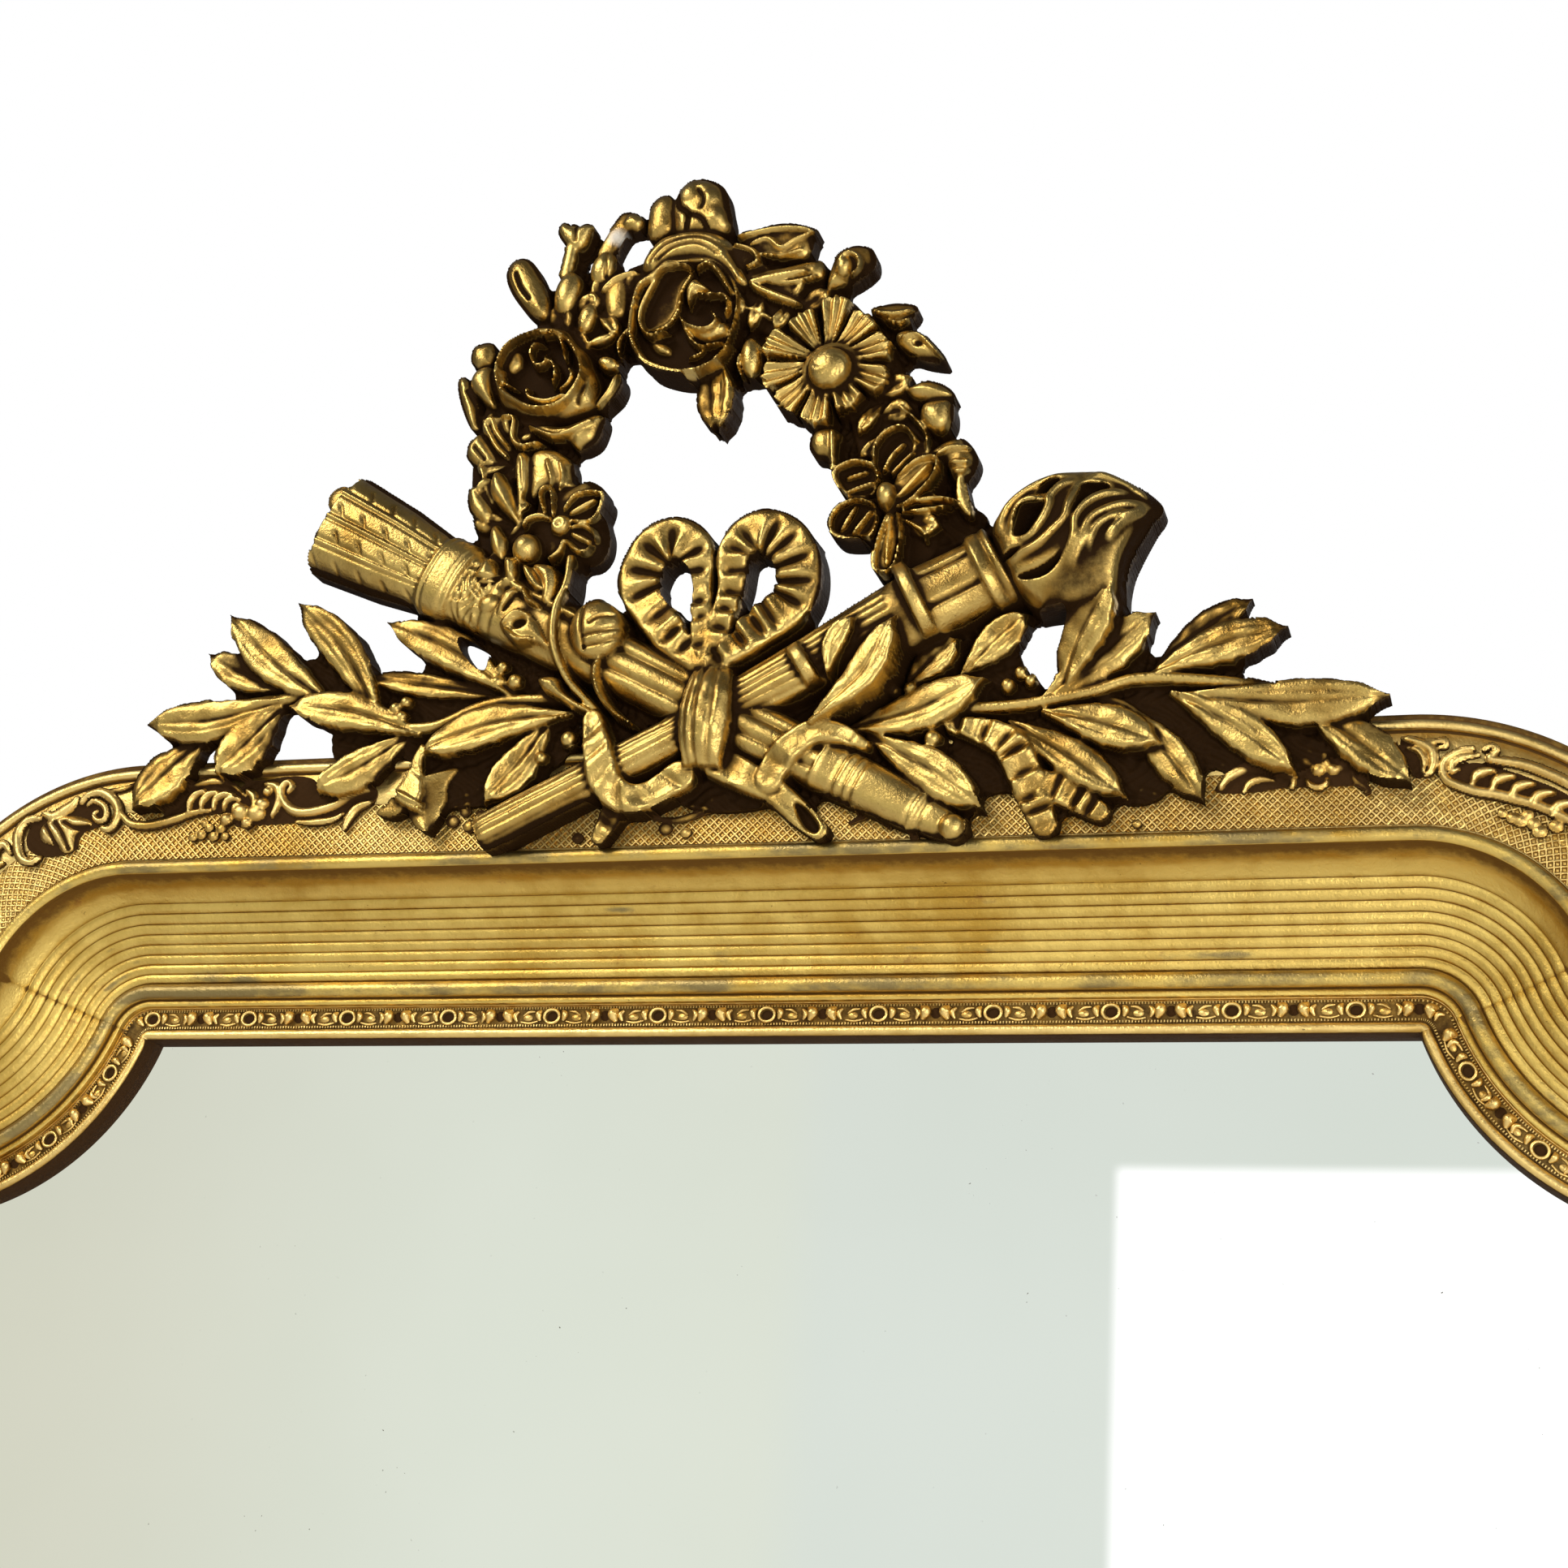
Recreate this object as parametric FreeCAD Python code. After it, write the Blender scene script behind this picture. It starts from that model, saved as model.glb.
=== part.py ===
import FreeCAD, Part
import math
import os

os.makedirs("parts", exist_ok=True)

V = FreeCAD.Vector
UP = V(0, 0, 1)
ACROSS = V(1, 0, 0)
BACKWARD = V(0, 1, 0)
FORWARD = V(0, -1, 0)

# All lengths in millimetres: X to the right, Z up, the wall at y = 0 and the viewer toward -Y

# Sight opening: straight top, a rounded step at each shoulder, straight sides and foot
SIGHT_TOP_WIDTH = 650.0
SIGHT_HEIGHT = 1170.0
SHOULDER_VALLEY = 2.0
SHOULDER_START_ANGLE = 70.0
SHOULDER_END_ANGLE = 15.0

# Widths across the moulding, from the sight edge outward
LIP_WIDTH = 5.3
ORNAMENT_WIDTH = 12.2
FILLET_WIDTH = 3.5
HALF_ROUND_WIDTH = 8.5
REED_COUNT = 8
REED_WIDTH = 4.9
COVE_WIDTH = 9.4
BEAD_WIDTH = 7.0
QUIRK_WIDTH = 1.0
FRIEZE_WIDTH = 44.9
EDGE_BEAD_WIDTH = 5.0
EDGE_ROUND_WIDTH = 4.0

# Rises of the moulding in front of the carcass face
LIP_SIDE_RISE = 7.5
LIP_RISE = 10.0
ORNAMENT_RISE = 7.0
FILLET_RISE = 11.0
HALF_ROUND_RISE = 15.2
REED_START_RISE = 11.5
REED_END_RISE = 27.6
REED_BULGE = 1.3
REED_BEND_SHARE = 1.4
COVE_END_RISE = 48.0
COVE_HOLLOW = 2.0
BEAD_RISE = 53.0
FRIEZE_RISE = 49.0
EDGE_BEAD_RISE = 51.5
EDGE_SIDE_RISE = 45.0

# Carcass, glass and back
BOARD_THICK = 8.0
CARCASS_THICK = 16.0
CARCASS_SETBACK = 4.0
REBATE_WIDTH = 8.0
LAP_LENGTH = 60.0
GLASS_THICK = 4.0
GLASS_MARGIN = 1.0
BOARD_COUNT = 3
BOARD_OVERLAP = 30.0
BOARD_GAP = 0.4
BLOCK_LENGTH = 60.0
BLOCK_REACH = 14.0
BLOCK_GAP = 0.5
SIDE_BLOCK_COUNT = 4
FOOT_BLOCK_COUNT = 3

# Countersunk wood screws
SCREW_SHANK = 3.0
SCREW_HEAD = 6.4
SCREW_HEAD_HEIGHT = 1.8
SCREW_BITE = 9.0
SCREW_CLEARANCE = 0.15
BOARD_SCREW_INSET = 15.0

# Strap hangers with D rings
HANGER_FROM_SIGHT = 75.0
HANGER_BELOW_SHOULDER = 240.0
STRAP_WIDTH = 18.0
STRAP_LENGTH = 52.0
STRAP_THICK = 1.5
STRAP_SCREW_SPACING = 26.0
RING_WIRE = 3.0
RING_INSIDE = 24.0
RING_PLAY = 0.05
STRAP_LIFT = 0.1

# Crest brackets of bent flat iron
BRACKET_SPACING = 100.0
BRACKET_WIDTH = 24.0
BRACKET_THICK = 3.0
BRACKET_DROP = 80.0
BRACKET_HEIGHT = 48.0
BRACKET_SCREW_INSET = 14.0
CREST_SCREW_BITE = 12.0

# Crest: places are counted in modules from the middle of the frame's top edge
CREST_MODULE = 6.0
CREST_GAP = 0.3
PLACE_PLANE_RISE = 68.0
EYE_ACROSS = 394.7
EYE_BELOW_SIGHT = 280.3
EYE_DISTANCE = 1120.0
STEM_RISE = 7.0
LEAF_RISE = 11.0
LEAF_STEP_RISE = 3.0
WREATH_RISE = 14.0
FLOWER_RISE = 23.0
FLOWER_CORE_RISE = 27.0
BOW_RISE = 20.0
KNOT_RISE = 33.0
RIBBON_RISE = 9.0
TORCH_AXIS_RISE = 14.0
QUIVER_AXIS_RISE = 8.0
SCROLL_RISE = 3.0
CROWN_SHARE = 0.4
CROWN_PULL_SHARE = 0.07

# One overrun serves all cuts
OVERRUN = 10.0

# Worked out from the sizes above
HALF_TOP = SIGHT_TOP_WIDTH / 2
COVE_IN = LIP_WIDTH + ORNAMENT_WIDTH
REED_IN = COVE_IN + FILLET_WIDTH + HALF_ROUND_WIDTH
REED_OUT = REED_IN + REED_COUNT * REED_WIDTH
BEAD_IN = REED_OUT + COVE_WIDTH
QUIRK_IN = BEAD_IN + BEAD_WIDTH
FRIEZE_IN = QUIRK_IN + QUIRK_WIDTH
EDGE_IN = FRIEZE_IN + FRIEZE_WIDTH
ROUND_IN = EDGE_IN + EDGE_BEAD_WIDTH
MOULDING_WIDTH = ROUND_IN + EDGE_ROUND_WIDTH
CARCASS_OUT = MOULDING_WIDTH - CARCASS_SETBACK
FACE_DEPTH = BOARD_THICK + CARCASS_THICK
LAP_DEPTH = BOARD_THICK + CARCASS_THICK / 2
CREST_DEPTH = FACE_DEPTH + FRIEZE_RISE
START = math.radians(SHOULDER_START_ANGLE)
END = math.radians(SHOULDER_END_ANGLE)
SHOULDER_TURN = SHOULDER_START_ANGLE - SHOULDER_END_ANGLE
LOBE_RADIUS = MOULDING_WIDTH + SHOULDER_VALLEY
LOBE_X = HALF_TOP + LOBE_RADIUS * math.sin(START)
LOBE_Z = LOBE_RADIUS * math.cos(START)
HALF_SIDE = LOBE_X - LOBE_RADIUS * math.sin(END)
SIDE_TOP = LOBE_Z - LOBE_RADIUS * math.cos(END)
FOOT = -SIGHT_HEIGHT
BOARD_TOP = BOARD_OVERLAP
BOARD_FOOT = FOOT - BOARD_OVERLAP
BOARD_HALF = HALF_SIDE + BOARD_OVERLAP
ORIGIN_LIFT = -(BOARD_TOP + BOARD_FOOT) / 2


def export(shape, name):
    """Write one node, with the origin in the middle of the backboards' rear face."""
    moved = shape.copy()
    moved.translate(UP * ORIGIN_LIFT)
    moved.exportStep("parts/" + name + ".step")


def mirrored(shape):
    """The same piece on the left-hand side."""
    return shape.mirror(V(0, 0, 0), ACROSS)


def box(x0, x1, y0, y1, z0, z1):
    """A block between two corners."""
    return Part.makeBox(x1 - x0, y1 - y0, z1 - z0, V(x0, y0, z0))


def joined(shapes):
    """One body out of touching or crossing ones."""
    whole = shapes[0].fuse(list(shapes[1:])) if len(shapes) > 1 else shapes[0]
    return whole.removeSplitter()


# Moulding sections: corners as (out, rise), arcs as a pair of such places


def section_place(place):
    return V(0, -(FACE_DEPTH + place[1]), place[0])


def section(start, steps):
    """A closed face across the moulding, drawn in the plane x = 0."""
    edges = []
    here = section_place(start)
    for step in steps + [start]:
        is_arc = isinstance(step[0], tuple)
        there = section_place(step[1] if is_arc else step)
        if is_arc:
            edges.append(Part.Arc(here, section_place(step[0]), there).toShape())
        else:
            edges.append(Part.makeLine(here, there))
        here = there
    return Part.Face(Part.Wire(edges))


def slip_section():
    """Rounded sight lip and the flat strip that carries its ornament."""
    lip_top = (LIP_WIDTH / 2, LIP_RISE)
    steps = [
        (0, LIP_SIDE_RISE),
        (lip_top, (LIP_WIDTH, LIP_SIDE_RISE)),
        (LIP_WIDTH, ORNAMENT_RISE),
        (COVE_IN, ORNAMENT_RISE),
        (COVE_IN, 0),
    ]
    return section((0, 0), steps)


def reed_place(number):
    """Foot of a reed: the reeds climb a shallow hollow."""
    part = number / REED_COUNT
    climb = (REED_END_RISE - REED_START_RISE) * part**REED_BEND_SHARE
    return (REED_IN + number * REED_WIDTH, REED_START_RISE + climb)


def bulge(first, second, height):
    """A place off the middle of a chord, to the front for a positive height."""
    run = (second[0] - first[0], second[1] - first[1])
    length = math.hypot(run[0], run[1])
    middle = ((first[0] + second[0]) / 2, (first[1] + second[1]) / 2)
    return (middle[0] - run[1] / length * height, middle[1] + run[0] / length * height)


def cove_section():
    """Fillet, half round, climbing reeds, hollow cove, crowning bead and a quirk."""
    round_in = COVE_IN + FILLET_WIDTH
    round_top = (round_in + HALF_ROUND_WIDTH / 2, HALF_ROUND_RISE)
    steps = [(COVE_IN, FILLET_RISE), (round_in, FILLET_RISE), (round_top, reed_place(0))]
    for number in range(REED_COUNT):
        foot = reed_place(number)
        head = reed_place(number + 1)
        steps.append((bulge(foot, head, REED_BULGE), head))
    cove_end = (BEAD_IN, COVE_END_RISE)
    steps.append((bulge(reed_place(REED_COUNT), cove_end, -COVE_HOLLOW), cove_end))
    steps.append(((BEAD_IN + BEAD_WIDTH / 2, BEAD_RISE), (QUIRK_IN, COVE_END_RISE)))
    steps.append((FRIEZE_IN, COVE_END_RISE))
    steps.append((FRIEZE_IN, 0))
    return section((COVE_IN, 0), steps)


def frieze_section():
    """Flat frieze with a bead and a rounded outer edge."""
    edge_top = (EDGE_IN + EDGE_BEAD_WIDTH / 2, EDGE_BEAD_RISE)
    corner = bulge((ROUND_IN, FRIEZE_RISE), (MOULDING_WIDTH, EDGE_SIDE_RISE), EDGE_ROUND_WIDTH / 4)
    steps = [
        (FRIEZE_IN, FRIEZE_RISE),
        (EDGE_IN, FRIEZE_RISE),
        (edge_top, (ROUND_IN, FRIEZE_RISE)),
        (corner, (MOULDING_WIDTH, EDGE_SIDE_RISE)),
        (MOULDING_WIDTH, 0),
    ]
    return section((FRIEZE_IN, 0), steps)


def carcass_section():
    """Plank section behind the mouldings, clear of the rebate for the glass."""
    steps = [(REBATE_WIDTH, -CARCASS_THICK), (CARCASS_OUT, -CARCASS_THICK), (CARCASS_OUT, 0)]
    return section((REBATE_WIDTH, 0), steps)


# Runs of a section round the opening


def turned(face, centre_x, centre_z, angle):
    moved = face.copy()
    moved.rotate(V(centre_x, 0, centre_z), BACKWARD, angle)
    return moved


def shifted(face, x, z):
    moved = face.copy()
    moved.translate(V(x, 0, z))
    return moved


def top_corner(face):
    """The turn round the right-hand end of the straight top."""
    return shifted(face, HALF_TOP, 0).revolve(V(HALF_TOP, 0, 0), BACKWARD, SHOULDER_START_ANGLE)


def top_run(face):
    """Straight top with both of its corners."""
    straight = shifted(face, -HALF_TOP, 0).extrude(ACROSS * SIGHT_TOP_WIDTH)
    corner = top_corner(face)
    return joined([straight, corner, mirrored(corner)])


def shoulder_run(face):
    """Hollow step of the right-hand shoulder and the corner at the head of the side."""
    lobe_face = turned(shifted(face, HALF_TOP, 0), HALF_TOP, 0, SHOULDER_START_ANGLE)
    lobe = lobe_face.revolve(V(LOBE_X, 0, LOBE_Z), BACKWARD, -SHOULDER_TURN)
    side_face = turned(lobe_face, LOBE_X, LOBE_Z, -SHOULDER_TURN)
    corner = side_face.revolve(V(HALF_SIDE, 0, SIDE_TOP), BACKWARD, 90 - SHOULDER_END_ANGLE)
    return joined([lobe, corner])


def mitre_wedge(above):
    """Prism on one side of the right-hand mitre at the foot."""
    reach = MOULDING_WIDTH + OVERRUN
    inner = V(HALF_SIDE - OVERRUN, 0, FOOT + OVERRUN)
    outer = V(HALF_SIDE + reach, 0, FOOT - reach)
    third = V(outer.x, 0, inner.z) if above else V(inner.x, 0, outer.z)
    face = Part.Face(Part.makePolygon([inner, outer, third, inner]))
    face.translate(BACKWARD * OVERRUN)
    return face.extrude(BACKWARD * -(FACE_DEPTH + BEAD_RISE + OVERRUN * 2))


def side_run(face):
    """Straight right-hand side, mitred at its foot."""
    head = shifted(turned(face, 0, 0, 90), HALF_SIDE, SIDE_TOP)
    length = SIDE_TOP - FOOT + MOULDING_WIDTH
    return head.extrude(UP * -length).cut(mitre_wedge(False))


def foot_run(face):
    """Straight foot between two mitres."""
    reach = HALF_SIDE + MOULDING_WIDTH
    rail = shifted(turned(face, 0, 0, 180), -reach, FOOT).extrude(ACROSS * (2 * reach))
    wedge = mitre_wedge(True)
    return rail.cut(wedge).cut(mirrored(wedge))


def export_mouldings():
    """Slip, cove and frieze, each in six lengths that meet at the real joints."""
    for name, face in (("slip", slip_section()), ("cove", cove_section()), ("frieze", frieze_section())):
        export(top_run(face), name + "_top")
        export(foot_run(face), name + "_bottom")
        for part, run in (("shoulder", shoulder_run(face)), ("side", side_run(face))):
            export(run, name + "_" + part + "_right")
            export(mirrored(run), name + "_" + part + "_left")


# Screws


def screw(x, z, head_y, length, grow=0.0):
    """Countersunk screw driven forward from the back; grown, it is its own hole."""
    head = SCREW_HEAD / 2 + grow
    shank = SCREW_SHANK / 2 + grow
    tip_y = head_y - length - grow
    corners = [
        V(x, head_y, z),
        V(x + head, head_y, z),
        V(x + shank, head_y - SCREW_HEAD_HEIGHT, z),
        V(x + shank, tip_y, z),
        V(x, tip_y, z),
        V(x, head_y, z),
    ]
    return Part.Face(Part.makePolygon(corners)).revolve(V(x, 0, z), BACKWARD, 360)


def screws(places, head_y, length, grow=0.0):
    return [screw(x, z, head_y, length, grow) for x, z in places]


def board_span(number):
    """Left and right edge of one backboard."""
    pitch = (2 * BOARD_HALF + BOARD_GAP) / BOARD_COUNT
    left = -BOARD_HALF + number * pitch
    return left, left + pitch - BOARD_GAP


def board_screw_places():
    places = []
    for number in range(BOARD_COUNT):
        left, right = board_span(number)
        for x in (left + 2 * BOARD_SCREW_INSET, right - 2 * BOARD_SCREW_INSET):
            places.append((x, BOARD_TOP - BOARD_SCREW_INSET / 2))
            places.append((x, BOARD_FOOT + BOARD_SCREW_INSET / 2))
    return places


HANGER_X = HALF_SIDE + HANGER_FROM_SIGHT
HANGER_Z = SIDE_TOP - HANGER_BELOW_SHOULDER
STRAP_FACE_Y = -(BOARD_THICK - STRAP_THICK)
LOOP_INNER = RING_WIRE / 2 + RING_PLAY
LOOP_OUTER = LOOP_INNER + STRAP_THICK
RING_Y = -BOARD_THICK + STRAP_LIFT + LOOP_OUTER


def strap_screw_places():
    middle = HANGER_Z - STRAP_LENGTH / 2
    low = (HANGER_X, middle - STRAP_SCREW_SPACING / 2)
    high = (HANGER_X, middle + STRAP_SCREW_SPACING / 2)
    return [low, high]


BRACKET_BACK_Y = -(BOARD_THICK - BRACKET_THICK)


def bracket_screw_places():
    """In the carcass, for the right-hand bracket."""
    middle = BRACKET_SPACING / 2
    low = MOULDING_WIDTH - BRACKET_DROP + BRACKET_SCREW_INSET
    return [(middle, low), (middle, CARCASS_OUT - BRACKET_SCREW_INSET)]


def crest_screw_places():
    """Through the upright leg into the back of the crest."""
    return [(BRACKET_SPACING / 2, MOULDING_WIDTH + BRACKET_HEIGHT - BRACKET_SCREW_INSET)]


def both_sides(places):
    return places + [(-x, z) for x, z in places]


CREST_SCREW_Y = -(CREST_DEPTH - BRACKET_THICK)
CREST_SCREW_LENGTH = BRACKET_THICK + CREST_SCREW_BITE
STRAP_SCREW_LENGTH = STRAP_THICK + SCREW_BITE
BRACKET_SCREW_LENGTH = BRACKET_THICK + SCREW_BITE
BOARD_SCREW_LENGTH = BOARD_THICK + SCREW_BITE


def carcass_holes():
    """Every screw hole in the carcass."""
    grow = SCREW_CLEARANCE
    holes = screws(board_screw_places(), 0, BOARD_SCREW_LENGTH, grow)
    holes += screws(both_sides(strap_screw_places()), STRAP_FACE_Y, STRAP_SCREW_LENGTH, grow)
    holes += screws(both_sides(bracket_screw_places()), BRACKET_BACK_Y, BRACKET_SCREW_LENGTH, grow)
    return Part.makeCompound(holes)


def export_screws():
    export(Part.makeCompound(screws(board_screw_places(), 0, BOARD_SCREW_LENGTH)), "board_screws")
    strap_places = both_sides(strap_screw_places())
    export(Part.makeCompound(screws(strap_places, STRAP_FACE_Y, STRAP_SCREW_LENGTH)), "hanger_screws")
    back = screws(both_sides(bracket_screw_places()), BRACKET_BACK_Y, BRACKET_SCREW_LENGTH)
    front = screws(both_sides(crest_screw_places()), CREST_SCREW_Y, CREST_SCREW_LENGTH)
    export(Part.makeCompound(back + front), "bracket_screws")


# Carcass, glass and back


def export_carcass():
    """Top rail sawn to the shoulders, stiles and bottom rail, half-lapped together."""
    face = carcass_section()
    shoulder = shoulder_run(face)
    inner = HALF_SIDE + REBATE_WIDTH
    outer = HALF_SIDE + CARCASS_OUT
    lap = SIDE_TOP - LAP_LENGTH
    rail_top = FOOT - REBATE_WIDTH
    rail_foot = FOOT - CARCASS_OUT
    back_y = -BOARD_THICK
    holes = carcass_holes()
    tongue = box(inner, outer, -LAP_DEPTH, back_y, lap, SIDE_TOP)
    top = joined([top_run(face), shoulder, mirrored(shoulder), tongue, mirrored(tongue)])
    stile = joined([
        box(inner, outer, -FACE_DEPTH, back_y, rail_top, lap),
        box(inner, outer, -FACE_DEPTH, -LAP_DEPTH, rail_foot, SIDE_TOP),
    ])
    bottom = joined([
        box(-inner, inner, -FACE_DEPTH, back_y, rail_foot, rail_top),
        box(-outer, outer, -LAP_DEPTH, back_y, rail_foot, rail_top),
    ])
    export(top.cut(holes), "carcass_top_rail")
    export(stile.cut(holes), "carcass_stile_right")
    export(mirrored(stile).cut(holes), "carcass_stile_left")
    export(bottom.cut(holes), "carcass_bottom_rail")


def sight_outline(out, y):
    """The opening's outline, a distance outward from the sight edge."""

    def place(centre_x, centre_z, radius, angle):
        return V(centre_x + radius * math.sin(angle), y, centre_z + radius * math.cos(angle))

    def arc(centre_x, centre_z, radius, first, last):
        ends = [place(centre_x, centre_z, radius, a) for a in (first, (first + last) / 2, last)]
        return Part.Arc(ends[0], ends[1], ends[2]).toShape()

    side = math.pi / 2
    hollow = out - LOBE_RADIUS
    half = [
        arc(HALF_TOP, 0, out, 0, START),
        arc(LOBE_X, LOBE_Z, hollow, START, END),
        arc(HALF_SIDE, SIDE_TOP, out, END, side),
        Part.makeLine(V(HALF_SIDE + out, y, SIDE_TOP), V(HALF_SIDE + out, y, FOOT - out)),
    ]
    reach = HALF_SIDE + out
    joins = [
        Part.makeLine(V(-HALF_TOP, y, out), V(HALF_TOP, y, out)),
        Part.makeLine(V(reach, y, FOOT - out), V(-reach, y, FOOT - out)),
    ]
    edges = half + joins + [mirrored(edge) for edge in half]
    return Part.Wire(Part.__sortEdges__(edges))


def export_glass():
    face = Part.Face(sight_outline(REBATE_WIDTH - GLASS_MARGIN, -FACE_DEPTH))
    export(face.extrude(BACKWARD * GLASS_THICK), "mirror_glass")


def glazing_block(length):
    """Triangular block that beds on the glass and the rebate wall, along X, wall at z = 0."""
    glass_y = -(FACE_DEPTH - GLASS_THICK)
    back_y = -BOARD_THICK - BLOCK_GAP
    corners = [V(0, glass_y, 0), V(0, glass_y, -BLOCK_REACH), V(0, back_y, 0), V(0, glass_y, 0)]
    prism = Part.Face(Part.makePolygon(corners)).extrude(ACROSS * length)
    prism.translate(ACROSS * (-length / 2))
    return prism


def export_glazing_blocks():
    """Blocks along the straight runs of the rebate."""
    block = glazing_block(BLOCK_LENGTH)
    side_block = turned(block, 0, 0, 90)
    foot_block = turned(block, 0, 0, 180)
    blocks = []
    for x in (-HALF_TOP / 2, HALF_TOP / 2):
        blocks.append(shifted(block, x, REBATE_WIDTH))
    for number in range(SIDE_BLOCK_COUNT):
        z = SIDE_TOP + (FOOT - SIDE_TOP) * (number + 1) / (SIDE_BLOCK_COUNT + 1)
        right = shifted(side_block, HALF_SIDE + REBATE_WIDTH, z)
        blocks += [right, mirrored(right)]
    for number in range(FOOT_BLOCK_COUNT):
        x = HALF_SIDE * (2 * (number + 1) / (FOOT_BLOCK_COUNT + 1) - 1)
        blocks.append(shifted(foot_block, x, FOOT - REBATE_WIDTH))
    export(Part.makeCompound(blocks), "glazing_blocks")


def export_backboards():
    """Upright boards that close the back."""
    holes = Part.makeCompound(screws(board_screw_places(), 0, BOARD_SCREW_LENGTH, SCREW_CLEARANCE))
    for number in range(BOARD_COUNT):
        left, right = board_span(number)
        board = box(left, right, -BOARD_THICK, 0, BOARD_FOOT, BOARD_TOP)
        export(board.cut(holes), "backboard_" + str(number + 1))


# Hangers


def hanger_strap():
    """Screwed plate with its top rolled round the ring's bar."""
    left = HANGER_X - STRAP_WIDTH / 2
    right = HANGER_X + STRAP_WIDTH / 2
    plate = box(left, right, -BOARD_THICK, STRAP_FACE_Y, HANGER_Z - STRAP_LENGTH, HANGER_Z)
    axis = V(left, RING_Y, HANGER_Z)
    roll = Part.makeCylinder(LOOP_OUTER, STRAP_WIDTH, axis, ACROSS)
    bore = Part.makeCylinder(LOOP_INNER, STRAP_WIDTH + 2 * OVERRUN, axis - ACROSS * OVERRUN, ACROSS)
    holes = screws(strap_screw_places(), STRAP_FACE_Y, STRAP_SCREW_LENGTH, SCREW_CLEARANCE)
    return plate.fuse(roll).cut(Part.makeCompound(holes + [bore])).removeSplitter()


def hanger_ring():
    """D of round wire, hanging down from the strap's roll."""
    wire = RING_WIRE / 2
    bow = (RING_INSIDE + RING_WIRE) / 2
    axis = V(HANGER_X, RING_Y, HANGER_Z)
    bar = Part.makeCylinder(wire, 2 * bow, axis - ACROSS * bow, ACROSS)
    end = Part.Face(Part.Wire(Part.makeCircle(wire, axis + ACROSS * bow, UP)))
    arch = end.revolve(axis, BACKWARD, 180)
    corners = [Part.makeSphere(wire, axis + ACROSS * (bow * side)) for side in (-1, 1)]
    return joined([bar, arch] + corners)


def export_hangers():
    strap = hanger_strap()
    ring = hanger_ring()
    export(strap, "hanger_strap_right")
    export(mirrored(strap), "hanger_strap_left")
    export(ring, "hanger_ring_right")
    export(mirrored(ring), "hanger_ring_left")


# Crest


def crest_place(x_share, z_share, rise):
    """A place in modules, moved along its sight line to a rise in front of the crest's back."""
    x = x_share * CREST_MODULE
    z = z_share * CREST_MODULE + MOULDING_WIDTH
    reach = (PLACE_PLANE_RISE - FRIEZE_RISE - rise) / EYE_DISTANCE
    return V(x + (x - EYE_ACROSS) * reach, -(CREST_DEPTH + rise), z + (z + EYE_BELOW_SIGHT) * reach)


def flat(place, rise):
    """The same place in a plane parallel to the crest's back."""
    return V(place.x, -(CREST_DEPTH + rise), place.z)


def lens(base, tip, half_width):
    """Two arcs from a leaf's base to its tip."""
    run = tip - base
    side = V(-run.z, 0, run.x).normalize() * half_width
    middle = (base + tip) / 2
    edges = [Part.Arc(base, middle + side, tip).toShape(), Part.Arc(tip, middle - side, base).toShape()]
    return Part.Wire(edges)


def leaf_solid(base, tip, width, rise):
    """A leaf with bevelled flanks, from the crest's back to its rise."""
    pull = (tip - base) * CROWN_PULL_SHARE
    foot = lens(flat(base, 0), flat(tip, 0), width / 2)
    crown = lens(flat(base + pull, rise), flat(tip - pull, rise), width / 2 * CROWN_SHARE)
    return Part.makeLoft([foot, crown], True, True)


def leaf(x0_share, z0_share, x1_share, z1_share, width_share, rise):
    base = crest_place(x0_share, z0_share, rise / 2)
    tip = crest_place(x1_share, z1_share, rise / 2)
    return leaf_solid(base, tip, width_share * CREST_MODULE, rise)


def dome(x_share, z_share, radius_share, rise):
    """A bud or a flower's heart: a tapered boss on the crest's back."""
    base = flat(crest_place(x_share, z_share, rise), 0)
    radius = radius_share * CREST_MODULE
    return Part.makeCone(radius, radius * (1 - CROWN_SHARE), rise, base, FORWARD)


def arc_band(first, middle, last, width, rise):
    """A curved strip through three places, standing on the crest's back."""
    centre = Part.Arc(first, middle, last).toShape().Curve.Center
    rims = []
    for side in (-width / 2, width / 2):
        rims.append([p + (p - centre).normalize() * side for p in (first, middle, last)])
    inner = Part.Arc(rims[0][0], rims[0][1], rims[0][2]).toShape()
    outer = Part.Arc(rims[1][0], rims[1][1], rims[1][2]).toShape()
    ends = [Part.makeLine(rims[0][0], rims[1][0]), Part.makeLine(rims[0][2], rims[1][2])]
    face = Part.Face(Part.Wire(Part.__sortEdges__([inner, ends[0], outer, ends[1]])))
    return face.extrude(FORWARD * rise)


def band(places_shares, width_share, rise, grow=0.0):
    """A ribbon or stem through three places in modules."""
    places = [flat(crest_place(x, z, rise), 0) for x, z in places_shares]
    return arc_band(places[0], places[1], places[2], width_share * CREST_MODULE + 2 * grow, rise + grow)


def limb(first, last, axis_rise, stations_shares, grow=0.0):
    """A turned form on a slanting axis: stations are (share along, radius in modules)."""
    start = crest_place(first[0], first[1], axis_rise)
    end = crest_place(last[0], last[1], axis_rise)
    run = end - start
    side = V(-run.z, 0, run.x).normalize()
    way = V(run.x, run.y, run.z).normalize()
    rim = [start + run * along + side * (radius * CREST_MODULE + grow) for along, radius in stations_shares]
    rim[0] = rim[0] - way * grow
    rim[-1] = rim[-1] + way * grow
    heel = start + run * stations_shares[0][0] - way * grow
    toe = start + run * stations_shares[-1][0] + way * grow
    turned_form = Part.Face(Part.makePolygon([heel] + rim + [toe, heel])).revolve(start, run, 360)
    return turned_form.cut(behind_crest())


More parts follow.
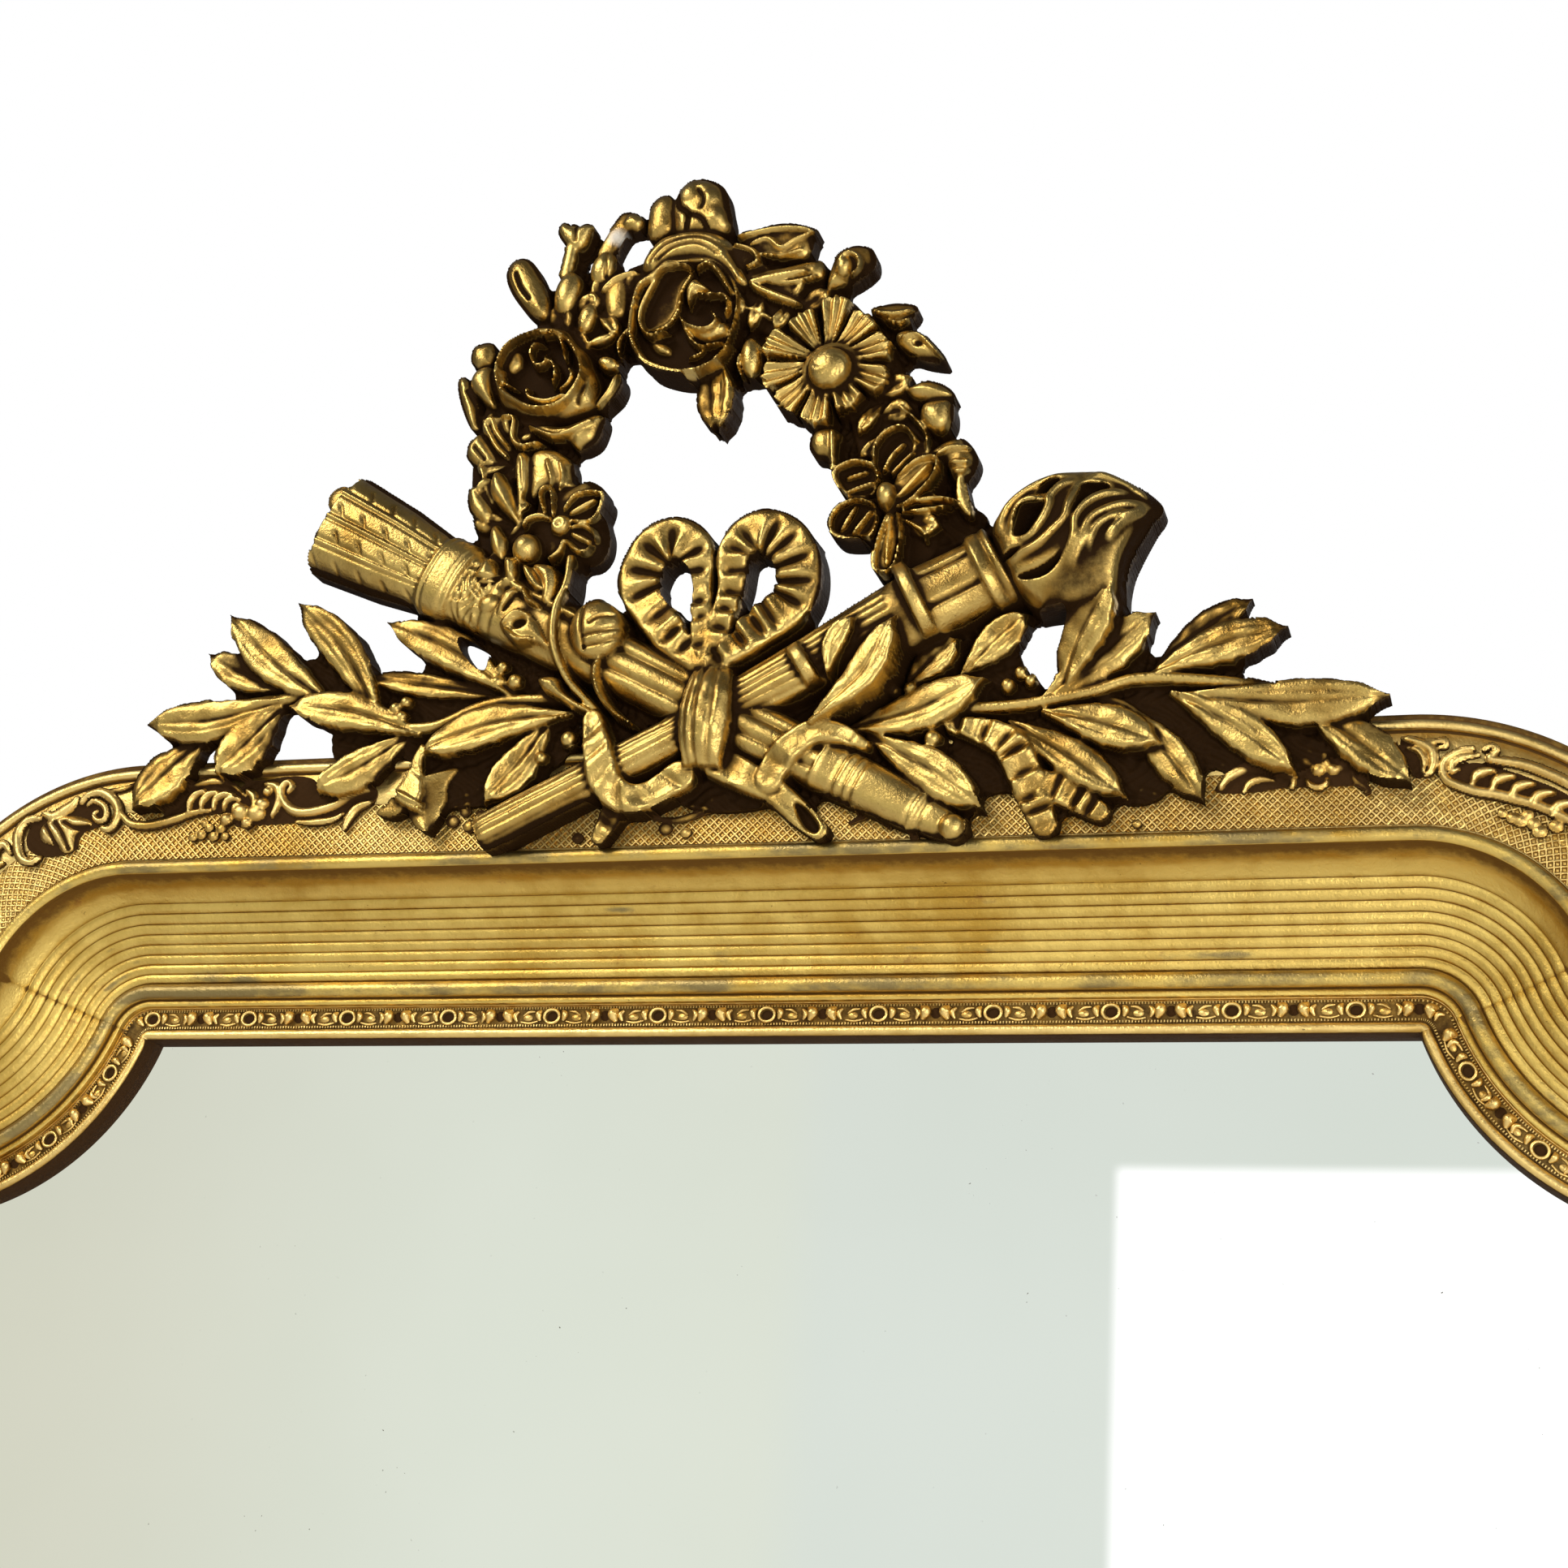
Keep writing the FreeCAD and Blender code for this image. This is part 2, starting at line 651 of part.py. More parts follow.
def behind_crest():
    """Everything behind the crest's flat back."""
    reach = HALF_SIDE + MOULDING_WIDTH
    depth = CREST_DEPTH
    return box(-reach, reach, -depth, depth, -reach, 2 * reach)


def edge_notch():
    """Room for the frieze's edge bead and the bead below it."""
    front = -(FACE_DEPTH + EDGE_BEAD_RISE + CREST_GAP)
    edge = box(-HALF_TOP, HALF_TOP, front, 0, EDGE_IN - CREST_GAP, ROUND_IN + CREST_GAP)
    below = box(-HALF_TOP, HALF_TOP, front - BEAD_RISE, 0, 0, FRIEZE_IN + CREST_GAP)
    return edge.fuse(below)


# Leaves of the laurel branches: base x, base z, tip x, tip z, width, step forward
LAUREL_LEFT_SHARES = (
    (-40.0, 3.6, -52.6, 2.3, 3.1, 1),
    (-46.6, 1.2, -52.6, -5.6, 3.4, 0),
    (-39.6, 3.4, -45.2, -2.8, 3.3, 1),
    (-39.4, 4.8, -47.4, 8.6, 2.6, 0),
    (-34.6, 3.0, -45.9, 12.3, 3.0, 1),
    (-30.2, 1.6, -39.5, 13.0, 2.9, 1),
    (-26.8, 0.4, -39.2, 3.5, 2.7, 1),
    (-27.6, 0.4, -35.6, -4.5, 2.7, 0),
    (-18.2, 3.4, -30.8, 10.6, 2.7, 1),
    (-18.4, 3.2, -32.3, 5.9, 1.8, 0),
    (-13.4, 1.6, -26.6, -1.5, 2.9, 1),
    (-15.4, 1.0, -20.0, -6.0, 2.7, 0),
)
LAUREL_RIGHT_SHARES = (
    (37.4, 0.9, 53.4, 0.2, 3.0, 1),
    (46.4, -0.4, 54.6, -6.9, 2.8, 0),
    (36.6, 1.2, 46.2, -5.7, 2.4, 1),
    (33.0, 0.2, 39.2, -7.8, 2.4, 0),
    (26.6, 0.1, 36.0, -2.9, 2.9, 1),
    (24.0, -0.6, 33.4, -7.2, 2.6, 0),
    (35.2, 3.0, 45.6, 6.2, 2.9, 1),
    (35.4, 3.4, 42.9, 8.7, 2.2, 0),
    (26.6, 1.0, 35.4, 8.0, 3.1, 1),
    (26.2, 1.6, 31.6, 11.0, 3.2, 0),
    (10.8, -0.8, 22.2, 3.4, 3.2, 1),
    (12.6, -1.4, 22.2, -7.8, 2.8, 1),
    (15.4, 2.4, 19.8, 6.8, 2.6, 0),
    (20.0, 3.4, 25.4, 8.6, 2.6, 0),
)
# Stems through three places each
LAUREL_LEFT_STEM_SHARES = (
    ((-12.6, 2.6), (-22.0, 2.0), (-29.5, 1.0)),
    ((-28.5, 0.9), (-36.0, 3.4), (-42.0, 3.4)),
)
LAUREL_RIGHT_STEM_SHARES = (
    ((13.6, 0.6), (22.0, 0.4), (30.0, 1.4)),
    ((29.0, 1.2), (34.0, 2.4), (39.5, 2.0)),
    ((38.0, 1.9), (43.5, 1.2), (48.0, -0.6)),
)
STEM_WIDTH_SHARE = 1.1


def laurel(leaves_shares, stems_shares):
    """One branch: stems and bevelled leaves grown together."""
    pieces = [band(stem, STEM_WIDTH_SHARE, STEM_RISE) for stem in stems_shares]
    for x0, z0, x1, z1, width, step in leaves_shares:
        pieces.append(leaf(x0, z0, x1, z1, width, LEAF_RISE + step * LEAF_STEP_RISE))
    return joined(pieces).cut(edge_notch())


TORCH_ENDS_SHARES = ((-20.4, -7.6), (22.8, 13.4))
TORCH_SHARES = (
    (0.0, 0.7), (0.03, 1.3), (0.25, 1.55), (0.5, 1.9), (0.66, 2.4), (0.83, 3.2), (0.85, 3.3),
    (0.87, 3.0), (0.96, 3.0), (0.97, 3.5), (1.0, 3.5),
)
FLAME_ENDS_SHARES = ((22.8, 13.4), (34.0, 17.2))
FLAME_SHARES = ((0.0, 3.2), (0.3, 5.2), (0.65, 5.3), (0.9, 3.6), (1.0, 1.8))


def torch(grow=0.0):
    """Tapered fluted shaft with a flared cup, and the flame above it."""
    shaft = limb(TORCH_ENDS_SHARES[0], TORCH_ENDS_SHARES[1], TORCH_AXIS_RISE, TORCH_SHARES, grow)
    flame = limb(FLAME_ENDS_SHARES[0], FLAME_ENDS_SHARES[1], TORCH_AXIS_RISE, FLAME_SHARES, grow)
    return joined([shaft, flame]).cut(edge_notch())


QUIVER_ENDS_SHARES = ((-36.4, 20.2), (19.6, -8.6))
QUIVER_SHARES = (
    (0.0, 4.2), (0.17, 3.2), (0.18, 3.5), (0.2, 3.5), (0.21, 3.2), (0.38, 3.1), (0.6, 2.7),
    (0.8, 2.2), (0.93, 1.7), (0.94, 1.3), (0.97, 1.3), (1.0, 0.6),
)


def quiver(grow=0.0):
    """Tapered quiver with its collar, flaring to the arrow feathers."""
    body = limb(QUIVER_ENDS_SHARES[0], QUIVER_ENDS_SHARES[1], QUIVER_AXIS_RISE, QUIVER_SHARES, grow)
    return body.cut(edge_notch())


# Bow loops: three places of the outer bow, width of the ribbon
BOW_LEFT_SHARES = (
    ((-2.4, 5.6), (-7.4, 12.4), (-5.4, 17.0)),
    ((-5.9, 17.0), (-2.6, 13.0), (-1.8, 5.6)),
)
BOW_RIGHT_SHARES = (
    ((-1.0, 5.4), (5.9, 11.4), (2.6, 17.0)),
    ((3.1, 17.0), (-0.4, 13.0), (-0.8, 5.4)),
)
BOW_WIDTH_SHARE = 3.3
KNOT_SHARES = (-1.6, -3.2, -1.6, 5.4, 4.3)


def bow(grow=0.0):
    """Two open loops and the band that ties torch and quiver."""
    loops = [band(places, BOW_WIDTH_SHARE, BOW_RISE, grow) for places in BOW_LEFT_SHARES + BOW_RIGHT_SHARES]
    x0, z0, x1, z1, width = KNOT_SHARES
    knot = leaf(x0, z0, x1, z1, width, KNOT_RISE)
    return joined(loops + [knot]).cut(edge_notch())


# Ribbon tails: three places each
RIBBON_LEFT_SHARES = (
    ((-25.2, 0.0), (-27.0, -3.0), (-26.4, -6.0)),
    ((-26.8, -5.0), (-29.0, -5.8), (-31.6, -7.8)),
)
RIBBON_MIDDLE_SHARES = (
    ((-11.0, 0.4), (-10.4, -3.2), (-8.0, -6.2)),
    ((-7.0, -5.4), (-5.4, -5.2), (-3.4, -3.4)),
    ((0.6, -3.4), (2.8, -5.0), (5.0, -5.4)),
    ((4.6, -5.0), (6.6, -6.4), (8.4, -8.4)),
)
RIBBON_RIGHT_SHARES = (
    ((19.6, -0.8), (23.6, -2.4), (25.4, -5.2)),
    ((25.0, -4.6), (26.6, -6.6), (27.2, -8.6)),
    ((25.8, -5.4), (28.4, -6.4), (30.8, -8.2)),
)
RIBBON_WIDTH_SHARE = 2.4


def ribbon(places_shares, grow=0.0):
    """A run of ribbon laid on the frieze."""
    runs = [band(places, RIBBON_WIDTH_SHARE, RIBBON_RISE, grow) for places in places_shares]
    return joined(runs).cut(edge_notch())


# Wreath: ring, flowers as (x, z, radius, petals, step forward), leaves and buds
WREATH_WIDTH_SHARE = 6.6
WREATH_SPAN_SHARES = ((-15.5, 12.0), (-4.0, 41.2), (13.2, 20.0))
FLOWER_SHARES = (
    (-19.4, 34.4, 5.0, 6, 1),
    (-5.6, 39.0, 6.0, 6, 1),
    (7.4, 31.9, 6.0, 9, 1),
    (12.8, 19.9, 4.8, 6, 0),
    (-16.0, 19.2, 3.6, 5, 0),
)
WREATH_LEAF_SHARES = (
    (-19.8, 35.4, -22.4, 44.8, 3.4),
    (-2.2, 43.2, 5.2, 45.2, 2.8),
    (0.0, 39.4, 6.2, 42.0, 2.6),
    (5.6, 39.4, 10.6, 43.0, 3.0),
    (10.0, 36.0, 14.6, 36.6, 2.4),
    (12.4, 34.0, 17.4, 31.6, 2.2),
    (-2.8, 33.0, -2.0, 26.2, 3.2),
    (9.2, 23.0, 7.4, 26.6, 2.6),
    (-22.6, 30.4, -26.6, 33.6, 2.8),
    (-21.6, 27.6, -25.0, 25.4, 3.4),
    (-21.4, 24.4, -24.6, 21.8, 2.6),
    (-18.6, 29.4, -12.8, 26.6, 4.2),
    (-16.0, 17.4, -22.6, 14.4, 2.6),
    (-17.0, 36.0, -17.2, 47.6, 3.0),
    (-14.4, 38.6, -12.2, 47.6, 2.8),
    (-7.0, 41.0, -8.4, 50.0, 3.0),
    (-6.4, 41.0, -4.6, 51.2, 5.6),
    (-6.0, 3.0, -12.6, 11.8, 4.2),
    (-14.6, 15.8, -14.6, 4.6, 2.2),
)
WREATH_BUD_SHARES = (
    (16.4, 28.0, 2.0),
    (18.2, 22.6, 2.1),
    (-18.6, 16.9, 2.0),
    (-10.8, 17.6, 2.0),
)


def flower(x_share, z_share, radius_share, petals, step):
    """Petals round a raised heart."""
    rise = FLOWER_RISE + (step - 1) * LEAF_STEP_RISE
    heart = crest_place(x_share, z_share, rise)
    radius = radius_share * CREST_MODULE
    width = 2 * radius * math.sin(math.pi / petals) * (1 + CROWN_SHARE / 2)
    pieces = [dome(x_share, z_share, radius_share * CROWN_SHARE, FLOWER_CORE_RISE)]
    for number in range(petals):
        angle = 2 * math.pi * number / petals + math.pi / 2
        way = V(math.cos(angle), 0, math.sin(angle))
        pieces.append(leaf_solid(heart, heart + way * radius, width, rise))
    return pieces


def wreath_ring():
    """Rounded garland that carries the flowers."""
    places = [flat(crest_place(x, z, WREATH_RISE), 0) for x, z in WREATH_SPAN_SHARES]
    return arc_band(places[0], places[1], places[2], WREATH_WIDTH_SHARE * CREST_MODULE, WREATH_RISE)


def wreath():
    """Garland with roses, daisy, small flowers, leaves and buds."""
    pieces = [wreath_ring()]
    for x, z, radius, petals, step in FLOWER_SHARES:
        pieces += flower(x, z, radius, petals, step)
    for x0, z0, x1, z1, width in WREATH_LEAF_SHARES:
        pieces.append(leaf(x0, z0, x1, z1, width, WREATH_RISE + LEAF_STEP_RISE))
    for x, z, radius in WREATH_BUD_SHARES:
        pieces.append(dome(x, z, radius, WREATH_RISE + 2 * LEAF_STEP_RISE))
    return joined(pieces)


# Frieze scrolls: x, z, radius, width in modules, then the angles of their ends.
# Shoulder scrolls count x outward from the corner of the opening, the others from the middle
SHOULDER_SCROLL_LEFT_SHARES = (
    (6.33, -6.4, 2.5, 1.1, 30, 250),
    (3.43, -3.6, 1.3, 0.9, -60, 200),
)
SHOULDER_SCROLL_RIGHT_SHARES = (
    (7.23, -5.8, 2.3, 1.1, -70, 150),
    (2.83, -3.8, 1.3, 0.9, -30, 210),
)
SCROLL_LEFT_SHARES = (
    (-46.5, -5.9, 2.4, 1.0, 15, 165),
    (-40.4, -4.0, 1.2, 0.8, -40, 220),
    (-36.5, -0.2, 5.4, 0.9, 235, 285),
)
SCROLL_RIGHT_SHARES = (
    (42.4, -7.0, 1.6, 0.9, 20, 170),
    (48.2, -6.0, 0.9, 0.7, -200, 60),
)


def scroll(x, z_share, radius_share, width_share, first, last):
    """A half-round scroll laid on the frieze."""
    centre = V(x, -CREST_DEPTH, z_share * CREST_MODULE + MOULDING_WIDTH)
    near = centre + ACROSS * ((radius_share - width_share / 2) * CREST_MODULE)
    top = centre + ACROSS * (radius_share * CREST_MODULE) + FORWARD * SCROLL_RISE
    far = centre + ACROSS * ((radius_share + width_share / 2) * CREST_MODULE)
    face = Part.Face(Part.Wire([Part.Arc(near, top, far).toShape(), Part.makeLine(far, near)]))
    face.rotate(centre, FORWARD, first)
    return face.revolve(centre, FORWARD, last - first)


def rocaille(hand, corner_shares, middle_shares):
    """Applied scrolls of one side, hand -1 for the left and 1 for the right."""
    corner = [scroll(hand * (HALF_TOP + place[0] * CREST_MODULE), *place[1:]) for place in corner_shares]
    middle = [scroll(place[0] * CREST_MODULE, *place[1:]) for place in middle_shares]
    return joined(corner + middle)


def export_rocaille():
    """Applied scrolls at both shoulders, cut away where the laurel lies on them."""
    left = rocaille(-1, SHOULDER_SCROLL_LEFT_SHARES, SCROLL_LEFT_SHARES)
    right = rocaille(1, SHOULDER_SCROLL_RIGHT_SHARES, SCROLL_RIGHT_SHARES)
    export(left.cut(laurel(LAUREL_LEFT_SHARES, LAUREL_LEFT_STEM_SHARES)), "rocaille_left")
    export(right.cut(laurel(LAUREL_RIGHT_SHARES, LAUREL_RIGHT_STEM_SHARES)), "rocaille_right")


def bracket():
    """Bent flat iron from the carcass back, over the frame and up behind the crest."""
    top = MOULDING_WIDTH
    low = top - BRACKET_DROP
    high = top + BRACKET_HEIGHT
    leg_y = -(CREST_DEPTH - BRACKET_THICK)
    corners = [
        (-BOARD_THICK, low), (-BOARD_THICK, top), (-CREST_DEPTH, top), (-CREST_DEPTH, high),
        (leg_y, high), (leg_y, top + BRACKET_THICK), (BRACKET_BACK_Y, top + BRACKET_THICK),
        (BRACKET_BACK_Y, low),
    ]
    left = (BRACKET_SPACING - BRACKET_WIDTH) / 2
    places = [V(left, y, z) for y, z in corners]
    iron = Part.Face(Part.makePolygon(places + places[:1])).extrude(ACROSS * BRACKET_WIDTH)
    holes = screws(bracket_screw_places(), BRACKET_BACK_Y, BRACKET_SCREW_LENGTH, SCREW_CLEARANCE)
    holes += screws(crest_screw_places(), CREST_SCREW_Y, CREST_SCREW_LENGTH, SCREW_CLEARANCE)
    return iron.cut(Part.makeCompound(holes))


def export_crest():
    """Crest pieces, each let into the ones in front of it."""
    gap = CREST_GAP
    tie = bow(gap)
    ribbon_front = ribbon(RIBBON_MIDDLE_SHARES, gap)
    shaft = torch(gap)
    body = quiver(gap)
    holes = screws(both_sides(crest_screw_places()), CREST_SCREW_Y, CREST_SCREW_LENGTH, SCREW_CLEARANCE)
    drilled = Part.makeCompound(holes)
    export(bow().cut(drilled), "crest_bow")
    export(ribbon(RIBBON_MIDDLE_SHARES).cut(tie), "crest_ribbon_middle")
    export(torch().cut(tie).cut(ribbon_front).cut(drilled), "crest_torch")
    export(quiver().cut(tie).cut(ribbon_front).cut(shaft).cut(drilled), "crest_quiver")
    around = [tie, ribbon_front, shaft, body]
    laurels = (
        ("left", LAUREL_LEFT_SHARES, LAUREL_LEFT_STEM_SHARES, RIBBON_LEFT_SHARES),
        ("right", LAUREL_RIGHT_SHARES, LAUREL_RIGHT_STEM_SHARES, RIBBON_RIGHT_SHARES),
    )
    for side, leaves, stems, tails in laurels:
        branch = laurel(leaves, stems)
        for cutter in around + [ribbon(tails, gap)]:
            branch = branch.cut(cutter)
        export(branch, "crest_laurel_" + side)
        tail = ribbon(tails)
        for cutter in around:
            tail = tail.cut(cutter)
        export(tail, "crest_ribbon_" + side)
    garland = wreath().cut(edge_notch())
    for cutter in (tie, shaft, body):
        garland = garland.cut(cutter)
    export(garland, "crest_wreath")
    iron = bracket()
    export(iron, "crest_bracket_right")
    export(mirrored(iron), "crest_bracket_left")


export_mouldings()
export_carcass()
export_glass()
export_glazing_blocks()
export_backboards()
export_screws()
export_hangers()
export_rocaille()
export_crest()
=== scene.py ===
import math
import bpy
import numpy as np
from mathutils import Matrix, Vector


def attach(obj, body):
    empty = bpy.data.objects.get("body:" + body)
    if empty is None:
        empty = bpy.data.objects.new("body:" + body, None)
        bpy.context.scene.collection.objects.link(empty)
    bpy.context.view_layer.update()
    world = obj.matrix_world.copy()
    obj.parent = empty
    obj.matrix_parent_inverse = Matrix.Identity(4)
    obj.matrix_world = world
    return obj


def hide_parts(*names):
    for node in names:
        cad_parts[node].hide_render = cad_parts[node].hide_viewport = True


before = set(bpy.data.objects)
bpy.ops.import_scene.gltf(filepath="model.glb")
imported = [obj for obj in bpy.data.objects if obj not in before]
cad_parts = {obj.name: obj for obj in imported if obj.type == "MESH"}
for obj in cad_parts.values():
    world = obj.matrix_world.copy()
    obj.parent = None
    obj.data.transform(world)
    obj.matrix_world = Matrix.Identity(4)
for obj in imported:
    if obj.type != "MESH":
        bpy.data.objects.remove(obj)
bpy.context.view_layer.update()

# Sizes in millimetres, with z counted from the top of the sight opening
PI = math.pi
MODULE = 6.0  # unit in which the carving is drawn
FRAME_TOP = 140.0  # outer edge of the frame
LIFT = 585.0  # height of the sight opening's top in the shared frame
FACE = 24.0  # where the rises of the mouldings start
BACK = 73.0  # face of the frieze, where the rises of the carving start
EYE_X, EYE_LOW, EYE_FAR = 394.7, 280.3, 1120.0  # the photographer's eye: across, down and in front
READ_RISE = 19.0  # rise of the plane on which the carving is drawn
HALF_TOP, LOBE, FOOT = 325.0, 142.0, -1170.0  # half the straight top, a shoulder's radius, the sight's foot
START_DEG, END_DEG = 70, 15  # where a shoulder's curve starts and ends
START, END = math.radians(START_DEG), math.radians(END_DEG)
LOBE_X, LOBE_Z = HALF_TOP + LOBE * math.sin(START), LOBE * math.cos(START)
HALF_SIDE, SIDE_TOP = LOBE_X - LOBE * math.sin(END), LOBE_Z - LOBE * math.cos(END)

# Camera at the photograph's place, in metres, as the frame's outline gives it
CAMERA_AT = (0.3947, -1.2125, 0.3047)
YAW, PITCH, ROLL = (math.radians(a) for a in (-17.801, 18.313, 3.753))
SENSOR, FOCAL_PIXELS, PHOTO_PIXELS = 36.0, 3200, 1932


def add_camera():
    fwd = Vector((math.sin(YAW) * math.cos(PITCH), math.cos(YAW) * math.cos(PITCH), math.sin(PITCH)))
    right = Vector((math.cos(YAW), -math.sin(YAW), 0))
    up = right.cross(fwd)
    across = right * math.cos(ROLL) + up * math.sin(ROLL)
    upward = up * math.cos(ROLL) - right * math.sin(ROLL)
    data = bpy.data.cameras.new("camera")
    data.sensor_width = SENSOR
    data.lens = SENSOR * FOCAL_PIXELS / PHOTO_PIXELS
    data.clip_start, data.clip_end = 0.01, 100
    cam = bpy.data.objects.new("camera", data)
    turn = Matrix((across, upward, -fwd)).transposed().to_4x4()
    cam.matrix_world = Matrix.Translation(CAMERA_AT) @ turn
    bpy.context.collection.objects.link(cam)
    bpy.context.scene.camera = cam


# Node helpers for materials
class Nodes:
    def __init__(self, name):
        self.mat = bpy.data.materials.new(name)
        self.mat.use_nodes = True
        self.tree = self.mat.node_tree
        self.bsdf = self.tree.nodes["Principled BSDF"]
        self.coord = self.tree.nodes.new("ShaderNodeTexCoord").outputs["Object"]

    def link(self, a, b):
        self.tree.links.new(a, b)

    def feed(self, socket, value):
        if isinstance(value, bpy.types.NodeSocket):
            self.link(value, socket)
        else:
            socket.default_value = value

    def noise(self, scale, detail=4.0, rough=0.55, stretch=None, distort=0.0):
        node = self.tree.nodes.new("ShaderNodeTexNoise")
        node.inputs["Scale"].default_value = scale
        node.inputs["Detail"].default_value = detail
        node.inputs["Roughness"].default_value = rough
        node.inputs["Distortion"].default_value = distort
        where = self.coord
        if stretch:
            shape = self.tree.nodes.new("ShaderNodeMapping")
            shape.inputs["Scale"].default_value = stretch
            self.link(where, shape.inputs["Vector"])
            where = shape.outputs["Vector"]
        self.link(where, node.inputs["Vector"])
        return node.outputs["Fac"]

    def math(self, kind, a, b=0.0, c=0.0):
        node = self.tree.nodes.new("ShaderNodeMath")
        node.operation = kind
        for socket, value in zip(node.inputs, (a, b, c)):
            self.feed(socket, value)
        return node.outputs[0]

    def scaled(self, value, share, base):
        return self.math("MULTIPLY_ADD", value, share, base)

    def swung(self, noise, share, base):
        """A base with a noise added that swings to both sides of it."""
        return self.scaled(self.math("SUBTRACT", noise, 0.5), share, base)

    def ranged(self, value, low, high, to_low=0.0, to_high=1.0):
        node = self.tree.nodes.new("ShaderNodeMapRange")
        node.interpolation_type = "SMOOTHSTEP"
        for socket, v in zip(node.inputs, (value, low, high, to_low, to_high)):
            self.feed(socket, v)
        return node.outputs[0]

    def mix(self, fac, a, b):
        node = self.tree.nodes.new("ShaderNodeMix")
        node.data_type = "RGBA"
        self.feed(node.inputs[0], fac)
        self.feed(node.inputs[6], a)
        self.feed(node.inputs[7], b)
        return node.outputs[2]

    def attribute(self, name):
        node = self.tree.nodes.new("ShaderNodeAttribute")
        node.attribute_name = name
        return node.outputs["Fac"]

    def bump(self, height, strength, distance):
        node = self.tree.nodes.new("ShaderNodeBump")
        node.inputs["Strength"].default_value = strength
        node.inputs["Distance"].default_value = distance
        self.link(height, node.inputs["Height"])
        self.link(node.outputs["Normal"], self.bsdf.inputs["Normal"])


def rgb(r, g, b):
    return (r, g, b, 1.0)


BOLE, TIRED_GOLD, CHALK = rgb(0.26, 0.085, 0.03), rgb(0.29, 0.215, 0.085), rgb(0.72, 0.68, 0.6)
STAIN, RUST, LOST_SILVER = rgb(0.09, 0.06, 0.035), rgb(0.13, 0.05, 0.02), rgb(0.16, 0.15, 0.13)
BLACK, WHITE = rgb(0, 0, 0), rgb(1, 1, 1)


def gilt(name, deep, pale, patina_and_shade, hold, rough, grime_and_shade=1.0, rub=0.5, spread=0.55):
    """Aged water gilding: gold leaf over red bole, brown patina and painted shade in the hollows, lighter
    gold as painted highlight on the crowns.
    """
    n = Nodes(name)
    dirt_and_shade, chalk, worn = n.attribute("dirt_and_shade"), n.attribute("chalk"), n.attribute("worn")
    cloud, patch = n.noise(11, 4), n.noise(70, 5, 0.6)
    speck, grain = n.noise(240, 3, 0.7), n.noise(760, 4, 0.6)
    scuff = n.noise(34, 6, 0.65, (1.0, 1.0, 3.0))
    tone = n.swung(cloud, 1.6, n.scaled(patch, 0.9, 0.05))
    # Darker gold where the mark is high (patina and painted shade), lighter where it is below zero (painted
    # highlight)
    tone = n.math("SUBTRACT", tone, n.math("MULTIPLY", dirt_and_shade, 0.45))
    gold = n.mix(n.ranged(tone, 0.1, 0.95), deep, pale)
    bole = n.math("MULTIPLY", n.ranged(scuff, 0.60, 0.72), n.ranged(speck, 0.42, 0.62))
    gold = n.mix(n.math("MULTIPLY", bole, rub), gold, BOLE)
    tired = n.swung(patch, 0.7, n.swung(scuff, 1.5, worn))
    gold = n.mix(n.ranged(tired, 0.35, 0.9), gold, TIRED_GOLD)
    # Brown where the mark is high: patina and painted shade
    load = n.swung(speck, 0.5, n.swung(patch, 0.7, n.math("MULTIPLY", dirt_and_shade, grime_and_shade)))
    fly_specks = n.math("MULTIPLY", n.ranged(speck, 0.70, 0.76), 0.7)
    brown = n.math("MAXIMUM", n.ranged(load, hold, hold + spread), fly_specks)
    dull = n.math("MAXIMUM", brown, chalk)
    colour = n.mix(chalk, n.mix(brown, gold, patina_and_shade), CHALK)
    n.link(colour, n.bsdf.inputs["Base Color"])
    n.link(n.scaled(dull, -0.96, 1.0), n.bsdf.inputs["Metallic"])
    n.link(n.scaled(dull, 0.3, n.scaled(patch, 0.24, rough - 0.1)), n.bsdf.inputs["Roughness"])
    n.bsdf.inputs["Specular IOR Level"].default_value = 0.02
    n.bump(n.scaled(grain, 0.45, n.scaled(speck, 0.5, patch)), 0.42, 0.0013)
    return n.mat


def wood(name, dark, light, rough):
    n = Nodes(name)
    grain = n.noise(9, 6, 0.6, (9.0, 9.0, 0.5), 1.2)
    pore = n.noise(260, 3, 0.6, (4.0, 4.0, 0.25))
    stain = n.noise(5, 5)
    colour = n.mix(n.ranged(grain, 0.3, 0.7), dark, light)
    colour = n.mix(n.ranged(pore, 0.55, 0.75, 0.0, 0.6), colour, dark)
    colour = n.mix(n.ranged(stain, 0.5, 0.75, 0.0, 0.55), colour, STAIN)
    n.link(colour, n.bsdf.inputs["Base Color"])
    n.link(n.scaled(pore, 0.25, rough - 0.1), n.bsdf.inputs["Roughness"])
    n.bump(n.scaled(pore, 0.6, grain), 0.3, 0.0008)
    return n.mat


def metal(name, base, worn, rough):
    n = Nodes(name)
    blotch = n.noise(60, 6, 0.65)
    rust = n.ranged(n.noise(150, 5), 0.55, 0.7)
    colour = n.mix(n.ranged(blotch, 0.35, 0.7), base, worn)
    colour = n.mix(n.math("MULTIPLY", rust, 0.6), colour, RUST)
    n.link(colour, n.bsdf.inputs["Base Color"])
    n.link(n.scaled(rust, -0.6, 0.95), n.bsdf.inputs["Metallic"])
    n.link(n.scaled(blotch, 0.3, rough), n.bsdf.inputs["Roughness"])
    n.bump(n.noise(700, 4), 0.3, 0.0004)
    return n.mat


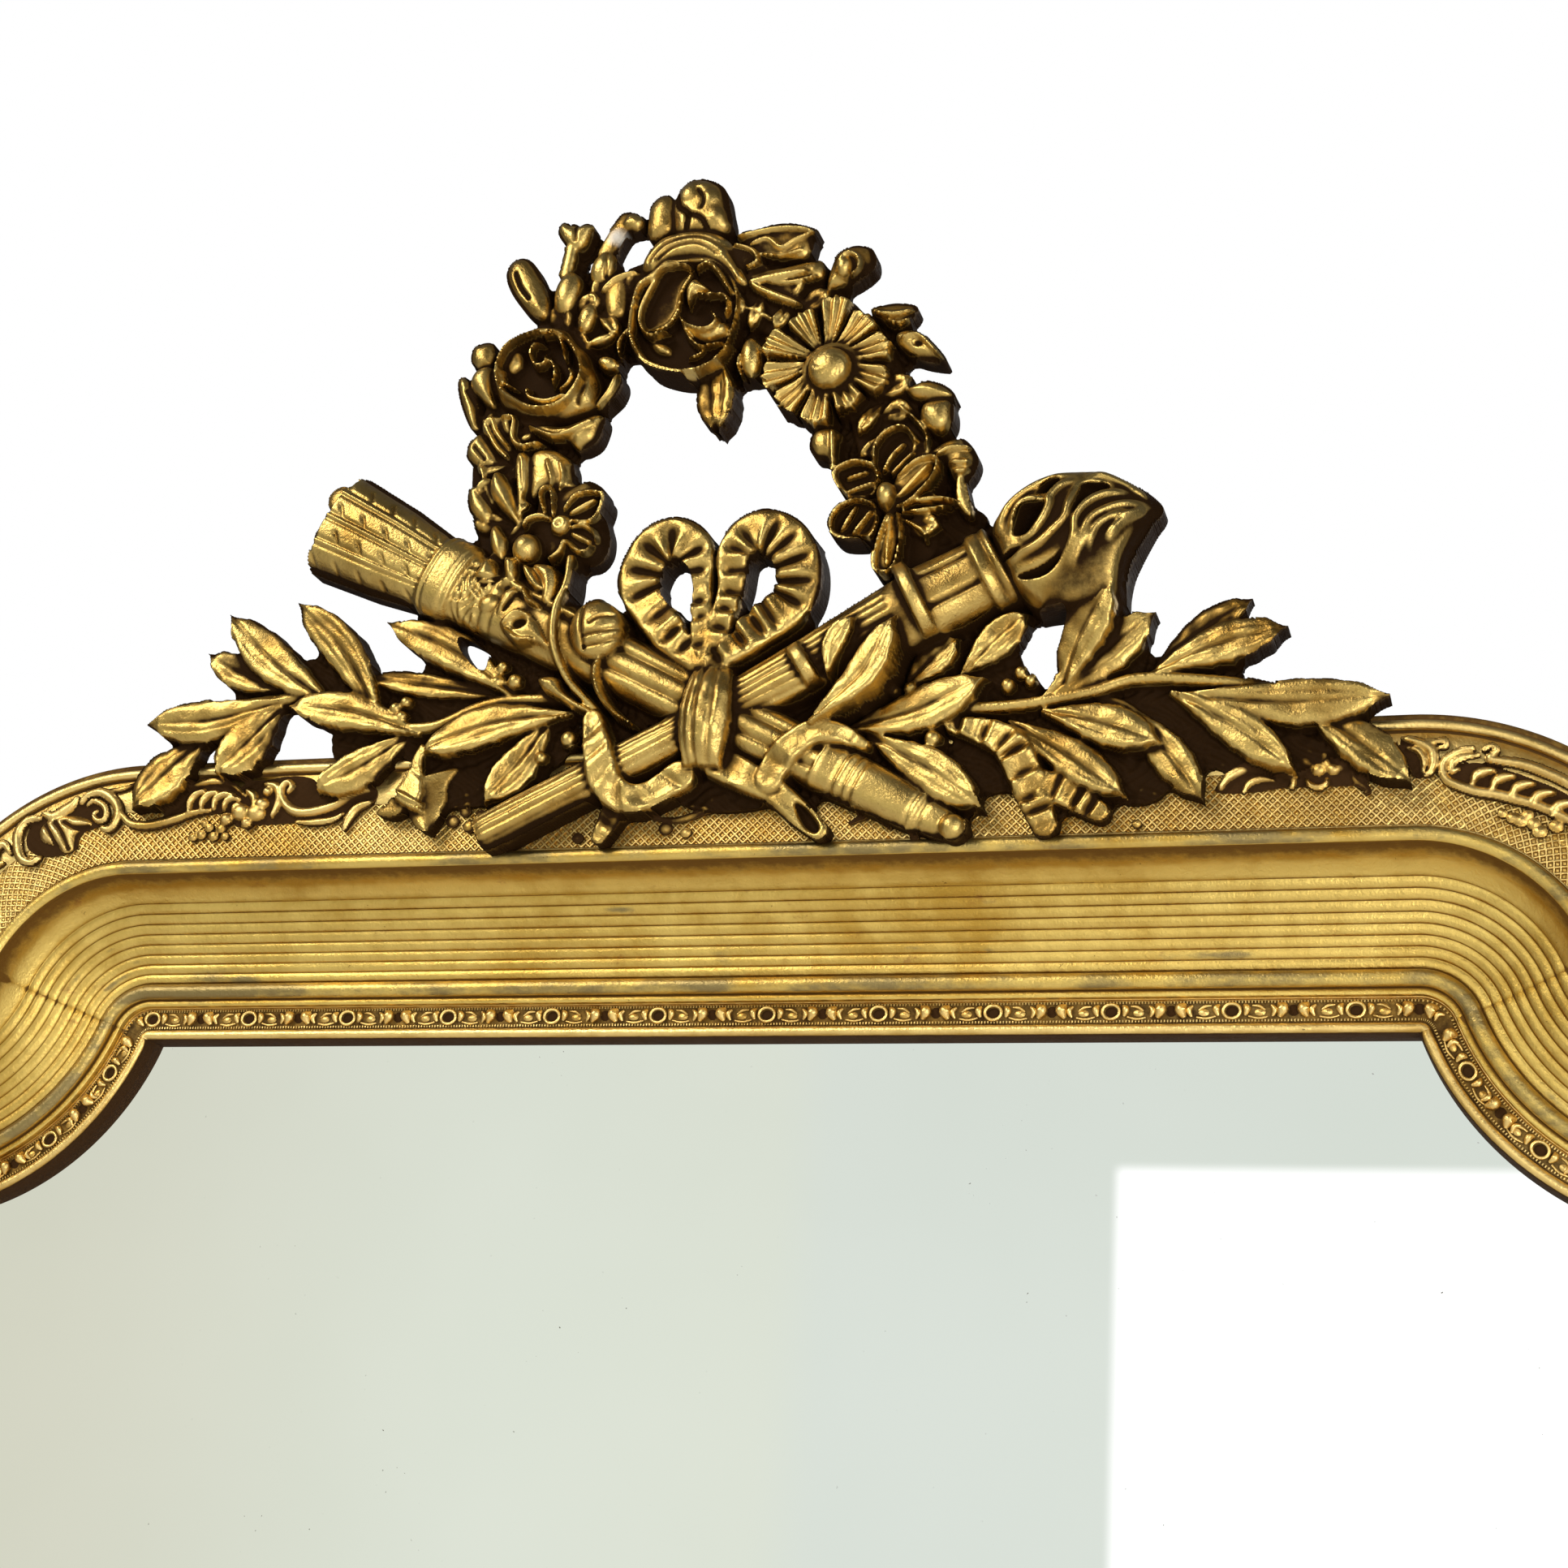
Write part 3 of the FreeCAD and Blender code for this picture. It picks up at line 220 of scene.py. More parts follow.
def looking_glass(name):
    n = Nodes(name)
    freckle, cluster = n.ranged(n.noise(420, 2, 0.4), 0.74, 0.78), n.ranged(n.noise(26, 3), 0.5, 0.66)
    spot = n.math("MULTIPLY", freckle, cluster)
    cloud = n.noise(6, 3)
    tint = n.mix(n.ranged(cloud, 0.3, 0.7), rgb(0.90, 0.915, 0.895), rgb(0.925, 0.935, 0.92))
    n.link(n.mix(spot, tint, LOST_SILVER), n.bsdf.inputs["Base Color"])
    n.bsdf.inputs["Metallic"].default_value = 1.0
    n.link(n.scaled(spot, 0.4, n.math("MULTIPLY", cloud, 0.03)), n.bsdf.inputs["Roughness"])
    n.bump(n.noise(7, 2), 0.04, 0.0005)
    return n.mat


MOULDING = gilt(
    "gilt_moulding", rgb(0.46, 0.265, 0.042), rgb(0.735, 0.525, 0.145), rgb(0.15, 0.072, 0.014),
    hold=0.42, rough=0.38,
)
ORNAMENT = gilt(
    "gilt_ornament", rgb(0.48, 0.28, 0.06), rgb(0.85, 0.61, 0.22), rgb(0.045, 0.021, 0.007),
    hold=0.18, rough=0.34, grime_and_shade=1.2, rub=0.4, spread=0.75,
)
FRIEZE = gilt(
    "gilt_frieze", rgb(0.52, 0.31, 0.065), rgb(0.86, 0.62, 0.22), rgb(0.11, 0.055, 0.015),
    hold=0.30, rough=0.36,
)
CARVING = gilt(
    "gilt_carving", rgb(0.26, 0.138, 0.024), rgb(0.56, 0.385, 0.115), rgb(0.022, 0.010, 0.003),
    hold=-0.02, rough=0.28, grime_and_shade=1.2, rub=0.35, spread=0.8,
)

# Meshes gathered from numpy grids, with marks that the gilding reads
# The first mark holds patina and dirt, with painted shade where it is high and painted highlight where it is
# below zero
MARKS = ("dirt_and_shade", "chalk", "worn")


class Shape:
    def __init__(self):
        self.verts, self.faces, self.count = [], [], 0
        self.marks = {key: [] for key in MARKS}

    def add(self, verts, faces, dirt_and_shade=0.0, chalk=0.0, worn=0.0):
        verts = np.asarray(verts, float).reshape(-1, 3)
        self.verts.append(verts)
        for key, values in zip(MARKS, (dirt_and_shade, chalk, worn)):
            self.marks[key].append(np.broadcast_to(np.asarray(values, float).ravel(), (len(verts),)))
        for f in faces:
            if len(f):
                self.faces.append(np.asarray(f) + self.count)
        self.count += len(verts)


def piece(name, shape, mat, nodes, body="mirror", sharp=48):
    verts = np.concatenate(shape.verts)
    verts = np.column_stack([verts[:, 0], verts[:, 1], verts[:, 2] + LIFT]) * 0.001
    sizes = np.concatenate([np.full(len(f), f.shape[1]) for f in shape.faces])
    starts = np.concatenate([[0], np.cumsum(sizes)[:-1]])
    loops = np.concatenate([f.ravel() for f in shape.faces])
    mesh = bpy.data.meshes.new(name)
    mesh.vertices.add(len(verts))
    mesh.vertices.foreach_set("co", verts.ravel())
    mesh.loops.add(len(loops))
    mesh.loops.foreach_set("vertex_index", loops.astype(np.int32))
    mesh.polygons.add(len(sizes))
    mesh.polygons.foreach_set("loop_start", starts.astype(np.int32))
    mesh.polygons.foreach_set("use_smooth", np.ones(len(sizes), bool))
    mesh.update(calc_edges=True)
    for key, values in shape.marks.items():
        mark = mesh.attributes.new(key, "FLOAT", "POINT")
        mark.data.foreach_set("value", np.concatenate(values).astype(np.float32))
    mesh.validate()
    mesh.set_sharp_from_angle(angle=math.radians(sharp))
    mesh.materials.append(mat)
    obj = bpy.data.objects.new(name, mesh)
    bpy.context.collection.objects.link(obj)
    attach(obj, body)
    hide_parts(*nodes)


def quads(rows, cols, wrap=False, flip=False):
    """Faces of a grid of points, joined round its columns where it wraps."""
    r, c = np.arange(rows - 1), np.arange(cols if wrap else cols - 1)
    r, c = (a.ravel() for a in np.meshgrid(r, c, indexing="ij"))
    r1, c1 = r + 1, (c + 1) % cols
    out = np.column_stack([r * cols + c, r1 * cols + c, r1 * cols + c1, r * cols + c1])
    return out[:, ::-1] if flip else out


def smooth_line(points, count, closed=False):
    """A soft curve through places, with any number of columns."""
    p = np.asarray(points, float)
    n = len(p)
    if n == 2 and not closed:
        t = np.linspace(0, 1, count)[:, None]
        return p[0] * (1 - t) + p[1] * t
    spans = n if closed else n - 1
    t = np.linspace(0, spans, count, endpoint=not closed)
    i = np.minimum(t.astype(int), spans - 1)
    f = (t - i)[:, None]
    at = (lambda k: p[k % n]) if closed else (lambda k: p[np.clip(k, 0, n - 1)])
    a, b, c, d = at(i - 1), at(i), at(i + 1), at(i + 2)
    return 0.5 * (2 * b + (c - a) * f + (2 * a - 5 * b + 4 * c - d) * f**2 + (3 * b - a - 3 * c + d) * f**3)


# Stations round the frame: a foot on the sight edge and the direction outward
FAN_STEP = 2.0  # degrees between the stations of a turn


def stations(part):
    rows = []

    def turn(cx, cz, first, last):
        for a in np.radians(np.linspace(first, last, int(abs(last - first) / FAN_STEP) + 1)):
            rows.append((cx, cz, math.sin(a), math.cos(a)))

    if part == "top":
        turn(-HALF_TOP, 0, -START_DEG, 0)
        for x in np.linspace(-HALF_TOP, HALF_TOP, 131)[1:-1]:
            rows.append((x, 0, 0, 1))
        turn(HALF_TOP, 0, 0, START_DEG)
    elif part == "shoulder":
        for a in np.radians(np.linspace(START_DEG, END_DEG, 29))[:-1]:
            s, c = math.sin(a), math.cos(a)
            rows.append((LOBE_X - LOBE * s, LOBE_Z - LOBE * c, s, c))
        turn(HALF_SIDE, SIDE_TOP, END_DEG, 90)
    elif part == "side":
        for z in np.linspace(SIDE_TOP, FOOT, 137):
            rows.append((HALF_SIDE, z, 1, 0))
        rows.append((HALF_SIDE, FOOT, 1, -1))
    else:
        rows.append((HALF_SIDE, FOOT, 1, -1))
        for x in np.linspace(HALF_SIDE, -HALF_SIDE, 107):
            rows.append((x, FOOT, 0, -1))
        rows.append((-HALF_SIDE, FOOT, -1, -1))
    return np.array(rows)


def flipped(rows):
    """The same run on the left-hand side, still clockwise."""
    return (rows * np.array([-1, 1, -1, 1]))[::-1]


RUNS = {
    "top": stations("top"),
    "shoulder_right": stations("shoulder"),
    "side_right": stations("side"),
    "bottom": stations("bottom"),
}
RUNS["shoulder_left"] = flipped(RUNS["shoulder_right"])
RUNS["side_left"] = flipped(RUNS["side_right"])


def lengths(rows, out):
    """Length along a run at each station, a distance outward."""
    p = rows[:, :2] + rows[:, 2:] * out
    return np.concatenate([[0], np.cumsum(np.hypot(*np.diff(p, axis=0).T))])


def laid(rows, table, s, out, rise):
    """Points at a length along the run, a distance outward and a rise."""
    at = np.stack([np.interp(s, table, rows[:, k]) for k in range(4)], -1)
    across = at[..., 0] + at[..., 2] * out
    up = at[..., 1] + at[..., 3] * out
    return np.stack([across, np.broadcast_to(-(FACE + rise), across.shape), up], -1)


# Profiles of the mouldings as (distance outward, rise)
REEDS, REED_START, REED_END, REED_PITCH = 8, 29.5, 69.2, 4.9
REED_LOW, REED_CLIMB, REED_SWELL, FIRST_CROWN = 11.5, 16.1, 0.78, 31.9
COVE_LOW, COVE_TOP, BEAD_END = (68.7, 27.6), (78.1, 48.0), (85.1, 48.0)
EDGE_BEAD, EDGE_END = (136.0, 48.8), (140.0, 45.0)


def arc_through(a, b, c, count):
    a, b, c = (np.array(p, float) for p in (a, b, c))
    centre = np.linalg.solve(2 * np.array([b - a, c - a]), [b @ b - a @ a, c @ c - a @ a])
    r = np.hypot(*(a - centre))
    ang = np.unwrap([math.atan2(*(p - centre)[::-1]) for p in (a, b, c)])
    t = np.linspace(ang[0], ang[2], count)
    return np.column_stack([centre[0] + r * np.cos(t), centre[1] + r * np.sin(t)])


def reed_foot(k):
    return (REED_START + REED_PITCH * k, REED_LOW + REED_CLIMB * (k / REEDS) ** 1.4)


def bulge(a, b, h):
    """The middle of a run, moved out of it by a height."""
    run = np.subtract(b, a)
    run_length = np.hypot(*run)
    return tuple(np.add(a, b) / 2 + np.array([-run[1], run[0]]) / run_length * h)


def slip_profile():
    rows = [(0, 0), (0, 4.0), (0, 7.5)]
    rows += list(arc_through((0, 7.5), (2.65, 10.0), (5.3, 7.5), 13)[1:])
    rows += [(5.5, 6.6), (6.0, 5.9), (6.6, 5.8), (16.4, 5.8)]
    rows += [(16.9, 6.2), (17.1, 7.0), (17.5, 7.0), (17.5, 0)]
    return np.array(rows)


def cove_profile():
    rows = [(17.5, 0), (17.5, 10.6), (17.8, 11.0), (20.5, 11.0), (20.9, 10.4)]
    rows += list(arc_through((21.0, 10.6), (25.2, 15.2), (29.3, 11.0), 17))
    for k in range(REEDS):
        a, b = reed_foot(k), reed_foot(k + 1)
        body = arc_through(a, bulge(a, b, REED_SWELL), b, 13)
        rows += [tuple(body[0] + (0, -0.25))] + [tuple(p) for p in body[1:-1]]
        rows += [tuple(body[-1] + (-0.25, 0.25))]
    rows += list(arc_through(COVE_LOW, bulge(COVE_LOW, COVE_TOP, -2.0), COVE_TOP, 15))
    rows += list(arc_through(COVE_TOP, (81.6, 53.0), BEAD_END, 17)[1:])
    rows += [(85.3, 47.2), (86.0, 47.2), (86.0, 0)]
    return np.array(rows)


def frieze_profile():
    rows = [(86.1, 0), (86.1, 47.8), (112.4, 47.8), (112.6, 48.8), (113.4, 49.2)]
    rows += [(129.4, 49.0), (130.4, 48.2), (131.0, 48.6)]
    rows += list(arc_through((131.0, 48.8), (133.5, 51.5), EDGE_BEAD, 11)[1:])
    rows += list(arc_through(EDGE_BEAD, bulge(EDGE_BEAD, EDGE_END, 1.0), EDGE_END, 7)[1:])
    rows += [(140.0, 30.0), (140.0, 12.0), (140.0, 0)]
    return np.array(rows)


def mound(x, at, wide):
    """A soft mound, one high at its place."""
    return np.exp(-(((x - at) / wide) ** 2))


def hollow_of(profile, reach=2.6):
    """How far each point lies behind its neighbours across the moulding, for patina with painted shade in
    hollows and painted highlight on crowns, with the reeds and cove set on their own.
    """
    d, r = profile.T
    out = np.zeros(len(d))
    fine = np.arange(d.min(), d.max(), 0.1)
    keep = np.concatenate([[True], np.diff(np.maximum.accumulate(d)) > 1e-6])
    level = np.interp(fine, np.maximum.accumulate(d)[keep], r[keep])
    for i in range(len(d)):
        near = np.abs(fine - d[i]) < reach
        out[i] = np.clip((level[near].mean() - r[i]) / 0.9, -1, 1.2)
    half = REED_PITCH / 2
    groove = np.abs((d - REED_START + half) % REED_PITCH - half)
    reeds = (d > REED_START - 0.1) & (d < REED_END)
    # Reeds: patina and painted shade in the grooves, painted highlight on the crowns
    out = np.where(reeds, 1.05 * mound(groove, 0, 0.42) - 0.30, out)
    cove = (d >= REED_END) & (d < 78.3)
    # Outer edge: painted shade
    out = np.where(d > 136.2, np.maximum(out, 0.75), out)
    out = np.where((d > 78.6) & (d < 85.0), out + 0.25, out)
    # Cove: painted shade under the bead, with a painted lighter band below it
    in_cove = np.interp(d, [REED_END, 70.6, 73.6, 75.4, 78.2], [0.2, -0.7, -0.6, 0.45, 1.05])
    return np.where(cove, in_cove, out)


def waver(s, seed, amount):
    """A slow hand-made unevenness along a run."""
    rng = np.random.default_rng(seed)
    out = np.zeros_like(s)
    for _ in range(6):
        out += np.sin(s / rng.uniform(9, 60) + rng.uniform(0, 6.3)) * rng.uniform(0.3, 1)
    return out * amount / 3


# Rubbed places on the mouldings: x, z, half widths, amount
WORN_SPOTS = (
    (-290, 32, 26, 6, 0.8),
    (-268, 30, 8, 5, 0.6),
    (-8, 40, 9, 13, 0.55),
    (-12, 25, 16, 4, 0.5),
    (-118, 37, 5, 5, 0.5),
    (126, 40, 4, 2, 0.7),
    (-300, 22, 40, 5, 0.5),
    (230, 36, 30, 3, 0.45),
)


def rubbed(verts, out, table, seed):
    """Worn gold: on the half round and the bead, in streaks along the reeds and in spots."""
    half_round, bead = (out > 21.2) & (out < 29.2), (out > 78.5) & (out < 85.0)
    tired = 0.62 * half_round + 0.55 * bead
    tired = tired + waver(table, seed + 5, 0.22)[:, None] * (tired > 0)
    for k in range(REEDS):
        streak = np.maximum(waver(table * 2.2 + 40 * k, seed + 11 * k, 0.7), 0) ** 1.5
        tired = tired + streak[:, None] * mound(out - FIRST_CROWN, REED_PITCH * k, 1.6)
    for x, z, rx, rz, share in WORN_SPOTS:
        tired = tired + share * np.exp(-(((verts[..., 0] - x) / rx) ** 2 + ((verts[..., 2] - z) / rz) ** 2))
    return tired


MITRE_DROP, MITRE_DIRT = 0.2, 0.9  # the joints between two runs stand back a little and hold dirt


def sweep(shape, rows, profile, seed, amount):
    table = lengths(rows, 60)
    n, m = len(rows), len(profile)
    out = profile[None, :, 0]
    rise = np.repeat(profile[None, :, 1], n, 0)
    front = rise > 4
    for j in range(m):
        rise[:, j] += np.where(front[:, j], waver(table + profile[j, 0] * 3, seed + j // 9, amount), 0)
    dirt_and_shade = np.repeat(hollow_of(profile)[None, :], n, 0)
    for end in (0, -1):
        rise[end] -= np.where(front[end], MITRE_DROP, 0)
        dirt_and_shade[end] += MITRE_DIRT
    verts = np.empty((n, m, 3))
    verts[..., 0] = rows[:, None, 0] + rows[:, None, 2] * out
    verts[..., 1] = -(FACE + rise)
    verts[..., 2] = rows[:, None, 1] + rows[:, None, 3] * out
    caps = [np.arange(m)[::-1][None], (np.arange(m) + (n - 1) * m)[None]]
    shape.add(verts, [quads(n, m, wrap=True), *caps], dirt_and_shade, 0.0, rubbed(verts, out, table, seed))


# Diaper: raised lattice round sunk squares with a small point in each
LATTICE = ((1.0, 49.15, -0.55), (0.80, 49.1, -0.3), (0.58, 48.25, 0.8))  # share of the cell, rise, darkening: painted highlight on the raised lattice, dirt and painted shade on the sunk floor
# The small point in each square is a little lighter: painted highlight
POINT_RISE, POINT_PAINTED_HIGHLIGHT, WORN_ABOVE = 48.6, -0.1, 48.5


def diaper(shape, rows, low, high, pitch, seed):
    table = lengths(rows, (low + high) / 2)
    half = pitch / 2
    count = int(table[-1] // half)
    step = table[-1] / count
    ranks = range(int((high - low) / half) + 2)
    ij = np.array([(i, j) for i in range(count + 1) for j in ranks if (i + j) % 2 == 0], float)
    cs, cd = ij[:, 0] * step, low + ij[:, 1] * half
    ring = np.array([(1, 0), (0, 1), (-1, 0), (0, -1)], float)
    worn = np.random.default_rng(seed).uniform(0, 0.25, len(cs)) + 0.18 * np.sin(cs / 41.0 + seed)
    verts, dirt_and_shade = [], []
    for scale, rise, grime_and_shade in LATTICE:
        s = np.clip(cs[:, None] + ring[None, :, 0] * step * scale, 0, table[-1])
        d = np.clip(cd[:, None] + ring[None, :, 1] * half * scale, low, high)
        verts.append(laid(rows, table, s, d, rise - worn[:, None] * (rise > WORN_ABOVE)))
        dirt_and_shade.append(np.full(s.shape, grime_and_shade))
    s, d = cs[:, None], np.clip(cd, low, high)[:, None]
    verts.append(laid(rows, table, s, d, np.full(s.shape, POINT_RISE)))
    dirt_and_shade.append(np.full(s.shape, POINT_PAINTED_HIGHLIGHT))
    v = np.concatenate(verts, 1)
    base = np.arange(len(cs))[:, None] * v.shape[1]
    faces = []
    for k in range(4):
        k1 = (k + 1) % 4
        for lower in (0, 4):
            faces.append(base + np.array([[lower + k, lower + k1, lower + 4 + k1, lower + 4 + k]]))
    points = [base + np.array([[8 + k, 8 + (k + 1) % 4, 12]]) for k in range(4)]
    shape.add(v, [np.concatenate(faces), np.concatenate(points)], np.concatenate(dirt_and_shade, 1))


# Ornament of the slip, in a flat strip of (along, out, rise) that is then laid round the run
STRIP_MIDDLE, STRIP_RISE, MOTIF_PERIOD, NOTCH_PITCH = 11.4, 5.9, 54.5, 1.5


def tube(points, radius, sides=8, count=14):
    """Round tube along places that hold x, y, z and a radius share."""
    c = smooth_line(points, count)
    xyz, r = c[:, :3], c[:, 3] * radius
    way = np.gradient(xyz, axis=0)
    way /= np.linalg.norm(way, axis=1)[:, None] + 1e-9
    side = np.cross(way, np.array([0, 0, 1.0]))
    side /= np.linalg.norm(side, axis=1)[:, None] + 1e-9
    top = np.cross(side, way)
    a = np.linspace(0, 2 * PI, sides, endpoint=False)
    spoke = np.cos(a)[None, :, None] * side[:, None] + np.sin(a)[None, :, None] * top[:, None]
    verts = xyz[:, None] + r[:, None, None] * spoke
    caps = [np.arange(sides)[None], (np.arange(sides)[::-1] + (count - 1) * sides)[None]]
    return verts.reshape(-1, 3), [quads(count, sides, wrap=True, flip=True), *caps]


def pebble(x, y, z, rx, ry, rz, rings=6, sides=10):
    a = np.linspace(0, 2 * PI, sides, endpoint=False)
    b = np.linspace(0.02, PI - 0.02, rings)
    ring = np.sin(b)[:, None]
    pz = np.repeat(np.cos(b)[:, None], sides, 1) * rz
    verts = np.stack([x + ring * np.cos(a) * rx, y + ring * np.sin(a) * ry, z + pz], -1)
    return verts.reshape(-1, 3), [quads(rings, sides, wrap=True)]


def motif(period):
    """Oval ring between two commas, then a pair of crescents with a dark hollow between them."""
    half = period / 2
    ring = [(4.0 * math.cos(t), 3.5 * math.sin(t), 1.0, 1.0) for t in np.linspace(0, 2 * PI, 15)]
    # The last number of each part darkens it: grime and painted shade in the hollow of the ring and between
    # the crescents
    parts = [(*tube(ring, 0.85, 8, 30), 0.0), (*pebble(0, 0, -0.1, 3.0, 2.6, 0.4), 0.7)]
    lines = (
        (1.5, [(5.6, 2.9, 0.6, 0.5), (7.1, 1.0, 1.1, 1.2), (6.2, -2.2, 0.8, 0.5)]),
        (0.75, [(7.6, -2.4, 0.5, 0.6), (12.0, -3.5, 0.7, 0.9), (16.4, -2.8, 0.6, 0.6)]),
        (0.8, [(9.4, 2.6, 0.5, 0.5), (12.6, 2.2, 0.7, 0.9), (15.4, 0.4, 0.6, 0.5)]),
        (2.2, [(half - 7.0, 3.2, 0.6, 0.5), (half - 4.7, 0.8, 1.2, 1.4), (half - 6.4, -3.0, 0.8, 0.5)]),
        (1.3, [(half - 10.2, 2.6, 0.6, 0.5), (half - 8.4, 0.4, 0.9, 1.1), (half - 9.6, -2.6, 0.6, 0.5)]),
    )
    for m in (-1, 1):
        for thick, line in lines:
            parts.append((*tube([(m * x, y, z, r) for x, y, z, r in line], thick), 0.0))
        parts.append((*pebble(m * 13.0, -0.6, 0.1, 2.8, 1.9, 0.9), 0.2))
    parts.append((*pebble(half, 0.3, -0.15, 2.8, 2.9, 0.5), 0.9))
    return parts


def notches(shape, rows, table):
    """Two rows of small raised blocks along the strip's edges."""
    long = table[-1]
    count = int(long / NOTCH_PITCH)
    s0 = (np.arange(count) + 0.25) * long / count
    foot = [(0, 0, 0), (0.75, 0, 0), (0.75, 1, 0), (0, 1, 0)]
    box = np.array(foot + [(0.1, 0.1, 1), (0.65, 0.1, 1), (0.65, 0.9, 1), (0.1, 0.9, 1)], float)
    sides = np.array([(4, 5, 6, 7), (0, 1, 5, 4), (1, 2, 6, 5), (2, 3, 7, 6), (3, 0, 4, 7)])
    for low, wide in ((6.3, 1.3), (15.1, 1.4)):
        s = np.clip(s0[:, None] + box[None, :, 0], 0, long)
        d = np.broadcast_to(low + box[:, 1] * wide, s.shape)
        r = np.broadcast_to(5.7 + box[:, 2] * 0.75, s.shape)
        faces = (np.arange(count)[:, None, None] * 8 + sides[None]).reshape(-1, 4)
        # Feet of the blocks darker, tops lighter: painted shade and painted highlight, with grime
        shape.add(laid(rows, table, s, d, r), [faces], np.broadcast_to(0.7 - 0.8 * box[:, 2], s.shape))


def ornament(shape, rows, shift):
    table = lengths(rows, STRIP_MIDDLE)
    long = table[-1]
    count = max(1, round(long / MOTIF_PERIOD))
    period = long / count
    starts = (np.arange(-1, count + 1) + 0.5) * period + shift
    for verts, faces, extra_grime_and_shade in motif(period):
        s = verts[:, 0][None] + starts[:, None]
        s = s[(s.min(1) > 0.5) & (s.max(1) < long - 0.5)]
        d = np.broadcast_to(STRIP_MIDDLE + verts[:, 1], s.shape)
        r = np.broadcast_to(STRIP_RISE + verts[:, 2], s.shape)
        # Lower parts darker, raised parts lighter: painted shade and painted highlight, with grime
        grime_and_shade = np.broadcast_to(np.clip(0.55 - 0.8 * verts[:, 2], -0.8, 1.0) + extra_grime_and_shade, s.shape)
        all_faces = [np.concatenate([f + k * len(verts) for k in range(len(s))]) for f in faces]
        shape.add(laid(rows, table, s, d, r), all_faces, grime_and_shade)
    notches(shape, rows, table)


SLIP_UNEVEN, COVE_UNEVEN, FRIEZE_UNEVEN = 0.05, 0.16, 0.05
DIAPER_LOW, DIAPER_HIGH, DIAPER_PITCH = 86.5, 112.4, 4.4
STRIP_LOW, STRIP_HIGH, STRIP_DIRT = 5.8, 16.8, 0.58
TOP_SHIFT = -14.0  # the motifs of the top run stand a little to the left


def build_mouldings():
    slip, cove, frieze = slip_profile(), cove_profile(), frieze_profile()
    for k, (part, rows) in enumerate(RUNS.items()):
        shape = Shape()
        sweep(shape, rows, slip, 10 + k, SLIP_UNEVEN)
        across, dirt_and_shade = np.tile(slip[:, 0], len(rows)), shape.marks["dirt_and_shade"]
        dirt_and_shade[0] = np.where((across > STRIP_LOW) & (across < STRIP_HIGH), STRIP_DIRT, dirt_and_shade[0])
        ornament(shape, rows, TOP_SHIFT if part == "top" else 0.0)
        piece("slip_" + part + "_gilt", shape, ORNAMENT, ["slip_" + part])
        shape = Shape()
        sweep(shape, rows, cove, 30 + k, COVE_UNEVEN)
        piece("cove_" + part + "_gilt", shape, MOULDING, ["cove_" + part], sharp=60)
        shape = Shape()
        sweep(shape, rows, frieze, 50 + k, FRIEZE_UNEVEN)
        diaper(shape, rows, DIAPER_LOW, DIAPER_HIGH, DIAPER_PITCH, 70 + k)
        piece("frieze_" + part + "_gilt", shape, FRIEZE, ["frieze_" + part])


# Carved crest as one relief, shared out among its pieces
RELIEF_EDGES, RELIEF_STEP = (-432, 432, 78, 460), 0.65
FAR_OUT = -9.0  # inset of a place that no form covers
BATCH = 40000  # places measured at a time


def place(x, z, rise):
    """Modules on the reading plane, moved along the sight line to a rise."""
    px, pz = x * MODULE, z * MODULE + FRAME_TOP
    k = (READ_RISE - rise) / EYE_FAR
    return px + (px - EYE_X) * k, pz + (pz + EYE_LOW) * k


def blurred(field, sigma):
    """Soft average of a field, sigma in cells."""
    reach = max(1, int(3 * sigma))
    kernel = np.exp(-0.5 * (np.arange(-reach, reach + 1) / sigma) ** 2)
    kernel /= kernel.sum()
    out = field
    for axis in (0, 1):
        padded = np.pad(out, [(reach, reach) if a == axis else (0, 0) for a in (0, 1)], mode="edge")
        total = np.zeros_like(out)
        for k, w in enumerate(kernel):
            part = padded[k : k + out.shape[0], :] if axis == 0 else padded[:, k : k + out.shape[1]]
            total += w * part
        out = total
    return out


def small_gaps(mask, limit):
    """Enclosed gaps of a mask that have fewer cells than the limit."""
    high, wide = mask.shape
    seen = mask.copy()
    out = np.zeros_like(mask)
    for start in zip(*np.nonzero(~mask)):
        if seen[start]:
            continue
        seen[start] = True
        found = [start]
        for j, i in found:
            for a, b in ((j - 1, i), (j + 1, i), (j, i - 1), (j, i + 1)):
                if 0 <= a < high and 0 <= b < wide and not seen[a, b]:
                    seen[a, b] = True
                    found.append((a, b))
        if len(found) < limit:
            for cell in found:
                out[cell] = True
    return out


def nearest(p, c):
    """Index of the line's point that lies nearest to each place."""
    out = np.empty(len(p), int)
    for k in range(0, len(p), BATCH):
        q = p[k : k + BATCH, None]
        out[k : k + BATCH] = ((q[..., 0] - c[:, 0]) ** 2 + (q[..., 1] - c[:, 1]) ** 2).argmin(1)
    return out


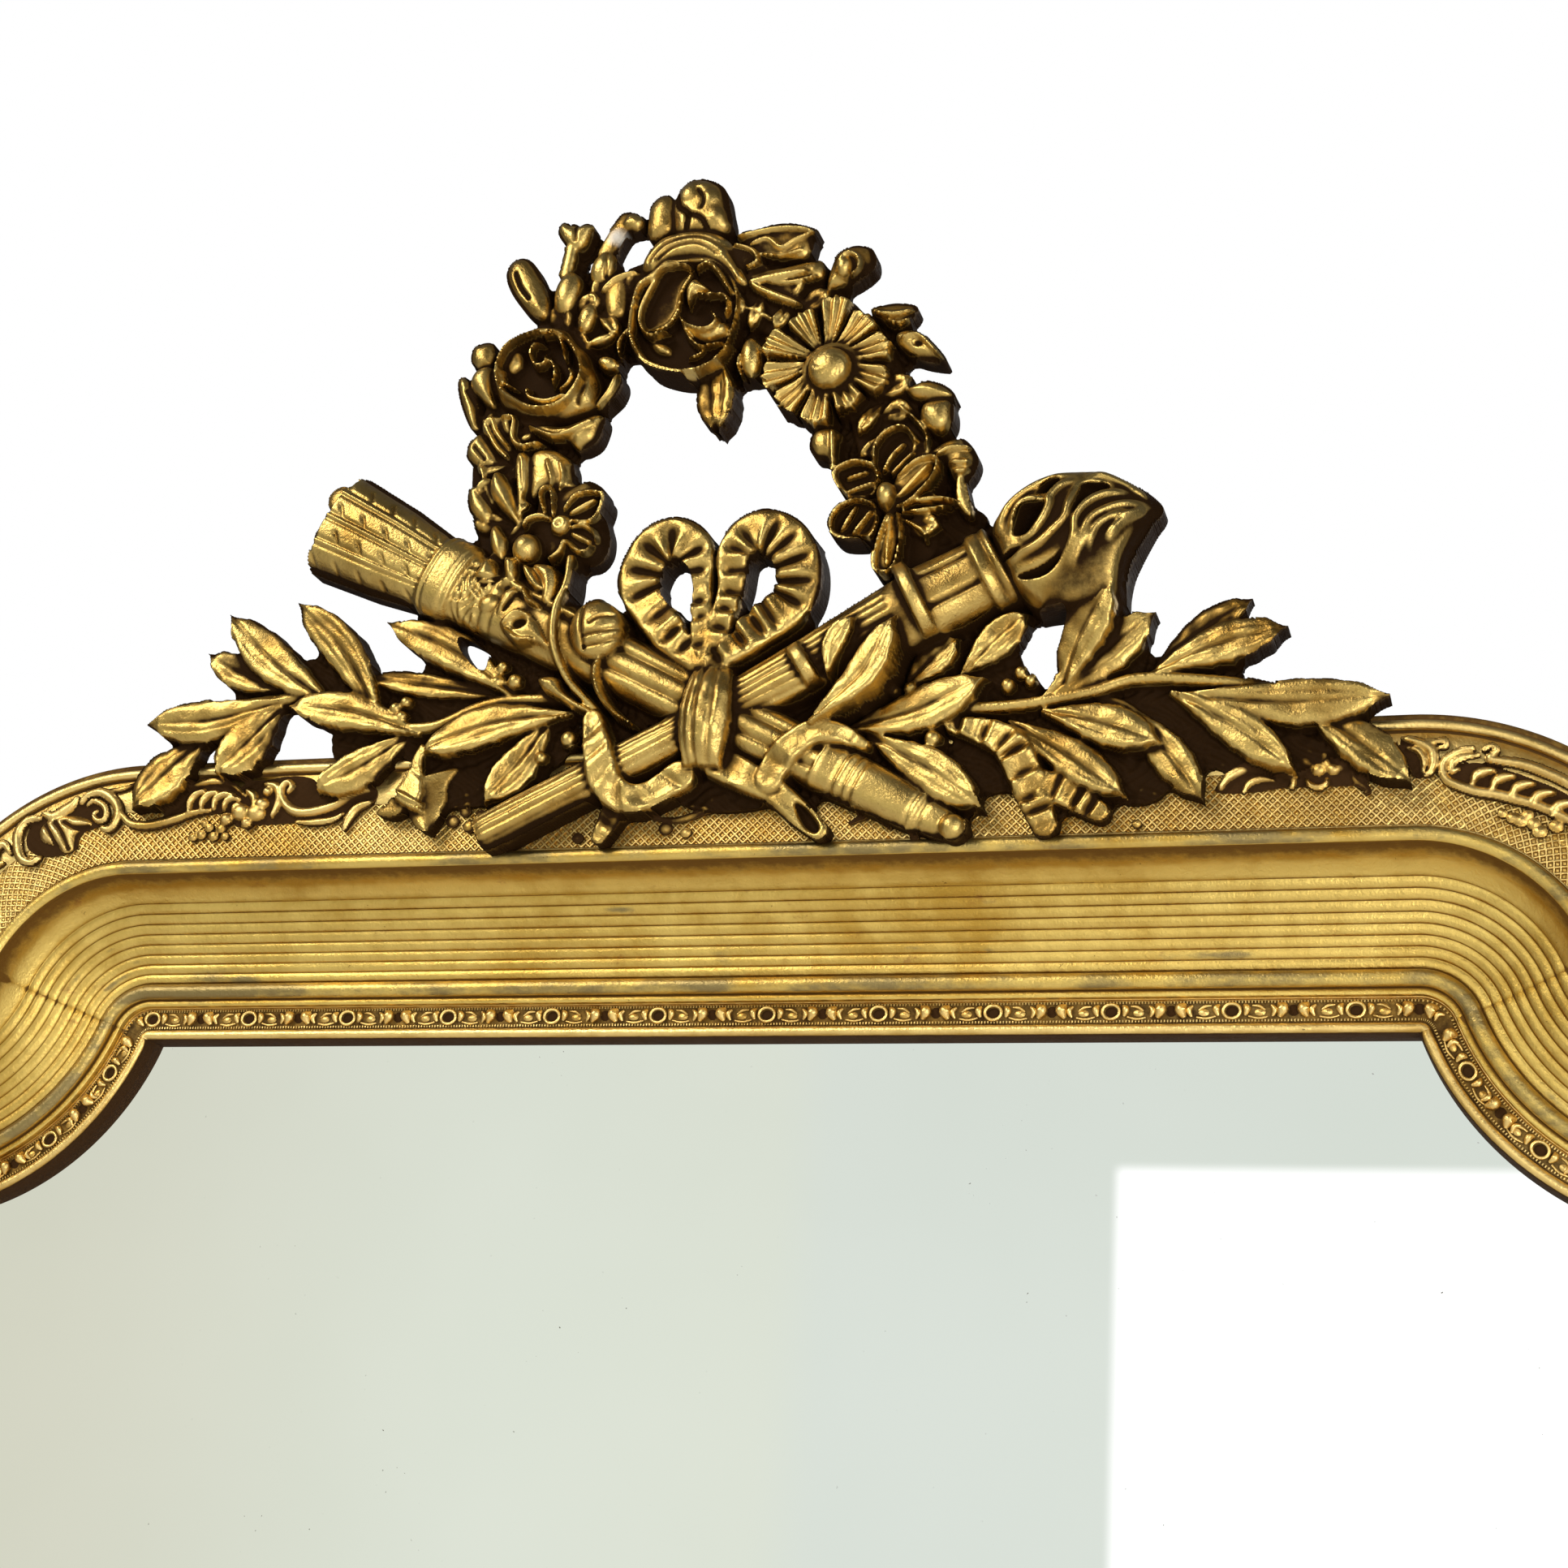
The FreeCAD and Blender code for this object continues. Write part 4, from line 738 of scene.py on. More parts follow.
def measured(p, c, u, j, flat):
    """Distance of places from span j of a line, the same for flat ends, side, share along, overshoot."""
    a, ab = c[j], c[j + 1] - c[j]
    long = np.hypot(ab[:, 0], ab[:, 1])
    t = ((p - a) * ab).sum(1) / (ab**2).sum(1)
    tc = np.clip(t, 0, 1)
    r = p - a - ab * tc[:, None]
    dist = np.hypot(r[:, 0], r[:, 1])
    side = np.sign(ab[:, 0] * r[:, 1] - ab[:, 1] * r[:, 0])
    ends = ((j == 0) & (t < 0)) | ((j == len(c) - 2) & (t > 1))
    over = np.where(ends, np.abs(t - tc) * long, 0)
    off = dist
    if flat:
        across = np.abs(ab[:, 0] * (p - a)[:, 1] - ab[:, 1] * (p - a)[:, 0]) / long
        off = np.where(ends, across, dist)
    return np.column_stack([dist, off, side, u[j] + (u[j + 1] - u[j]) * tc, over])


def inset(p, c):
    """Distance of places from a closed outline, positive inside it."""
    inside = np.zeros(len(p), bool)
    gap = np.full(len(p), 1e9)
    for a, b in zip(c, np.roll(c, -1, 0)):
        ab = b - a
        t = np.clip(((p - a) @ ab) / (ab @ ab + 1e-9), 0, 1)
        gap = np.minimum(gap, np.hypot(*(p - a - t[:, None] * ab).T))
        cross = (a[1] > p[:, 1]) != (b[1] > p[:, 1])
        with np.errstate(divide="ignore", invalid="ignore"):
            edge = (b[0] - a[0]) * (p[:, 1] - a[1]) / (b[1] - a[1]) + a[0]
        inside ^= cross & (p[:, 0] < edge)
    return np.where(inside, gap, -gap)


# Dirt and painted shade on the walls of the carving, darker from front to back, dirt on its back, and a
# darkening or lightening of each piece as a whole
WALL_DIRT_AND_SHADE, BACK_DIRT = (0.5, 0.75, 0.95), 0.6
# Each piece darker as a whole, the quiver lighter
PIECE_TONE_SHIFT = {
    "crest_torch": 0.22,
    "crest_wreath": 0.16,
    "crest_bow": 0.14,
    "crest_laurel_left": 0.17,
    "crest_laurel_right": 0.09,
    "crest_quiver": -0.30,
}


def closed(front, faces, dirt_and_shade, chalk):
    """The front of a carving with walls round it and a flat back."""
    shape = Shape()
    shape.add(front, [faces], dirt_and_shade, chalk)
    edges = np.concatenate([faces[:, [a, (a + 1) % 4]] for a in range(4)])
    key = np.sort(edges, 1) @ np.array([len(front) + 1, 1])
    _, first, times = np.unique(key, return_index=True, return_counts=True)
    pts, back = np.unique(edges[first[times == 1]], return_inverse=True)
    a, b = back.reshape(-1, 2).T
    n = len(pts)
    low = front[pts].copy()
    low[:, 1] = -BACK
    mid = front[pts] * 0.45 + low * 0.55
    walls = [np.column_stack([b + k * n, a + k * n, a + (k + 1) * n, b + (k + 1) * n]) for k in (0, 1)]
    # Walls darker towards the back: dirt and painted shade
    shape.add(np.concatenate([front[pts], mid, low]), [np.concatenate(walls)], np.repeat(WALL_DIRT_AND_SHADE, n))
    flat = front.copy()
    flat[:, 1] = -BACK
    shape.add(flat, [faces[:, ::-1]], BACK_DIRT)
    return shape


class Relief:
    def __init__(self, x0, x1, z0, z1, step):
        self.step = step
        self.xs, self.zs = np.arange(x0, x1, step), np.arange(z0, z1, step)
        self.x, self.z = np.meshgrid(self.xs, self.zs)
        self.h = np.zeros(self.x.shape)
        self.f = np.full(self.x.shape, FAR_OUT)
        self.own = np.full(self.x.shape, -1)
        self.chalk = np.zeros(self.x.shape)
        # Darkening at each place: grime and painted shade
        self.grime_and_shade = np.zeros(self.x.shape)
        self.names = []

    def window(self, points, margin):
        """The part of the grid round some points, and its places."""
        i0 = np.searchsorted(self.xs, points[:, 0].min() - margin)
        i1 = np.searchsorted(self.xs, points[:, 0].max() + margin)
        j0 = np.searchsorted(self.zs, points[:, 1].min() - margin)
        j1 = np.searchsorted(self.zs, points[:, 1].max() + margin)
        win = slice(j0, j1), slice(i0, i1)
        return win, np.column_stack([self.x[win].ravel(), self.z[win].ravel()])

    def put(self, win, f, h, owner, mode, laid_shade_and_grime):
        """A form where f is above nothing: the higher one stays, or it lies over the rest, or adds to it."""
        if owner not in self.names:
            self.names.append(owner)
        k = self.names.index(owner)
        f = f.reshape(self.h[win].shape)
        h = h.reshape(f.shape)
        inside = f > 0
        # The darkening laid with a form is grime and painted shade
        if mode == "add":
            mine = inside & (self.own[win] == k)
            self.h[win] = np.where(mine, np.maximum(self.h[win] + h, 0.5), self.h[win])
            self.grime_and_shade[win] += np.where(mine, laid_shade_and_grime, 0)
            return
        take = inside if mode == "over" else inside & (h > self.h[win])
        self.h[win] = np.where(take, h, self.h[win])
        self.own[win] = np.where(take, k, self.own[win])
        self.grime_and_shade[win] = np.where(take, laid_shade_and_grime, self.grime_and_shade[win])
        self.f[win] = np.maximum(self.f[win], f)

    def stroke(self, owner, line, half, height, mode="max", flat=False, count=72, laid_shade_and_grime=0.0):
        """A form along a line of (x, z, rise): half(u) in modules, height(u, v, w) in mm."""
        c = smooth_line([place(*p) for p in line], count)
        length = np.concatenate([[0], np.cumsum(np.hypot(*np.diff(c, axis=0).T))])
        u = length / length[-1]
        wide = np.asarray(half(u)) * MODULE
        win, p = self.window(c, np.max(wide) + 3)
        near = nearest(p, c)
        before, after = (measured(p, c, u, np.clip(k, 0, count - 2), flat) for k in (near - 1, near))
        best = np.where((after[:, 0] < before[:, 0])[:, None], after, before)
        off, side, share, over = best[:, 1], best[:, 2], best[:, 3], best[:, 4]
        w = np.interp(share, u, wide)
        f = w - off
        if flat:
            f = np.where(over > 0, np.minimum(f, -over), f)
        v = np.clip(off * side / np.maximum(w, 0.05), -1, 1)
        self.put(win, f, height(share, v, w), owner, mode, laid_shade_and_grime)

    def region(self, owner, outline, height, rise, mode="max", count=220, laid_shade_and_grime=0.0):
        """A filled outline of (x, z): height(inset, x, z) in mm."""
        c = smooth_line([place(x, z, rise) for x, z in outline], count, True)
        win, p = self.window(c, 3)
        f = inset(p, c)
        self.put(win, f, height(np.maximum(f, 0), p[:, 0], p[:, 1]), owner, mode, laid_shade_and_grime)

    def hole(self, outline, rise):
        """An opening right through the relief."""
        c = smooth_line([place(x, z, rise) for x, z in outline], 90, True)
        win, p = self.window(c, 3)
        self.f[win] = np.minimum(self.f[win], -inset(p, c).reshape(self.f[win].shape))

    def disc(self, owner, x, z, rx, rz, rise, height, turn=0.0, mode="max"):
        """A round or oval form: height(share out, angle) in mm."""
        cx, cz = place(x, z, rise)
        win, _ = self.window(np.array([[cx, cz]]), max(rx, rz) * MODULE + 2)
        dx, dz = self.x[win] - cx, self.z[win] - cz
        c, s = math.cos(turn), math.sin(turn)
        lx, lz = (dx * c + dz * s) / (rx * MODULE), (dz * c - dx * s) / (rz * MODULE)
        rho = np.hypot(lx, lz)
        h = height(np.minimum(rho, 1), np.arctan2(lz, lx))
        self.put(win, (1 - rho) * min(rx, rz) * MODULE, h, owner, mode, 0.0)

    def web(self, skip, radius, rise, gap, laid_shade_and_grime=0.7):
        """Dark ground filled in between forms that lie close together, darkened as painted shade."""
        mine = (self.f > 0) & ~np.isin(self.own, [self.names.index(name) for name in skip])
        reach = int(radius / self.step)
        span = range(-reach, reach + 1)
        moves = sorted((j * j + i * i, j, i) for j in span for i in span if j * j + i * i <= reach * reach)
        grown = np.zeros_like(mine)
        label = self.own.copy()
        for _, j, i in moves:
            moved = np.roll(mine, (j, i), (0, 1))
            fresh = moved & ~grown
            label[fresh] = np.roll(self.own, (j, i), (0, 1))[fresh]
            grown |= moved
        kept = grown.copy()
        for _, j, i in moves:
            kept &= np.roll(grown, (j, i), (0, 1))
        kept |= small_gaps(kept, gap / self.step**2) & (label >= 0)
        soft = (blurred(kept.astype(float), 1.3) - 0.5) * self.step * 4
        fresh = ~(self.f > 0) & (soft > 0) & (label >= 0)
        a = np.sin(self.x * 0.9 + 2 * np.sin(self.z * 0.37))
        b = np.sin(self.z * 0.8 + 2 * np.sin(self.x * 0.29))
        self.h[fresh] = (rise + 1.6 * a * b)[fresh]
        self.own[fresh] = label[fresh]
        self.grime_and_shade[fresh] = laid_shade_and_grime
        self.f = np.where(fresh, np.maximum(self.f, soft), self.f)

    def averaged(self, h, sigma):
        """Mean height of the carving round each place, sigma in cells."""
        mask = (self.f > 0).astype(float)
        return blurred(h * mask, sigma) / np.maximum(blurred(mask, sigma), 1e-6)

    def patina_and_shade(self, h):
        """Patina and painted shade in the small and large hollows, painted highlight on what stands out of
        them, painted shade low on the crest, the darkening laid on each form, and a shift for each piece.
        """
        fine, wide = self.averaged(h, 2.4 / self.step), self.averaged(h, 7.0 / self.step)
        # Lower carving is darker: painted shade
        low = np.clip((14 - h) / 14, 0, 1) * (self.z > FRAME_TOP + 20)
        for k, name in enumerate(self.names):
            self.grime_and_shade += np.where(self.own == k, PIECE_TONE_SHIFT.get(name, 0.0), 0)
        return np.clip((fine - h) / 2.0 + (wide - h) / 7.0 + 0.35 * low + self.grime_and_shade, -1.2, 1.5)

    def drawn_in(self, inside, h):
        """Grid points, with those just outside moved to the outline and raised to their neighbours."""
        gz, gx = np.gradient(self.f, self.step)
        size = np.maximum(gx**2 + gz**2, 0.2)
        shift = np.where(inside, 0, -self.f)
        limit = 1.1 * self.step
        mx = np.clip(shift * gx / size, -limit, limit)
        mz = np.clip(shift * gz / size, -limit, limit)
        edge = np.zeros_like(h)
        for dj in (-1, 0, 1):
            for di in (-1, 0, 1):
                edge = np.maximum(edge, np.roll(np.roll(h, dj, 0), di, 1))
        top = np.where(inside, h, edge)
        return np.column_stack([(self.x + mx).ravel(), -(BACK + top.ravel()), (self.z + mz).ravel()])

    def owned_cells(self, inside, h):
        """Cells of the grid that hold carving, and the piece that each belongs to."""
        corner = np.arange(h.size).reshape(h.shape)
        cells = [corner[:-1, :-1], corner[:-1, 1:], corner[1:, 1:], corner[1:, :-1]]
        cells = np.stack(cells, -1).reshape(-1, 4)
        cells = cells[inside.ravel()[cells].sum(1) >= 2]
        held = inside.ravel()[cells]
        tall = np.where(held, h.ravel()[cells], -1).argmax(1)
        owner = np.where(held, self.own.ravel()[cells], -1)
        return cells, owner[np.arange(len(cells)), tall]

    def finish(self, looks):
        """Softened heights, dirt and painted shade for the patina, and one closed mesh a piece."""
        inside = self.f > 0
        h = np.where(inside, self.averaged(self.h, 0.8), 0)
        dirt_and_shade, chalk = self.patina_and_shade(h).ravel(), self.chalk.ravel()
        points = self.drawn_in(inside, h)
        cells, owner = self.owned_cells(inside, h)
        for k, name in enumerate(self.names):
            used, inverse = np.unique(cells[owner == k], return_inverse=True)
            shape = closed(points[used], inverse.reshape(-1, 4), dirt_and_shade[used], chalk[used])
            mat, slot = looks[name]
            piece(name + "_carved", shape, mat, [name], sharp=58)


relief = Relief(*RELIEF_EDGES, RELIEF_STEP)
seeds = np.random.default_rng(7)


# Strokes of the carver
def ripple(u, v, seed, amount):
    """Unevenness left by the chisel."""
    waves = np.sin(u * 17 + seed * 1.7 + v * 2) + np.sin(u * 31 - v * 4 + seed)
    return amount * (waves + np.sin(v * 7 + u * 9 + seed * 0.6)) / 3


def round_off(v):
    return np.sqrt(np.maximum(1 - v**2, 0))


def even(half):
    """The same half width all along a line."""
    return lambda u: np.full_like(u, half)


def by_table(table):
    """Half widths read from rows of (share along, half width)."""
    shares, halves = np.array(table).T
    return lambda u: np.interp(u, shares, halves)


def by_steps(half):
    """Half widths at even steps along a line."""
    return lambda u: np.interp(u, np.linspace(0, 1, len(half)), half)


def rise_along(line, u):
    return np.interp(u, np.linspace(0, 1, len(line)), [p[2] for p in line])


def leaf(owner, base, tip, width, low, high, bend=0.0, mode="max", laid_shade_and_grime=0.0):
    """A plump leaf with an engraved midrib and uneven edges."""
    seed = float(seeds.uniform(0, 50))
    b, t = np.array(base), np.array(tip)
    run = t - b
    mid = (b + t) / 2 + np.array([-run[1], run[0]]) * bend
    line = [(*b, low), (*mid, (low + high) / 2), (*t, high)]

    def half(u):
        s = np.clip(u, 0, 1)
        edge = 1 + 0.035 * np.sin(u * 38 + seed) + 0.015 * np.sin(u * 71 + 2 * seed)
        body = 0.16 * (1 - s) + np.sin(PI * s**1.3) ** 0.85
        return width / 2 * body * np.minimum(1, (1.0 - s) * 7 + 0.03) * edge

    def height(u, v, w):
        crown = 3.0 * (1 - np.abs(v) ** 3.5) ** 0.55 * np.minimum(1, w / 6 + 0.2)
        tilt = 1.1 * v * np.sign(math.sin(seed * 3)) + 0.8 * np.abs(v)
        midrib = -1.5 * mound(v * w, 0, 0.7) * np.clip(1.15 - u, 0, 1)
        side = mound((np.abs(v) - 0.46) * w, 0, 0.6) * np.clip(u * 5 - 0.6, 0, 1)
        side = side * np.clip(4.6 - 5 * u, 0, 1)
        vein = 0.55 * side * (v * math.cos(seed * 5) > -0.1)
        notch = 0.45 * np.sin(u * 38 + seed + 3 * np.abs(v)) * v**4
        return low + (high - low) * u + crown + tilt + midrib - vein + notch + ripple(u, v, seed, 0.45)

    relief.stroke(owner, line, half, height, mode, count=40, laid_shade_and_grime=laid_shade_and_grime)


def stem(owner, line, wide, swell=3.0):
    relief.stroke(owner, line, even(wide / 2), lambda u, v, w: rise_along(line, u) + swell * round_off(v))


def dome(owner, x, z, rx, rz, at, low, high, turn=0.0, mode="max"):
    """A round or oval button, read at one rise, that swells from a low one."""
    relief.disc(owner, x, z, rx, rz, at, lambda p, a: low + high * np.sqrt(1 - p**2), turn, mode)


def dent(owner, x, z, rx, rz, at, rise, turn=0.0):
    """A soft hollow, or with a rise above nothing a soft swelling, in what is already there."""
    relief.disc(owner, x, z, rx, rz, at, lambda p, a: rise * (1 - p**2), turn, "add")


def berry(owner, x, z, r, rise):
    dome(owner, x, z, r, r, rise + r * MODULE, rise, r * MODULE * 1.1)


def bud(owner, x, z, rx, rz, rise, turn=0.0):
    deep = min(rx, rz) * MODULE
    dome(owner, x, z, rx, rz, rise + deep, rise, deep, turn)


def lobe(owner, outline, low, high, soft=2.5, laid_shade_and_grime=0.0):
    """A form that swells from its edge to its middle."""
    def height(f, x, z):
        return low + (high - low) * (1 - np.exp(-f / soft))

    relief.region(owner, outline, height, (low + high) / 2, count=120, laid_shade_and_grime=laid_shade_and_grime)


def dish(owner, outline, floor, rim, soft, laid_shade_and_grime):
    """A hollow with a raised edge."""
    def height(f, x, z):
        return floor + (rim - floor) * np.exp(-f / soft)

    # The floor of the hollow is darkened: painted shade
    relief.region(owner, outline, height, rim, "over", 120, laid_shade_and_grime)


def pane(owner, outline, rise, tilt, laid_shade_and_grime=0.0, mode="max"):
    """A flat fold of ribbon: rise at its middle, slope across and up it."""
    cx, cz = place(*np.mean(outline, axis=0), rise)

    def height(f, x, z):
        return rise + tilt[0] * (x - cx) + tilt[1] * (z - cz) - 1.2 * np.exp(-f / 0.7)

    relief.region(owner, outline, height, rise, mode, laid_shade_and_grime=laid_shade_and_grime)


def ridge(owner, wide, rise, points, drop=2.2):
    """A thin raised line, such as the edge of a petal."""
    line = [(x, z, rise) for x, z in points]

    def half(u):
        return wide / 2 * (0.4 + 0.6 * np.sin(PI * np.clip(u, 0, 1)) ** 0.5)

    relief.stroke(owner, line, half, lambda u, v, w: rise - drop + drop * round_off(v), count=40)


def score(owner, wide, rise, depth, points, laid_shade_and_grime=0.35):
    """A line cut into what is already there."""
    def height(u, v, w):
        return -depth * (1 - v**2)

    line = [(x, z, rise) for x, z in points]
    # The cut is darkened: grime and painted shade
    relief.stroke(owner, line, even(wide / 2), height, "add", count=40, laid_shade_and_grime=laid_shade_and_grime)


def pleated(owner, line, half, rise, folds, deep, lean=0.0, inner=0):
    """Crimped ribbon: uneven grooves across its run, from the inner edge where one is given."""
    marks = (np.arange(folds) + 0.5 + seeds.uniform(-0.22, 0.22, folds)) / folds
    force = seeds.uniform(0.55, 1.15, folds)

    def height(u, v, w):
        cut = np.zeros_like(u)
        for at, strong in zip(marks, force):
            off = (u + lean * v - at) * folds
            cut += strong * (mound(off, 0, 0.17) - 0.45 * mound(off, 0.38, 0.22))
        reach = np.clip((0.85 + v * inner) / 0.9, 0, 1) if inner else 1 - v**6
        face = rise * (1 - v**6) ** 0.5 - (1 - v**2)
        return rise_along(line, u) + face - deep * cut * reach + ripple(u, v, 9, 0.3)

    relief.stroke(owner, line, by_steps(half), height, count=96)


# Laurel branches: base, tip, width, rises and bend of each leaf
LEFT_LEAVES = (
    ((-39.6, 3.85), (-52.8, 2.3), 3.1, 9, 13, 0.05),
    ((-46.2, 0.9), (-52.9, -5.5), 3.6, 5, 10, -0.03),
    ((-39.6, 3.1), (-45.2, -2.65), 3.6, 7, 12, 0.0),
    ((-39.0, 4.8), (-47.5, 8.7), 2.6, 5, 8, 0.04),
    ((-34.8, 3.4), (-46.0, 12.4), 3.1, 8, 13, 0.04),
    ((-30.0, 1.4), (-39.6, 13.2), 2.9, 8, 14, -0.06),
    ((-26.6, 0.5), (-39.5, 3.6), 2.9, 9, 13, -0.05),
    ((-27.2, 0.3), (-35.8, -4.45), 2.9, 5, 9, 0.03),
    ((-18.0, 3.4), (-30.9, 10.8), 3.0, 8, 13, -0.05),
    ((-18.4, 3.3), (-32.5, 5.8), 1.9, 4, 7, 0.0),
    ((-13.0, 1.65), (-26.8, -1.4), 3.1, 9, 13, -0.06),
    ((-14.6, 1.1), (-20.2, -6.1), 2.9, 6, 11, 0.04),
)
RIGHT_LEAVES = (
    ((37.4, 0.9), (53.4, 0.2), 3.0, 9, 13, -0.04),
    ((46.4, -0.4), (54.6, -6.9), 2.9, 6, 11, 0.03),
    ((36.6, 1.2), (46.2, -5.7), 2.6, 8, 12, 0.03),
    ((33.0, 0.2), (39.2, -7.8), 2.6, 5, 9, 0.02),
    ((26.6, 0.1), (36.0, -2.9), 3.0, 9, 13, 0.03),
    ((24.0, -0.6), (33.4, -7.2), 2.7, 7, 12, 0.02),
    ((35.2, 3.0), (45.6, 6.2), 2.9, 9, 13, 0.04),
    ((35.4, 3.4), (42.9, 8.7), 2.3, 5, 8, 0.02),
    ((26.6, 1.0), (35.4, 8.0), 3.2, 9, 13, 0.0),
    ((28.0, 1.6), (31.9, 11.0), 3.2, 9, 27, 0.05),
    ((10.8, -0.8), (22.2, 3.4), 3.2, 10, 15, -0.05),
    ((12.6, -1.4), (22.2, -7.8), 3.0, 9, 14, 0.03),
    ((15.4, 2.4), (19.8, 6.8), 2.6, 7, 11, 0.03),
    ((20.0, 3.4), (25.4, 8.6), 2.6, 7, 11, 0.02),
)
FULLER = 1.14  # leaves are a little wider than they were read


def draw_laurels():
    low = [(-12.6, 2.9, 6), (-20, 2.8, 7), (-25, 1.0, 7), (-29, 1.2, 7), (-32, 2.6, 7), (-36, 4, 7),
        (-40, 4, 7), (-46, 3.4, 6)]
    stem("crest_laurel_left", low, 1.15, swell=4)
    stem("crest_laurel_left", [(-40, 3.6, 5), (-44, 2.2, 5), (-47.4, 0.4, 5)], 1.2)
    right = [(12.6, 0.2, 7), (18, 0.6, 8), (24, 0.6, 8), (30, 1.4, 8), (34, 2.4, 8), (39.5, 2.0, 8),
        (43.5, 1.2, 7), (48, -0.6, 6)]
    stem("crest_laurel_right", right, 1.15, swell=4)
    stem("crest_laurel_right", [(31, 1.0, 5), (33.4, -0.2, 5), (36, -3.0, 5)], 1.0)
    for owner, leaves in (("crest_laurel_left", LEFT_LEAVES), ("crest_laurel_right", RIGHT_LEAVES)):
        for base, tip, width, a, b, bend in leaves:
            leaf(owner, base, tip, width * FULLER, a, b, bend)
    for x, z, r in (
        (-19.7, 6.25, 0.6), (-20.1, 4.95, 0.6), (-18.5, 4.95, 0.75), (-29.2, 3.0, 0.6),
        (-28.25, 3.5, 0.6), (-28.5, 2.2, 0.6), (-13.2, -0.4, 0.8), (-15.4, -2.0, 0.6),
    ):
        berry("crest_laurel_left", x, z, r, 9)
    for x, z, r in (
        (14.3, 2.6, 0.6), (15.7, 2.7, 0.65), (23.6, 2.6, 0.65),
        (24.6, 3.6, 0.6), (25.4, 2.9, 0.55), (17.7, -1.6, 0.8),
    ):
        berry("crest_laurel_right", x, z, r, 10)
    for a, b in (((-19.0, 3.0), (-19.6, 5.6)), ((-28.4, 1.0), (-28.6, 2.8))):
        stem("crest_laurel_left", [(*a, 6), (*b, 8)], 0.4, swell=1.5)


# Quiver and torch: their two ends, and rows of (share along, half width)
QUIVER, QUIVER_RISE = ((-36.6, 20.35), (19.8, -9.05)), 16
QUIVER_WIDTHS = (
    (0, 4.9), (0.10, 4.3), (0.175, 3.5), (0.178, 3.85), (0.222, 3.75), (0.226, 3.3),
    (0.30, 3.15), (0.39, 3.0), (0.5, 2.65), (0.66, 2.5), (0.80, 2.35), (0.87, 2.1),
    (0.945, 1.75), (0.955, 1.45), (0.975, 1.4), (0.99, 1.2), (1.0, 0.8),
)
TORCH, TORCH_RISE = ((-20.7, -8.3), (22.7, 13.2)), 20
TORCH_WIDTHS = (
    (0, 1.5), (0.015, 1.75), (0.15, 1.75), (0.36, 1.7), (0.5, 2.05), (0.65, 2.5),
    (0.80, 3.15), (0.86, 3.35), (0.92, 3.2), (0.955, 3.15), (0.965, 3.65), (1.0, 3.7),
)


def fluted(v, waves, deep):
    """Round rods side by side across a form, a little below its surface between them."""
    return deep * np.abs(np.cos(v * PI * waves)) ** 0.5


def feathers(u, v):
    """Four feathers side by side: a shaft, a groove beside it and slanting nicks."""
    band = (v + 1) * 2.0
    inside = band - np.floor(band)
    gap = np.minimum(inside, 1 - inside)
    shafts = 0.9 * mound(gap, 0, 0.05) - 1.3 * mound(gap, 0.13, 0.05)
    slant = (u * 26 + inside * 0.8 + np.floor(band) * 0.37) % 1
    return shafts - 1.5 * mound(slant, 0.5, 0.07) * (inside > 0.2) * (inside < 0.55)


def quiver_height(u, v, w):
    base = 7 + 0.80 * w * np.sqrt(np.maximum(1 - np.abs(v) ** 2.8, 0))
    base += np.where(u < 0.172, feathers(u, v), 0)
    base += np.where((u > 0.177) & (u < 0.224), 2.0, 0)
    for at in (0.184, 0.216, 0.274, 0.292):
        base -= mound(u, at, 0.003)
    pebbles = 1.3 * np.sin(u * 420 + 2 * np.sin(v * 7)) * np.sin(v * 13 + 2 * np.sin(u * 160))
    base += np.where((u > 0.228) & (u < 0.270), pebbles, 0)
    strap = (u > 0.28) & (u < 0.44)
    base += strap * (2.0 * mound(v, 0.62, 0.10) - 1.6 * mound(v, 0.40, 0.10))
    base += np.where((u > 0.44) & (u < 0.80), fluted(v, 1.5, 2.6) - 2.4, 0)
    for at in (0.832, 0.846, 0.858):
        base -= 1.4 * mound(u, at, 0.0035)
    for at, wide, rise in ((0.803, 0.004, 1.2), (0.951, 0.005, -1.5), (0.938, 0.003, -1.0)):
        base += rise * mound(u, at, wide)
    return base + ripple(u * 3, v, 3, 0.25)


def draw_quiver():
    own = "crest_quiver"
    line = [(*p, QUIVER_RISE) for p in QUIVER]
    relief.stroke(own, line, by_table(QUIVER_WIDTHS), quiver_height, flat=True, count=90)
    for x, z, r in (
        (-36.5, 22.6, 1.3), (-36.9, 20.9, 1.0), (-37.6, 19.2, 1.1),
        (-37.4, 18.2, 0.9), (-37.5, 17.0, 1.0),
    ):
        dome(own, x, z, r, r, 18, 17, 3.0)
    dome(own, 19.6, -8.95, 1.15, 1.15, 16, 11, 7)


def torch_height(u, v, w):
    base = 11 + 0.85 * w * round_off(v)
    base += np.where((u < 0.80) & (u > 0.37), fluted(v, 3.5, 1.6) - 1.4, 0)
    base += np.where((u > 0.27) & (u <= 0.37), fluted(v, 3.0, 1.4) - 1.2, 0)
    base += np.where(u <= 0.27, fluted(v, 2.5, 1.5) - 1.3, 0)
    frame_line = np.minimum(np.abs(np.abs(v) - 0.42), 0.3) / 0.3
    base += np.where((u > 0.86) & (u < 0.955), 0.9 - 1.7 * mound(frame_line, 0, 0.22), 0)
    base += 1.3 * mound(u, 0.962, 0.006) - 1.6 * mound(u, 0.984, 0.005)
    return base + ripple(u * 3, v, 5, 0.25)


